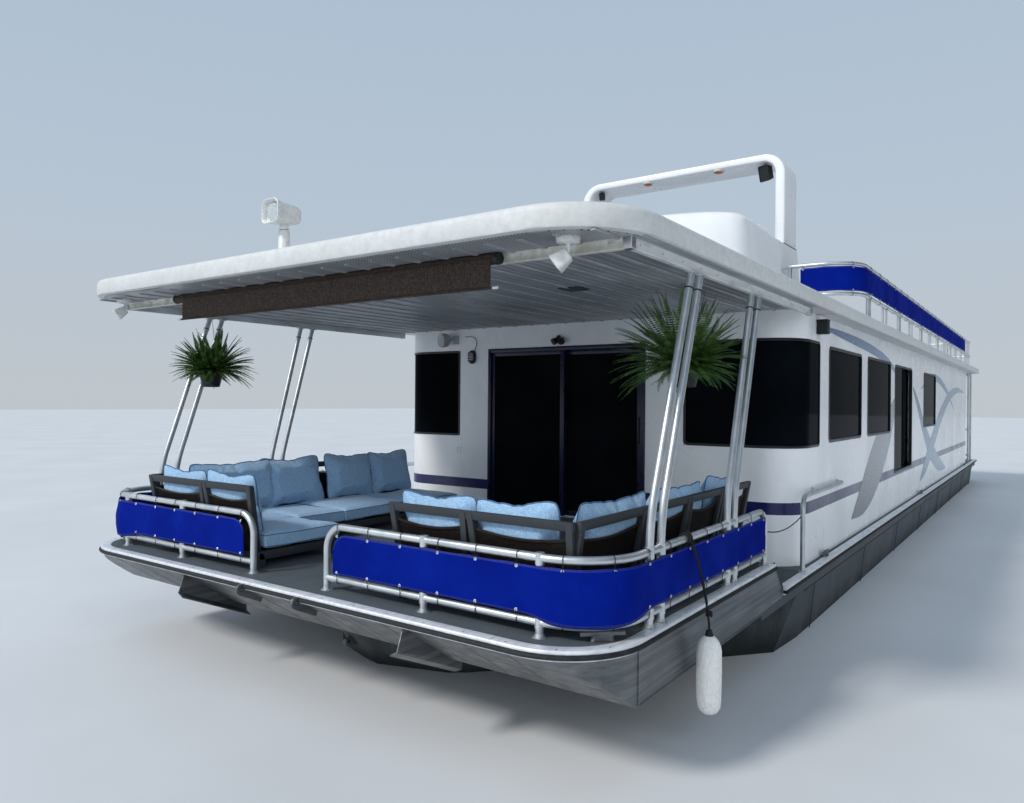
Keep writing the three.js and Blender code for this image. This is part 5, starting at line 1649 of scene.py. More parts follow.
# Eyelets with lacing cord round the pipe: one steel ring and one cord loop at an even step
def make_lacing(name, side, fine, pipe_out, lines, step=0.3):
    lacing = Piece(name)
    length = run_length(fine)
    count = int(length / step)
    for n in range(count + 1):
        along = 0.05 + n * (length - 0.1) / count
        i = min(int(along / length * (len(fine) - 1)), len(fine) - 2)
        here = fine[i]
        run = (fine[i + 1] - fine[i]).normalized()
        out = Vector((run.y, -run.x, 0)) * side
        for z_eye, z_pipe, radius in lines:
            eye = here + out * 0.0035 + Vector((0, 0, z_eye))
            lacing.lathe([(0.0045, 0.0), (0.0105, 0.0), (0.0115, 0.0016), (0.0095, 0.0034),
                          (0.0055, 0.0034), (0.0045, 0.002)], eye, out, STAINLESS, 12)
            centre = here - out * pipe_out + Vector((0, 0, z_pipe))
            up = Vector((0, 0, 1)) * (1 if z_eye > z_pipe else -1)
            reach = radius + 0.0035
            loop = [eye + out * 0.002, eye + out * 0.003 - up * 0.012]
            loop += [centre + out * (reach * math.cos(a)) - up * (reach * math.sin(a))
                     for a in [math.radians(-20 + 20 * k) for k in range(13)]]
            loop += [eye - out * 0.006 - up * 0.01, eye - out * 0.004]
            lacing.tube(smooth_run(loop, 0.03), 0.0022, BLACK_ROPE, sides=6)
    lacing.finish()


# Distance of the canvas from the rail's centre line, and of its eyelets from its edges
OUT = POLE + 0.0003
EYELET_INSET = 0.018


def make_bow_canvas():
    low, high = RAIL_LOW + 0.036, RAIL_TOP - 0.041
    lines = [(high - EYELET_INSET, RAIL_TOP, PIPE), (low + EYELET_INSET, RAIL_LOW, THIN_PIPE)]
    for name, side, gate, slack in (("port", 1, GATE_PORT, 2.05), ("starboard", -1, GATE_STARBOARD, 1.95)):
        path = canvas_path(side, gate + 0.09, RAIL_SIDE, RAIL_FRONT, RAIL_END - 0.06, 0.4, OUT)
        fine = make_canvas_sheet(
            f"bow_rail_canvas_{name}", f"bow_canvas_{name}", side, path, low, high,
            0.13, slack, 3.0 * side)
        make_lacing(f"bow_canvas_lacing_{name}", side, fine, OUT, lines)


def make_upper_canvas():
    low, high = UPPER_MID + 0.031, UPPER_TOP - 0.036
    lines = [(high - EYELET_INSET, UPPER_TOP, PIPE), (low + EYELET_INSET, UPPER_MID, THIN_PIPE)]
    for name, side in SIDES:
        path = canvas_path(side, COWL_SIDE + 0.2, UPPER_SIDE, UPPER_FRONT, 20.56, 0.45, OUT)
        fine = make_canvas_sheet(
            f"upper_rail_canvas_{name}", f"upper_canvas_{name}", side, path, low, high,
            0.02, 60.0, 7.0 * side, step=0.03)
        make_lacing(f"upper_canvas_lacing_{name}", side, fine, OUT, lines, step=0.6)


make_bow_canvas()
make_upper_canvas()


# Upper deck rail with its pairs of balusters

def make_upper_rails():
    for name, side in SIDES:
        rail = Piece(f"upper_rail_tubes_{name}")
        for z, radius in ((UPPER_TOP, PIPE), (UPPER_MID, THIN_PIPE)):
            cowl_half = COWL_SIDE - 0.06 * (z - ROOF_TOP) / (4.15 - ROOF_TOP)
            run = bend([(side * (cowl_half + 0.002), UPPER_FRONT, z), (side * UPPER_SIDE, UPPER_FRONT, z),
                        (side * UPPER_SIDE, UPPER_REAR, z), (side * 0.0004, UPPER_REAR, z)], [0.45, 0.2],
                       14)
            rail.tube(run, radius, STAINLESS, sides=16)
        posts = [(COWL_SIDE + 0.06, UPPER_FRONT), (0.7, UPPER_REAR), (2.0, UPPER_REAR)]
        posts += [(UPPER_SIDE, 7.5 + 2.43 * i) for i in range(6)]
        for x, y in posts:
            rail.tube([(side * x, y, ROOF_TOP), (side * x, y, UPPER_TOP)], THIN_PIPE, STAINLESS, sides=14)
            flange(rail, side * x, y, ROOF_TOP + 0.001, 0.036)
        pairs = [(UPPER_SIDE, 7.64 + 1.215 * i) for i in range(11)]
        pairs += [(UPPER_SIDE, 8.575 + 2.43 * i) for i in range(6)]
        for x, y in pairs:
            rail.tube([(side * x, y, ROOF_TOP), (side * x, y, UPPER_MID)], 0.014, STAINLESS, sides=10)
            flange(rail, side * x, y, ROOF_TOP + 0.001, 0.026)
        thin = [(0.25 + 0.32 * k, UPPER_REAR, UPPER_MID, UPPER_TOP) for k in range(7)]
        for y in [20.75 + 0.32 * k for k in range(5)]:
            thin += [(UPPER_SIDE, y, UPPER_MID, UPPER_TOP), (UPPER_SIDE, y, ROOF_TOP, UPPER_MID)]
        for x, y, low, high in thin:
            rail.tube([(side * x, y, low), (side * x, y, high)], 0.01, STAINLESS, sides=8)
        rail.finish(replaces=[f"upper_rail_{name}"], smooth=50)


# Flybridge: smooth cowl, arch with its lamps, console, wheel and bench

def cowl_ring(inset, z, count=48):
    side = COWL_SIDE - inset
    ring = []
    for i in range(count + 1):
        turn = math.pi * i / count
        across = -side * math.cos(turn)
        ahead = (0.64 - inset * 0.2) * max(math.sin(turn), 0.0) ** 0.8
        ring.append((across, 5.56 + inset * 0.9 - ahead, z))
    return ring + [(side, COWL_REAR, z), (-side, COWL_REAR, z)]


# A plain body for the cuts
def temporary(build):
    bmesh.ops.recalc_face_normals(build.mesh, faces=build.mesh.faces)
    return build.as_object()


def cutter(name, x, y, z0, z1):
    tool = Piece(name)
    tool.block(-x, x, y, 9.0, z0, z1, GELCOAT, 0)
    return temporary(tool)


def cut_away(body, tools):
    for tool in tools:
        added = body.modifiers.new("Cut", "BOOLEAN")
        added.operation = "DIFFERENCE"
        added.solver = "EXACT"
        added.object = tool
    data = applied_mesh(body)
    body.modifiers.clear()
    body.data = data


def make_cowl():
    base = ROOF_TOP + 0.0004
    outer = Piece("cowl_outside")
    levels = [(0.0, base), (0.012, base + 0.18), (0.06, 4.15), (0.072, 4.29), (0.085, 4.385), (0.1, 4.43),
              (0.125, 4.464), (0.16, 4.49), (0.21, 4.508), (0.27, 4.52), (0.33, 4.528)]
    outer.skin([cowl_ring(inset, z) for inset, z in levels], GELCOAT)
    shell = temporary(outer)
    room = Piece("cowl_room")
    room.skin([cowl_ring(0.06, base - 0.05), cowl_ring(0.13, 4.15), cowl_ring(0.2, 4.4)], GELCOAT)
    room_body = temporary(room)
    behind = cutter("cowl_behind", 3.0, 6.15, base - 0.1, 6.0)
    rear = cutter("cowl_rear_cut", 1.425, 6.15, base - 0.05, 5.0)
    step = cutter("cowl_step_cut", 3.0, 6.45, COWL_TOP, 5.0)
    cut_away(room_body, [behind])
    cut_away(shell, [room_body, rear, step])
    cowl = Piece("flybridge_cowl")
    cowl.mesh.from_mesh(shell.data)
    cowl.index(GELCOAT)
    for face in cowl.mesh.faces:
        face.smooth = True
    for made in (shell, room_body, rear, step, behind):
        bpy.data.objects.remove(made)
    bmesh.ops.remove_doubles(cowl.mesh, verts=cowl.mesh.verts, dist=0.0001)
    cowl.finish(replaces=["cowl"], smooth=32, modifiers=[
        ("BEVEL", {"width": 0.012, "segments": 3, "limit_method": "ANGLE",
                   "angle_limit": math.radians(55)}),
        ("WEIGHTED_NORMAL", {"keep_sharp": True}),
    ])


# Rounded section of the arch: pairs of the way inward (0 to 1) and y
def arch_section():
    ahead = [(0.0, 7.19), (0.02, 7.172), (0.08, 7.158), (0.2, 7.15)]
    ahead += [(1 - t, y) for t, y in reversed(ahead)]
    return ahead + [(t, 14.9 - y) for t, y in reversed(ahead)]


def make_arch():
    foot, leg, top, half = COWL_TOP + 0.0004, 0.135, 5.67, 1.59
    steps = 14
    outer = rounded(-half, half, foot, top, 0.001, 0.3, steps)[2 * (steps + 1):]
    inner = rounded(leg - half, half - leg, foot, top - 0.105, 0.001, 0.17, steps)[2 * (steps + 1):]
    outer = [(half, foot)] + outer + [(-half, foot)]
    inner = [(half - leg, foot)] + inner + [(leg - half, foot)]
    rings = []
    for (xo, zo), (xi, zi) in zip(outer, inner):
        rings.append([(xo + (xi - xo) * t, y, zo + (zi - zo) * t) for t, y in arch_section()])
    arch = Piece("flybridge_arch")
    arch.skin(rings, GELCOAT)
    arch.finish(replaces=["arch"], smooth=40)


def make_arch_fittings():
    lamps = Piece("arch_amber_lamps")
    for x, y in ((-0.485, 7.24), (0.629, 7.24)):
        lamps.lathe([(0.0, 0.0), (0.085, 0.0), (0.088, -0.008), (0.082, -0.016), (0.07, -0.018),
                     (0.0, -0.018)],
                    (x, y, 5.565), (0, 0, 1), WHITE_PLASTIC, 28)
        lamps.lathe([(0.0, -0.014), (0.066, -0.016), (0.062, -0.026), (0.045, -0.034), (0.02, -0.038),
                     (0.0, -0.039)],
                    (x, y, 5.565), (0, 0, 1), AMBER_LENS, 28)
    lamps.finish()
    speakers = Piece("arch_speakers")
    for x, high in ((1.29, 0.11), (-1.31, 0.06)):
        side = 1 if x > 0 else -1
        centre = Vector((x, 7.3, 5.44 if high > 0.1 else 5.5))
        out = Vector((-side * 0.35, -0.9, -0.25)).normalized()
        across = out.cross(Vector((0, 0, 1))).normalized()
        up = across.cross(out)
        rings = []
        for reach, scale in ((-0.07, 0.7), (-0.06, 0.82), (0.04, 1.0), (0.055, 1.0), (0.06, 0.94),
                             (0.05, 0.9)):
            rings.append([centre + out * reach + across * (a * scale) + up * (b * scale)
                          for a, b in rounded(-high * 0.75, high * 0.75, -high, high, 0.02, 0.02, 4)])
        speakers.skin(rings, BLACK_PLASTIC)
        bracket = [centre + up * high * 0.9, centre + up * (high + 0.03) - out * 0.02,
                   Vector((x + side * 0.02, 7.3, 5.565))]
        speakers.tube(bracket, 0.01, BLACK_PLASTIC, sides=10)
    speakers.finish()
    seams = Piece("arch_base_seams")
    for side in (-1, 1):
        x0, x1 = sorted((side * 1.45, side * 1.596))
        seams.block(x0, x1, 7.145, 7.755, COWL_TOP - 0.001, COWL_TOP + 0.004, RUBBER, 0.0015)
        for y in (7.25, 7.65):
            seams.lathe([(0.0, 0.0), (0.011, 0.0), (0.009, 0.005), (0.0, 0.006)],
                        (side * 1.59, y, COWL_TOP + 0.05), (side, 0, 0), SCREW_STEEL, 12)
    seams.finish()


HELM_TILT = Matrix.Rotation(math.radians(110), 3, "X")


def helm_point(x, y, z):
    return HELM_TILT @ Vector((x, y, z)) + Vector((-0.6, 6.135, 4.08))


def make_helm():
    console = Piece("helm_console_moulding")
    console.copy_node("helm_console", GELCOAT, bevel=0.012, segments=3, sharp=40)
    console.finish(replaces=["helm_console"], smooth=50)
    dash = Piece("helm_instruments")
    low, high = Vector((0, 6.077, 4.06)), Vector((0, 5.992, 4.325))
    slope = (high - low).normalized()
    out = Vector((0, slope.z, -slope.y))
    for x, t, radius in ((-0.86, 0.19, 0.045), (-0.75, 0.19, 0.045), (-0.45, 0.19, 0.045),
                         (-0.34, 0.19, 0.045), (-0.24, 0.19, 0.032)):
        centre = low + slope * t + Vector((x, 0, 0))
        dash.lathe([(0.0, 0.0), (radius, 0.0), (radius, 0.008), (radius * 0.86, 0.011),
                    (radius * 0.84, 0.006), (0.0, 0.006)], centre, out, BLACK_PLASTIC, 28)
        dash.lathe([(0.0, 0.0062), (radius * 0.8, 0.0062), (radius * 0.8, 0.007), (0.0, 0.0072)], centre,
                   out, WHITE_PLASTIC, 28)
        tick = slope * (radius * 0.3) + Vector((radius * 0.28, 0, 0))
        dash.tube([centre + out * 0.008, centre + out * 0.008 + tick], 0.0014, AMBER_LENS, sides=6)
    for k in range(8):
        centre = low + slope * 0.07 + Vector((-0.32 + 0.022 * k, 0, 0))
        dash.lathe([(0.0, 0.0), (0.007, 0.0), (0.006, 0.004), (0.003, 0.005), (0.0025, 0.016),
                    (0.0, 0.017)],
                   centre, out, SCREW_STEEL, 10)
    lever = low + slope * 0.05 + Vector((-0.9, 0, 0))
    for dx in (0.0, 0.05):
        dash.tube([lever + Vector((dx, 0, 0)), lever + Vector((dx, 0, 0)) + out * 0.07 + slope * 0.03],
                  0.006, STAINLESS, sides=10)
        dash.lathe([(0.0, -0.014), (0.01, -0.01), (0.014, 0.0), (0.01, 0.01), (0.0, 0.014)],
                   lever + Vector((dx, 0, 0)) + out * 0.075 + slope * 0.032, out, BLACK_PLASTIC, 14)
    dash.finish()
    wheel = Piece("helm_wheel_rim_and_spokes")
    rim = [helm_point(0.19 * math.cos(a), 0.19 * math.sin(a), 0)
           for a in [2 * math.pi * k / 48 for k in range(48)]]
    wheel.tube(rim, 0.0125, CHARCOAL_COAT, sides=12, closed=True)
    axis = HELM_TILT @ Vector((0, 0, 1))
    wheel.lathe([(0.0, -0.022), (0.024, -0.02), (0.036, -0.01), (0.038, 0.012), (0.03, 0.018),
                 (0.0, 0.018)],
                helm_point(0, 0, 0), axis, CHARCOAL_COAT, 24)
    wheel.lathe([(0.0, -0.02), (0.0135, -0.02), (0.0135, 0.055), (0.0, 0.055)], helm_point(0, 0, 0), axis,
                STAINLESS, 16)
    for k in range(3):
        turn = math.pi / 2 + k * 2 * math.pi / 3
        points = [helm_point(r * math.cos(turn), r * math.sin(turn), 0.004 * math.sin(r * 30)) for r in
                  [0.02 + 0.0165 * i for i in range(11)]]
        wheel.tube(points, [0.011 - 0.0004 * i for i in range(11)], STAINLESS, sides=10)
    wheel.finish(body="helm_wheel", replaces=["helm_wheel"], smooth=50)


def make_bench():
    bench = Piece("helm_bench_moulding")
    bench.copy_node("helm_bench", GELCOAT, bevel=0.014, segments=3, sharp=40)
    bench.finish(replaces=["helm_bench"], smooth=50)


def make_searchlight():
    x, y, foot = -0.63, 0.62, ROOF_TOP + 0.0004
    base = Piece("searchlight_pedestal")
    base.lathe([(0.0, 0.0), (0.084, 0.0), (0.085, 0.02), (0.078, 0.03), (0.058, 0.045), (0.05, 0.08),
                (0.046, 0.335), (0.042, 0.34), (0.0, 0.34)], (x, y, foot), (0, 0, 1), WHITE_PLASTIC, 32)
    for k in range(4):
        turn = math.pi / 4 + k * math.pi / 2
        base.lathe([(0.0, 0.0), (0.007, 0.0), (0.005, 0.005), (0.0, 0.006)],
                   (x + 0.07 * math.cos(turn), y + 0.07 * math.sin(turn), foot + 0.026), (0, 0, 1),
                   SCREW_STEEL, 10)
    base.finish(replaces=["searchlight_base"], smooth=40)
    head = Piece("searchlight_head_shell")
    low = foot + 0.3455
    head.lathe([(0.0, 0.0), (0.04, 0.0), (0.042, 0.012), (0.036, 0.03), (0.03, 0.055), (0.0, 0.056)],
               (x, y, low), (0, 0, 1), WHITE_PLASTIC, 24)
    head.lathe([(0.0, -0.0048), (0.019, -0.0048), (0.019, 0.002), (0.0, 0.002)], (x, y, low), (0, 0, 1),
               STAINLESS, 16)
    centre = low + 0.13
    rings = []
    for reach, wide, high in ((0.128, 0.05, 0.045), (0.118, 0.068, 0.062), (0.09, 0.08, 0.074),
                              (-0.03, 0.094, 0.086), (-0.118, 0.1, 0.092), (-0.126, 0.107, 0.1),
                              (-0.146, 0.108, 0.101), (-0.15, 0.103, 0.096), (-0.143, 0.094, 0.087),
                              (-0.11, 0.086, 0.079)):
        corners = rounded(-wide, wide, -high, high, high * 0.55, high * 0.55, 7)
        rings.append([(x + a, y + reach, centre + b) for a, b in corners])
    head.skin(rings, WHITE_PLASTIC)
    head.lathe([(0.0, 0.0), (0.075, -0.006), (0.074, -0.018), (0.05, -0.024), (0.0, -0.028)],
               (x, y - 0.1, centre), (0, 1, 0), LAMP_LENS, 32)
    head.finish(body="searchlight", replaces=["searchlight_head"], smooth=40)


make_upper_rails()
make_cowl()
make_arch()
make_arch_fittings()
make_helm()
make_bench()
make_searchlight()


# Roller shade, half let down: its roll, brackets, hanging mesh and bottom bar

def make_shade():
    y, z, radius = TRACK_FRONT - 0.0383, 3.088, 0.038
    x0, x1 = -1.735, 1.815
    roller = Piece("shade_roller_tube")
    length = x1 - x0
    roll = [(0.0, 0.0), (0.03, 0.0), (0.03, 0.012), (0.0365, 0.014), (0.0375, 0.02),
            (0.0375, length - 0.02), (0.0365, length - 0.014), (0.03, length - 0.012), (0.03, length),
            (0.0, length)]
    roller.lathe(roll, (x0, y, z), (1, 0, 0), SHADE_MESH, 24)
    for x in (x0 + 0.004, x1 - 0.003):
        roller.lathe([(0.0, -0.014), (0.04, -0.014), (0.041, -0.01), (0.041, 0.01), (0.04, 0.014),
                      (0.0, 0.014)],
                     (x, y, z), (1, 0, 0), BLACK_PLASTIC, 20)
        roller.block(x - 0.004, x + 0.004, y - 0.03, y + 0.04, z - 0.02, z + 0.042, BLACK_PLASTIC, 0.002)
    roller.finish(replaces=["shade_roller"], smooth=40)
    cloth = Piece("shade_mesh_cloth")
    face = y - radius - 0.002
    x0, x1, hang = -1.59, 1.785, 0.188
    columns, rows = 170, 12
    points, uv = [], []
    for i in range(columns + 1):
        x = x0 + (x1 - x0) * i / columns
        for k in range(rows + 1):
            t = k / rows
            drop = hang * t
            wave = 0.004 * t * noise.noise(Vector((x * 1.7, 0.3,
                                                   5.0))) + 0.0015 * t * noise.noise(Vector((x * 7, t, 2)))
            points.append((x, face + wave, z - drop))
            uv.append((x, drop))
    cloth.faces(points, grid_faces(columns, rows, flip=True), SHADE_MESH, uv)
    bar = Piece("shade_bottom_bar")
    bar.tube([(x0 - 0.02, face - 0.001, z - hang), (x1 + 0.03, face - 0.001, z - hang)], 0.008, SHADE_MESH,
             sides=12)
    for x, side in ((x0 - 0.01, -1), (x1 + 0.02, 1)):
        bar.lathe([(0.0, 0.0), (0.009, 0.0), (0.009, 0.035), (0.006, 0.038), (0.0, 0.039)],
                  (x, face - 0.001, z - hang), (side, 0, 0), WHITE_PLASTIC, 14)
    hem = bar.finish()
    made = cloth.finish(replaces=["shade_fabric"], outward=False, smooth=60,
                        modifiers=[("SOLIDIFY", {"thickness": 0.0012, "offset": 0.0})])


make_shade()


# Bow seats: frames of square tube with woven panels; a seat is (side, x0, x1, y0, y1)

SEAT_FRAME = 0.935
SEAT_TOP = 1.0
SEAT_DEPTH = 0.93
SEAT_BACK = 1.53
SEAT_SOFT = 0.135
RAKE = 0.105


# Point on a raked back: along the run, height over the deck, and distance behind its middle plane
def back_point(seat, along, z, behind, leg):
    lean = 0.13 - RAKE * (z - 0.93) / (SEAT_BACK - 0.93)
    if leg == "ahead":
        return Vector((seat[0] * along, seat[3] + lean - behind, z))
    return Vector((seat[0] * (seat[2] - lean + behind), along, z))


def square_bar(piece, ends, wide, thick, leg, seat):
    (a0, z0), (a1, z1) = ends
    rings = []
    lead = Vector((a1 - a0, z1 - z0)).normalized()
    normal = Vector((-lead.y, lead.x))
    for a, z in ((a0, z0), (a1, z1)):
        ring = []
        for across, behind in ((-1, -1), (1, -1), (1, 1), (-1, 1)):
            p = Vector((a, z)) + normal * (across * wide / 2)
            ring.append(back_point(seat, p.x, p.y, behind * thick / 2, leg))
        rings.append(ring)
    piece.soften(piece.skin(rings, CHARCOAL_COAT), 0.004)


def woven_panel(piece, seat, a0, a1, leg):
    columns = 16
    points, uv, edge = [], [], []
    for i in range(columns + 1):
        t = i / columns
        a = a0 + (a1 - a0) * t
        top = 1.425 - 0.035 * math.sin(math.pi * t)
        for z in (0.955, 1.07, 1.19, 1.31, top):
            hollow = 0.006 * math.sin(math.pi * t) * math.sin(math.pi * (z - 0.955) / 0.5)
            points.append(back_point(seat, a, z, -hollow, leg))
            uv.append((a, z))
        edge.append(back_point(seat, a, top, 0, leg))
    made = piece.faces(points, grid_faces(columns, 4), WOVEN_RESIN, uv)
    bmesh.ops.solidify(piece.mesh, geom=made, thickness=0.012)
    piece.tube(edge, 0.009, WOVEN_RESIN, sides=8)


def make_sofa_frame(name, seat, ahead_stops, side_stops):
    side, x0, x1, y0, y1 = seat
    frame_piece = Piece(f"bow_sofa_frame_{name}")
    for leg, stops in (("ahead", ahead_stops), ("beside", side_stops)):
        for z, wide in ((SEAT_BACK - 0.0275, 0.055), (0.965, 0.05)):
            square_bar(frame_piece, ((stops[0], z), (stops[-1], z)), wide, 0.04, leg, seat)
        for a0, a1 in zip(stops, stops[1:]):
            woven_panel(frame_piece, seat, a0 + 0.02, a1 - 0.02, leg)
            for a, toward in ((a0, 1), (a1, -1)):
                ends = ((a + toward * 0.056, 0.935), (a + toward * 0.026, SEAT_BACK - 0.01))
                square_bar(frame_piece, ends, 0.045, 0.048, leg, seat)
    low, high = SEAT_FRAME, SEAT_TOP
    inner = x1 - SEAT_DEPTH

    def bar(xa, xb, ya, yb, za, zb, finish=CHARCOAL_COAT, bevel=0.004):
        lo, hi = sorted((side * xa, side * xb))
        frame_piece.block(lo, hi, ya, yb, za, zb, finish, bevel)

    bar(x0, x0 + 0.05, y0 + 0.09, y0 + SEAT_DEPTH, low, high)
    bar(x0, inner + 0.05, y0 + SEAT_DEPTH - 0.05, y0 + SEAT_DEPTH, low, high)
    bar(inner, inner + 0.05, y0 + SEAT_DEPTH - 0.05, y1, low, high)
    bar(inner, x1 - 0.12, y1 - 0.05, y1, low, high)
    bar(x0 + 0.03, x1 - 0.13, y0 + 0.13, y0 + SEAT_DEPTH - 0.03, high - 0.02, high - 0.006, WOVEN_RESIN, 0)
    bar(inner + 0.03, x1 - 0.13, y0 + SEAT_DEPTH - 0.03, y1 - 0.03, high - 0.02, high - 0.006, WOVEN_RESIN,
        0)
    legs = [(x0 + 0.005, y0 + 0.11), (x0 + 0.005, y0 + SEAT_DEPTH - 0.06), (inner, y0 + SEAT_DEPTH - 0.05),
            (inner, y1 - 0.055), (x1 - 0.24, y1 - 0.055), (x1 - 0.24, y0 + 0.2), (inner, y0 + 0.2)]
    for x, y in legs:
        bar(x, x + 0.048, y, y + 0.048, DECK, low + 0.01)
        bar(x - 0.002, x + 0.05, y - 0.002, y + 0.05, DECK, DECK + 0.012, BLACK_PLASTIC, 0.003)
    # Raked end legs run on down from the backs to the deck
    for leg, a in (("ahead", x0 + 0.024), ("beside", y1 - 0.024)):
        rings = []
        for z in (DECK, 0.97):
            rings.append([back_point(seat, a + p, z, q, leg) for p, q in
                          ((-0.024, -0.03), (0.024, -0.03), (0.024, 0.024), (-0.024, 0.024))])
        frame_piece.soften(frame_piece.skin(rings, CHARCOAL_COAT), 0.004)
    frame_piece.finish(replaces=[f"sofa_frame_{name}"], smooth=40)


SEATS = {
    "port": (1, 0.99, 2.46, 0.225, 3.19),
    "starboard": (-1, 0.49, 2.0, 0.2, 3.45),
}
make_sofa_frame("port", SEATS["port"], (0.99, 1.65, 2.42), (0.275, 1.12, 1.86, 2.52, 3.19))
make_sofa_frame("starboard", SEATS["starboard"], (0.49, 1.14, 1.96), (0.25, 1.2, 1.98, 2.72, 3.45))


# Cushions: three patterns blown up by cloth simulation, then laid on the seats with their piping

PILLOW_THICK = 0.19
PILLOW_STEP = 0.018
# Share of the simulated shrinking in the sheet's own plane that is kept, so that edges stay tidy
EDGE_PULL = 0.4
PAD_STEP = 0.028


# Two layers sewn at their edge, with a little fullness to start from
def pillow_pattern(wide, high):
    columns, rows = round(wide / PILLOW_STEP), round(high / PILLOW_STEP)
    points, index = [], {}
    for layer in (1, -1):
        for i in range(columns + 1):
            for k in range(rows + 1):
                edge = i in (0, columns) or k in (0, rows)
                if edge and layer < 0:
                    index[layer, i, k] = index[1, i, k]
                    continue
                u, v = i / columns, k / rows
                full = 0.012 * math.sin(math.pi * u) * math.sin(math.pi * v)
                crease = 0.002 * noise.noise(Vector((u * 9, v * 9, layer * 4)))
                index[layer, i, k] = len(points)
                corner = 1 - 0.05 * ((2 * u - 1) * (2 * v - 1)) ** 8
                x = (u - 0.5) * wide * (1 + 0.02 * (1 - (2 * v - 1) ** 2)) * corner
                y = (v - 0.5) * high * (1 + 0.03 * (1 - (2 * u - 1) ** 2)) * corner
                points.append((x, y, 0.0 if edge else layer * (full + 0.003) + crease))
    faces = []
    for layer in (1, -1):
        for i in range(columns):
            for k in range(rows):
                face = [index[layer, a, b] for a, b in ((i, k), (i + 1, k), (i + 1, k + 1), (i, k + 1))]
                faces.append(tuple(face if layer > 0 else reversed(face)))
    seam = [index[1, i, 0] for i in range(columns)] + [index[1, columns, k] for k in range(rows)]
    seam += [index[1, i, rows] for i in range(columns, 0, -1)] + [index[1, 0, k]
                                                                  for k in range(rows, 0, -1)]
    return points, faces, [seam]


# A box pad with seams round its upper and lower edges
def pad_pattern(wide, deep, thick):
    columns, rows, levels = round(wide / PAD_STEP), round(deep / PAD_STEP), 4
    points, index, faces = [], {}, []

    def vert(i, k, m):
        if (i, k, m) not in index:
            index[i, k, m] = len(points)
            points.append(((i / columns - 0.5) * wide, (k / rows - 0.5) * deep, (m / levels - 0.5) * thick))
        return index[i, k, m]

    for m in (0, levels):
        for i in range(columns):
            for k in range(rows):
                face = [vert(i, k, m), vert(i + 1, k, m), vert(i + 1, k + 1, m), vert(i, k + 1, m)]
                faces.append(tuple(face if m else reversed(face)))
    rim = [(i, 0) for i in range(columns)] + [(columns, k) for k in range(rows)]
    rim += [(i, rows) for i in range(columns, 0, -1)] + [(0, k) for k in range(rows, 0, -1)]
    for m in range(levels):
        for (i, k), (j, n) in zip(rim, rim[1:] + rim[:1]):
            faces.append((vert(i, k, m), vert(j, n, m), vert(j, n, m + 1), vert(i, k, m + 1)))
    seams = [[vert(i, k, m) for i, k in rim] for m in (levels, 0)]
    return points, faces, seams


def cloth_body(name, pattern, crease):
    points, faces, seams = pattern
    data = bpy.data.meshes.new(name)
    data.from_pydata(points, [], faces)
    pairs = {frozenset(pair) for seam in seams for pair in zip(seam, seam[1:] + seam[:1])}
    sharp = data.attributes.new("crease_edge", "FLOAT", "EDGE")
    for edge in data.edges:
        sharp.data[edge.index].value = crease if frozenset(edge.vertices) in pairs else 0.0
    return placed_object(name, data)


CLOTH_SETTINGS = {
    "quality": 6, "mass": 0.25, "bending_stiffness": 0.15, "tension_damping": 12, "air_damping": 4,
    "use_pressure": True,
}


# Bodies are (object, pressure, stiffness, frames); the shape at the last frame is kept
def inflate(bodies):
    scene = bpy.context.scene
    for body, pressure, stiff, frames in bodies:
        cloth = body.modifiers.new("Cloth", "CLOTH")
        for key, value in CLOTH_SETTINGS.items():
            setattr(cloth.settings, key, value)
        cloth.settings.tension_stiffness = stiff
        cloth.settings.compression_stiffness = stiff
        cloth.settings.shear_stiffness = stiff * 0.4
        cloth.settings.uniform_pressure_force = pressure
        cloth.settings.effector_weights.gravity = 0
        cloth.point_cache.frame_start = 1
        cloth.point_cache.frame_end = frames
    kept = {}
    for frame in range(1, max(frames for *_, frames in bodies) + 1):
        scene.frame_set(frame)
        graph = bpy.context.evaluated_depsgraph_get()
        for body, _, _, frames in bodies:
            if frame == frames:
                ready = body.evaluated_get(graph)
                kept[body.name] = [v.co.copy() for v in ready.data.vertices]
    for body, *_ in bodies:
        body.modifiers.clear()
        pillow = "pillow" in body.name
        pull, limit = (EDGE_PULL, 0.12) if pillow else (1.0, 0.028)
        for vert, place in zip(body.data.vertices, kept[body.name]):
            move = place - vert.co
            if pillow:
                move.x, move.y = move.x * pull, move.y * pull
            vert.co = vert.co + move * min(1.0, limit / max(move.length, 1e-6))
    scene.frame_set(1)


def smoothed(body):
    added = body.modifiers.new("Smooth", "SUBSURF")
    added.levels = added.render_levels = 1
    data = applied_mesh(body)
    points = [v.co.copy() for v in data.vertices]
    faces = [tuple(p.vertices) for p in data.polygons]
    bpy.data.meshes.remove(data)
    old = body.data
    bpy.data.objects.remove(body)
    bpy.data.meshes.remove(old)
    return points, faces


def make_masters():
    sizes = {"pillow": (0.74, 0.56), "long_pillow": (0.98, 0.56)}
    pads = {"pad": (0.7, 0.76, SEAT_SOFT - 0.03)}
    patterns = {name: pillow_pattern(*size) for name, size in sizes.items()}
    patterns.update({name: pad_pattern(*size) for name, size in pads.items()})
    bodies = {name: cloth_body(f"{name}_pattern", pattern, 0.9 if name == "pad" else 1.0)
              for name, pattern in patterns.items()}
    inflate([(bodies["pillow"], 5.0, 18, 16), (bodies["long_pillow"], 5.0, 18, 16),
             (bodies["pad"], 4.0, 15, 14)])
    return {name: (*smoothed(bodies[name]), patterns[name][2]) for name in patterns}


MASTERS = make_masters()


def extent(points, axis):
    values = [p[axis] for p in points]
    return min(values), max(values)


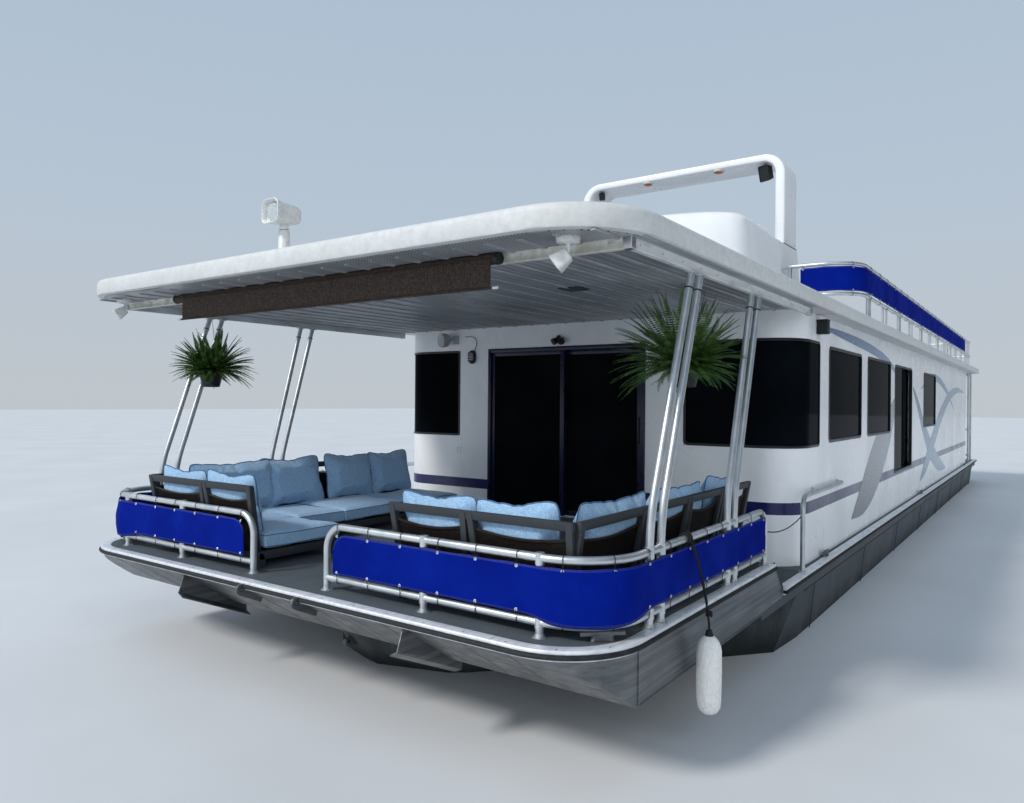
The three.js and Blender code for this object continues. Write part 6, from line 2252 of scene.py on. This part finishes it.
# Lays a copy of a pattern: its width, height and thickness follow the three given directions
def lay_cushion(name, master, centre, across, up, out, size, replaces, rest=None, seed=0.0,
                piping=0.005):
    points, faces, seams = MASTERS[master]
    spans = [extent(points, axis) for axis in range(3)]
    scale = [size[axis] / (high - low) for axis, (low, high) in enumerate(spans)]
    middle = [(low + high) / 2 for low, high in spans]
    placed = []
    for p in points:
        a, b, c = [(p[axis] - middle[axis]) * scale[axis] for axis in range(3)]
        u, v = a / size[0], b / size[1]
        slump = 0.012 * noise.noise(Vector((u * 2.1 + seed, v * 2.1, seed * 3.7)))
        twist = 0.014 * noise.noise(Vector((u * 1.3, seed + 8.0, v * 1.3)))
        place = Vector(centre) + across * (a + slump * 0.6) + up * (b + slump) + out * (c + twist)
        if rest is not None and place.z < rest:
            place.z = rest + 0.15 * max(place.z - rest, -0.02) if master != "pad" else rest
        placed.append(place)
    cushion = Piece(name)
    cushion.faces(placed, faces, CUSHION_CLOTH)
    made_edges = Piece(f"{name}_piping")
    for seam in seams:
        path = [placed[i] for i in seam]
        made_edges.tube(path, piping, PIPING_CLOTH, sides=8, closed=True)
    made = cushion.finish(replaces=replaces, smooth=180)
    made_edges.finish(smooth=180)


RECLINE = math.radians(11.0)


def lay_pillow(name, seat, along, wide, leg, node, master="pillow", high=0.49, forward=0.0, turn=0.0,
               seed=0.0):
    side, _, x1, y0, _ = seat
    base_z = SEAT_TOP + SEAT_SOFT - 0.012
    lean = RECLINE + forward
    reach = 0.212 + forward * 0.3
    if leg == "ahead":
        across, out = Vector((1, 0, 0)), Vector((0, math.cos(lean), math.sin(lean)))
        up = Vector((0, -math.sin(lean), math.cos(lean)))
        foot = Vector((side * along, y0 + reach, base_z))
    else:
        across = Vector((0, 1, 0))
        out = Vector((-side * math.cos(lean), 0, math.sin(lean)))
        up = Vector((side * math.sin(lean), 0, math.cos(lean)))
        foot = Vector((side * (x1 - reach), along, base_z))
    if turn:
        spin = Matrix.Rotation(math.radians(turn), 3, out)
        across, up = spin @ across, spin @ up
    centre = foot + up * (high / 2)
    lay_cushion(name, master, centre, across, up, out, (wide, high, PILLOW_THICK), [node], rest=base_z,
                seed=seed)


def lay_pad(name, seat, x_range, y_range, node, seed):
    side = seat[0]
    x = side * (x_range[0] + x_range[1]) / 2
    y = (y_range[0] + y_range[1]) / 2
    size = (x_range[1] - x_range[0], y_range[1] - y_range[0], SEAT_SOFT + 0.008)
    lay_cushion(name, "pad", (x, y, SEAT_TOP + 0.0006 + size[2] / 2), Vector((1, 0, 0)), Vector((0, 1, 0)),
                Vector((0, 0, 1)), size, [node], rest=SEAT_TOP + 0.0006, seed=seed,
                piping=0.0035)


def make_cushions():
    sofas = {
        "port": (
            [((0.992, 1.535), (0.387, 1.157)), ((1.54, 2.298), (0.387, 1.157)),
             ((1.528, 2.298), (1.162, 1.855)), ((1.528, 2.298), (1.86, 2.515)),
             ((1.528, 2.298), (2.52, 3.183))], 2.0,
            (("front_pillow_1", 1.33, 0.64, {"seed": 0.4}),
             ("front_pillow_2", 1.97, 0.62, {"turn": -3, "seed": 1.7}),
             ("side_pillow_1", 0.885, 0.9, {"master": "long_pillow", "seed": 2.3}),
             ("side_pillow_2", 1.86, 0.88, {"master": "long_pillow", "seed": 3.1}),
             ("side_pillow_3", 2.74, 0.66, {"turn": 3, "seed": 4.9})),
        ),
        "starboard": (
            [((0.492, 1.075), (0.362, 1.132)), ((1.08, 1.838), (0.362, 1.132)),
             ((1.068, 1.838), (1.137, 1.71)), ((1.068, 1.838), (1.715, 2.58)),
             ((1.068, 1.838), (2.585, 3.443))], 12.0,
            (("front_pillow_1", 0.92, 0.66, {"seed": 5.2}),
             ("front_pillow_2", 1.6, 0.64, {"turn": 2, "seed": 6.6}),
             ("side_pillow_1", 1.0, 0.92, {"master": "long_pillow", "seed": 7.4}),
             ("side_pillow_2", 1.68, 0.74, {"high": 0.5, "forward": 0.06, "seed": 8.8}),
             ("side_pillow_3", 2.45, 0.68, {"turn": -2, "seed": 9.5}),
             ("side_pillow_4", 3.1, 0.64, {"turn": 1, "seed": 10.1})),
        ),
    }
    for name, (pads, first_seed, pillows) in sofas.items():
        node = f"sofa_cushions_{name}"
        for k, (across, along) in enumerate(pads):
            lay_pad(f"{name}_seat_pad_{k + 1}", SEATS[name], across, along, node, first_seed + k)
        for kind, along, wide, settings in pillows:
            leg = "ahead" if kind.startswith("front") else "beside"
            lay_pillow(f"{name}_{kind}", SEATS[name], along, wide, leg, node, **settings)


make_cushions()


# Hanging ferns: a pot on three wires, and arching fronds with paired leaflets

# Steps along a frond, and pairs of leaflets on it
FROND_STEPS = 14
LEAF_PAIRS = 30


def frond_path(length, lift, sag, turn, bow):
    path = []
    for i in range(FROND_STEPS + 1):
        t = i / FROND_STEPS
        out = 0.04 + length * t * math.cos(lift) * (1 - 0.12 * t)
        up = length * (t * math.sin(lift) - sag * t * t)
        sway = turn + bow * t * t
        path.append(Vector((out * math.cos(sway), out * math.sin(sway), up)))
    return path


def add_frond(piece, foot, path, leaf, seed):
    sizes = [0.0032 * (1 - 0.75 * i / FROND_STEPS) for i in range(FROND_STEPS + 1)]
    piece.tube([foot + p for p in path], sizes, FERN_LEAF, sides=3)
    points, faces, uv = [], [], []
    for k in range(LEAF_PAIRS):
        t = 0.1 + 0.9 * k / (LEAF_PAIRS - 1)
        at = t * FROND_STEPS
        i = min(int(at), FROND_STEPS - 1)
        here = path[i].lerp(path[i + 1], at - i)
        along = (path[i + 1] - path[i]).normalized()
        flat = along.cross(Vector((0, 0, 1))).normalized()
        over = flat.cross(along).normalized()
        length = leaf * (math.sin(math.pi * (0.1 + 0.9 * t) ** 0.75) * 0.9 + 0.1)
        for side in (1, -1):
            shake = 0.25 * noise.noise(Vector((k * 0.9, side * 3.1, seed)))
            reach = (flat * side + along * (0.35 + shake) - over * (0.25 + shake)).normalized()
            wide = along * (0.0075 + 0.004 * (1 - t))
            tip = foot + here + reach * length - Vector((0, 0, length * 0.18))
            mid = foot + here + reach * length * 0.5 + over * 0.003
            base = len(points)
            points += [foot + here - wide * 0.5, foot + here + wide * 0.5, mid - wide * 0.7,
                       mid + wide * 0.7, tip]
            faces += [(base, base + 1, base + 3, base + 2), (base + 2, base + 3, base + 4)]
            uv += [(t, 0), (t, 0), (t, 0.5), (t, 0.5), (t, 1)]
    piece.faces(points, faces, FERN_LEAF, uv)


# Turn and lift of the fronds follow two ratios that never repeat together
GOLDEN_ANGLE = 2.399963
PLASTIC_RATIO = 0.7548777


def make_fern(name, centre, count, spread, leaf, outward, seed):
    x, y, z = centre
    pot = Piece(f"{name}_pot")
    profile = [(0.0, 0.0), (0.078, 0.0), (0.085, 0.006), (0.104, 0.09), (0.12, 0.15), (0.134, 0.153),
               (0.136, 0.158), (0.136, 0.17), (0.132, 0.175), (0.124, 0.172), (0.118, 0.15), (0.0, 0.146)]
    pot.lathe(profile, (x, y, z), (0, 0, 1), BLACK_PLASTIC, 32)
    hook = ROOF_UNDER - 0.0003
    for k in range(3):
        turn = 2 * math.pi * k / 3
        foot = Vector((x + 0.127 * math.cos(turn), y + 0.127 * math.sin(turn), z + 0.155))
        pot.tube([foot, foot + Vector((0, 0, 0.02)), Vector((x, y, hook - 0.075))], 0.0018, SCREW_STEEL,
                 sides=6)
    crook = [Vector((x + 0.014 * math.sin(a), y, hook - 0.058 - 0.014 * math.cos(a))) for a in
             [0.4 * k for k in range(12)]]
    pot.tube(crook + [Vector((x, y, hook - 0.03)), Vector((x, y, hook))], 0.0028, SCREW_STEEL, sides=8)
    pot.finish(replaces=[name])
    leaves = Piece(f"{name}_fronds")
    crown = Vector((x, y, z + 0.17))
    for k in range(count):
        turn = k * GOLDEN_ANGLE + seed
        roll = noise.noise(Vector((k * 1.7, seed, 0.5)))
        side = max(0.0, math.cos(turn) * (1 if x > 0 else -1))
        lift = math.asin(1.09 * ((k * PLASTIC_RATIO) % 1.0) - 0.1)
        length = spread * (1 + 0.2 * roll + 0.42 * math.sin(lift)) * (1 - outward * side * math.cos(lift))
        sag = 0.32 - 0.1 * math.sin(lift) + 0.1 * roll
        path = frond_path(length, lift, sag, turn, 0.5 * noise.noise(Vector((2.5, seed, k * 1.3))))
        add_frond(leaves, crown, path, leaf, k * 0.37)
    leaves.finish(replaces=[name], outward=False, smooth=180)


make_fern("fern_port", (2.25, 2.2, 2.33), 152, 0.58, 0.044, 0.3, 0.7)
make_fern("fern_starboard", (-2.42, 1.11, 2.33), 145, 0.4, 0.036, 0.3, 2.1)


# Fender, its doubled line and the gate cord

LINE = 0.007
LINE_X = HALF_BEAM + 0.081
LINE_Y = 1.25
LINE_START = 0.7626
LINE_WRAP = PIPE + LINE + 0.0015


def make_fender():
    x, y, low = LINE_X, LINE_Y, 0.232
    body = Piece("fender_fleece_cover")
    profile = [(0.0, 0.0), (0.03, 0.002), (0.055, 0.016), (0.072, 0.04), (0.079, 0.08), (0.081, 0.14),
               (0.081, 0.4), (0.076, 0.43), (0.064, 0.462), (0.046, 0.484), (0.03, 0.496)]
    fine = []
    for (r0, h0), (r1, h1) in zip(profile, profile[1:]):
        steps = max(1, round((h1 - h0) / 0.012))
        fine += [(r0 + (r1 - r0) * k / steps, h0 + (h1 - h0) * k / steps) for k in range(steps)]
    fine.append(profile[-1])
    rings = []
    for radius, height in fine:
        ring = []
        for k in range(56):
            turn = 2 * math.pi * k / 56
            folds = 0.0022 * noise.noise(Vector((math.cos(turn) * 2.6, math.sin(turn) * 2.6, height * 9)))
            folds += 0.0012 * noise.noise(Vector((math.cos(turn) * 9, math.sin(turn) * 9, height * 26)))
            size = max(radius - 0.002 + folds, 0.0005)
            ring.append((x + size * math.cos(turn), y + size * math.sin(turn), low + height))
        rings.append(ring)
    body.skin(rings, FENDER_COVER)
    body.lathe([(0.0, 0.49), (0.028, 0.49), (0.026, 0.505), (0.022, 0.512), (0.02, 0.53), (0.0, 0.53)],
               (x, y, low), (0, 0, 1), BLACK_PLASTIC, 20)
    body.finish(replaces=["fender"], smooth=60)


make_fender()


# One strand: up from its start, then over the rail and round it, stepping aside by its own width each turn
def strand_path(start, aside):
    reach, low, turns = 0.0405, LINE_START, 1.7
    path = []
    for i in range(14):
        t = i / 14
        z = low + (RAIL_TOP - low) * t
        if z >= start - 0.001:
            x = LINE_X + (RAIL_SIDE + reach - LINE_X) * t ** 1.5
            path.append(Vector((x, LINE_Y + aside * (0.4 + 0.6 * t), z)))
    steps = round(turns * 16)
    for k in range(steps + 1):
        turn = 2 * math.pi * k / 16
        wide = reach if k < 3 else LINE_WRAP
        high = min(LINE_WRAP - 0.0012 + 0.001 * k, LINE_WRAP)
        slide = 0.0145 * k / 16 * (1 if aside > 0 else -1)
        path.append(Vector((RAIL_SIDE + wide * math.cos(turn), LINE_Y + aside + slide,
                            RAIL_TOP + high * math.sin(turn))))
    return path


def make_fender_line():
    for name, start, aside, replaces in (("fender_line_strand", LINE_START, 0.0, ["fender_line"]),
                                         ("fender_line_second_strand", 0.888, 0.0155, [])):
        path = strand_path(start, aside)
        strand = Piece(name)
        strand.tube(smooth_run(path, 0.012), LINE, BLACK_ROPE, sides=12)
        strand.finish(replaces=replaces, smooth=60)
    knots = Piece("fender_line_knots")
    coil = []
    for k in range(3 * 12 + 1):
        turn = 2 * math.pi * k / 12
        coil.append((HALF_BEAM + 0.077 + 0.0155 * math.cos(turn), LINE_Y + 0.005 + 0.021 * math.sin(turn),
                     0.85 + 0.032 * k / 36))
    knots.tube(coil, 0.0065, BLACK_ROPE, sides=8)
    over = []
    for k in range(11):
        turn = math.radians(-20 + 13 * k)
        over.append((RAIL_SIDE + (LINE_WRAP + 0.012) * math.cos(turn), LINE_Y - 0.03 + 0.082 * k / 10,
                     RAIL_TOP + (LINE_WRAP + 0.012) * math.sin(turn)))
    knots.tube(over, [0.004 + 0.003 * math.sin(math.pi * k / 10) for k in range(11)], BLACK_ROPE, sides=8)
    fixed = knots.finish(smooth=60)


make_fender_line()


# The gate cord sags by 60 mm between the rail's end post and the grab rail
def make_gate_cord():
    cord = Piece("gate_cord_line")
    start, end = RAIL_END + PIPE - 0.0006, HANDRAIL_FRONT - THIN_PIPE - 0.0003
    path = [Vector((RAIL_SIDE, start + t * (end - start), 1.15 - 0.06 * 4 * t * (1 - t)))
            for t in [i / 48 for i in range(49)]]
    cord.tube(path, 0.005, BLACK_ROPE, sides=12)
    made = cord.finish(replaces=["gate_cord"], smooth=60)
    hooks = Piece("gate_cord_hooks")
    for here, along in ((path[0], 1), (path[-1], -1)):
        hooks.lathe([(0.0, 0.0), (0.009, 0.0), (0.009, 0.014), (0.0075, 0.03), (0.0055, 0.036),
                     (0.0, 0.036)], here,
                    (0, along, -0.16), STAINLESS, 14)
    fixed = hooks.finish()


make_gate_cord()


# Stern: posts and rail, canvas, stair, drives and the floor of the cabin

STERN_RAIL_REAR = 22.42


def make_stern_rail():
    foot, side, front, rear = LEDGE + 0.0003, 2.6, 21.7, STERN_RAIL_REAR
    rail = Piece("stern_rail_tubes")
    for x in (-side, side):
        for y in (front, rear):
            rail.tube([(x, y, foot), (x, y, ROOF_UNDER - 0.0003)], PIPE, STAINLESS, sides=18)
            flange(rail, x, y, foot + 0.001, 0.05)
    for half in (-1, 1):
        for z, radius in ((1.5, PIPE), (0.76, THIN_PIPE)):
            run = bend([(half * side, front, z), (half * side, rear, z), (half * 0.7, rear, z)], [0.06], 10)
            rail.tube(run, radius, STAINLESS, sides=16)
        rail.tube([(half * 0.7, rear, foot), (half * 0.7, rear, 1.5)], PIPE, STAINLESS, sides=18)
        flange(rail, half * 0.7, rear, foot + 0.001, 0.05)
    rail.block(-side, side, rear - 0.015, rear + 0.015, ROOF_UNDER - 0.06, ROOF_UNDER - 0.0003, STAINLESS,
               0.004)
    rail.finish(replaces=["stern_rail"], smooth=50)


def make_stern_canvas():
    face = STERN_RAIL_REAR + 0.0265
    cloth = Piece("stern_canvas_sheet")
    columns, rows = 60, 24
    x0, x1, z0, z1 = -2.555, -0.745, 0.762, 1.49
    points, uv = [], []
    for i in range(columns + 1):
        for k in range(rows + 1):
            s, t = i / columns, k / rows
            held = math.sin(math.pi * s) * math.sin(math.pi * t)
            pull = 0.0035 * math.sin(s * math.pi * 6) ** 2 * (math.cos(math.pi * t) ** 6)
            wave = max(0.004 * held * noise.noise(Vector((s * 5, t * 2, 4.0))), -0.0004)
            points.append((x0 + (x1 - x0) * s, face + wave + pull * 0.4, z0 + (z1 - z0) * t))
            uv.append((s * (x1 - x0), t * (z1 - z0)))
    cloth.faces(points, grid_faces(columns, rows), CANVAS, uv)
    made = cloth.finish(replaces=["stern_canvas"], outward=False, smooth=60,
                        modifiers=[("SOLIDIFY", {"thickness": 0.0014, "offset": 0.0})])
    rings = Piece("stern_canvas_eyelets")
    for k in range(7):
        x = x0 + 0.03 + (x1 - x0 - 0.06) * k / 6
        for z in (z0 + 0.03, z1 - 0.03):
            rings.lathe([(0.004, 0.0), (0.009, 0.0), (0.009, 0.0022), (0.0065, 0.003), (0.004, 0.002)],
                        (x, face + 0.0009, z), (0, 1, 0), STAINLESS, 14)
    rings.finish()


def make_stair():
    x0, x1, y0, y1 = -1.9, -1.15, 20.98, 22.38
    rise = ROOF_TOP - LEDGE
    stair = Piece("stern_stair_steps")
    stringer = [(y1, LEDGE + 0.0003), (y1 - 0.16, LEDGE + 0.0003), (y0, ROOF_UNDER - 0.03),
                (y0 + 0.16, ROOF_UNDER - 0.03)]
    stair.prism(stringer, "x", x0, x0 + 0.03, HULL_PLATE, 0.004)
    stair.prism(stringer, "x", x1 - 0.03, x1, HULL_PLATE, 0.004)
    for i in range(1, 9):
        z = LEDGE + rise * i / 10
        y = y1 - 0.08 - (y1 - y0) * (z - LEDGE) / rise
        stair.block(x0 + 0.006, x1 - 0.006, y - 0.11, y + 0.11, z - 0.018, z + 0.014, HULL_PLATE, 0.003)
        stair.block(x0 + 0.04, x1 - 0.04, y - 0.1, y + 0.1, z + 0.013, z + 0.018, RUBBER, 0.0015)
    stair.finish(replaces=["aft_stair"], smooth=40)


def loft_leg(piece, stations, side_x, finish, steps=10):
    rings = []
    for z, front, back, half in stations:
        ring = []
        length = back - front
        for k in range(2 * steps):
            t = k / steps if k < steps else 2 - k / steps
            sign = 1 if k < steps else -1
            thick = half * 1.9 * math.sqrt(max(t, 0.0)) * (1 - t) ** 0.8 if 0 < t < 1 else 0.0
            ring.append((side_x + sign * min(thick, half), front + length * t, z))
        rings.append(ring)
    piece.skin(rings, finish)


# Steering axis of the drives, and height of the propeller shafts under the waterline
KINGPIN_Y = 22.12
SHAFT_Z = -0.64


def make_drives():
    for name, side in SIDES:
        x = side * 0.95
        drive = Piece(f"stern_drive_leg_{name}")
        drive.block(x - 0.055, x + 0.055, 22.065, 22.175, 0.066, 0.294, DRIVE_PAINT, 0.014)
        loft_leg(drive, [(-0.005, 22.07, 22.17, 0.03), (-0.08, 22.06, 22.21, 0.034),
                         (-0.3, 22.05, 22.34, 0.036), (-0.38, 22.05, 22.42, 0.036),
                         (-0.48, 22.06, 22.44, 0.034), (-0.58, 22.08, 22.42, 0.034),
                         (-0.7, 22.1, 22.33, 0.026), (-0.84, 22.13, 22.24, 0.014),
                         (-0.9, 22.17, 22.21, 0.008)],
                 x, DRIVE_PAINT)
        plate = rounded(x - 0.13, x + 0.13, 22.08, 22.66, 0.12, 0.04, 8)
        drive.prism(plate, "z", -0.4, -0.386, DRIVE_PAINT, 0.004)
        drive.lathe([(0.0, -0.075), (0.02, -0.07), (0.038, -0.05), (0.051, -0.02), (0.058, 0.03),
                     (0.058, 0.3), (0.054, 0.345), (0.0, 0.35)], (x, KINGPIN_Y, SHAFT_Z), (0, 1, 0),
                    DRIVE_PAINT, 28)
        drive.lathe([(0.0, -0.02), (0.02, -0.02), (0.02, 0.36), (0.0, 0.36)], (x, KINGPIN_Y, 0.0),
                    (0, 0, 1), STAINLESS, 20)
        for z in (0.1, 0.26):
            for a, b in ((-1, -1), (-1, 1), (1, -1), (1, 1)):
                drive.lathe([(0.0, 0.0), (0.008, 0.0), (0.007, 0.005), (0.0, 0.006)],
                            (x + a * 0.055, KINGPIN_Y + b * 0.035, z), (a, 0, 0), SCREW_STEEL, 8)
        drive.finish(body=f"drive_{name}", replaces=[f"drive_{name}"], smooth=45)
        screw = Piece(f"propeller_blades_{name}")
        centre = Vector((x, KINGPIN_Y + 0.426, SHAFT_Z))
        screw.lathe([(0.0, -0.07), (0.05, -0.07), (0.052, -0.062), (0.05, 0.0), (0.046, 0.045),
                     (0.04, 0.068), (0.03, 0.082), (0.016, 0.085), (0.0, 0.085)], centre, (0, 1, 0),
                    STAINLESS, 32)
        screw.lathe([(0.0, -0.0754), (0.016, -0.0754), (0.016, -0.06), (0.0, -0.06)], centre, (0, 1, 0),
                    STAINLESS, 16)
        for k in range(4):
            add_blade(screw, centre, k * math.pi / 2, side)
        screw.finish(body=f"propeller_{name}", replaces=[f"propeller_{name}"], smooth=50)


# One twisted blade: sections of (radius, chord, pitch angle) from the hub to the tip
def add_blade(piece, centre, turn, hand):
    rings = []
    for r, chord, pitch in ((0.036, 0.07, 0.95), (0.06, 0.096, 0.8), (0.09, 0.125, 0.65),
                            (0.12, 0.138, 0.54), (0.15, 0.128, 0.46), (0.17, 0.098, 0.42),
                            (0.181, 0.056, 0.4), (0.184, 0.02, 0.4)):
        ring = []
        for k in range(16):
            a = 2 * math.pi * k / 16
            u, w = math.cos(a) * chord / 2, math.sin(a) * 0.0035
            around = u * math.cos(pitch) - w * math.sin(pitch)
            along = u * math.sin(pitch) + w * math.cos(pitch)
            sweep = around / max(r, 0.05) + 0.12 * (r / 0.184) ** 2
            out = Vector((math.cos(turn + sweep * hand), 0, math.sin(turn + sweep * hand)))
            ring.append(centre + out * r + Vector((0, along, 0)))
        rings.append(ring)
    piece.skin(rings, STAINLESS)


def make_floor_inside():
    floor = Piece("cabin_floor_boards")
    floor.copy_node("cabin_floor", SOFFIT, bevel=0.002)
    floor.finish(replaces=["cabin_floor"], smooth=40)


make_stern_rail()
make_stern_canvas()
make_stair()
make_drives()
make_floor_inside()
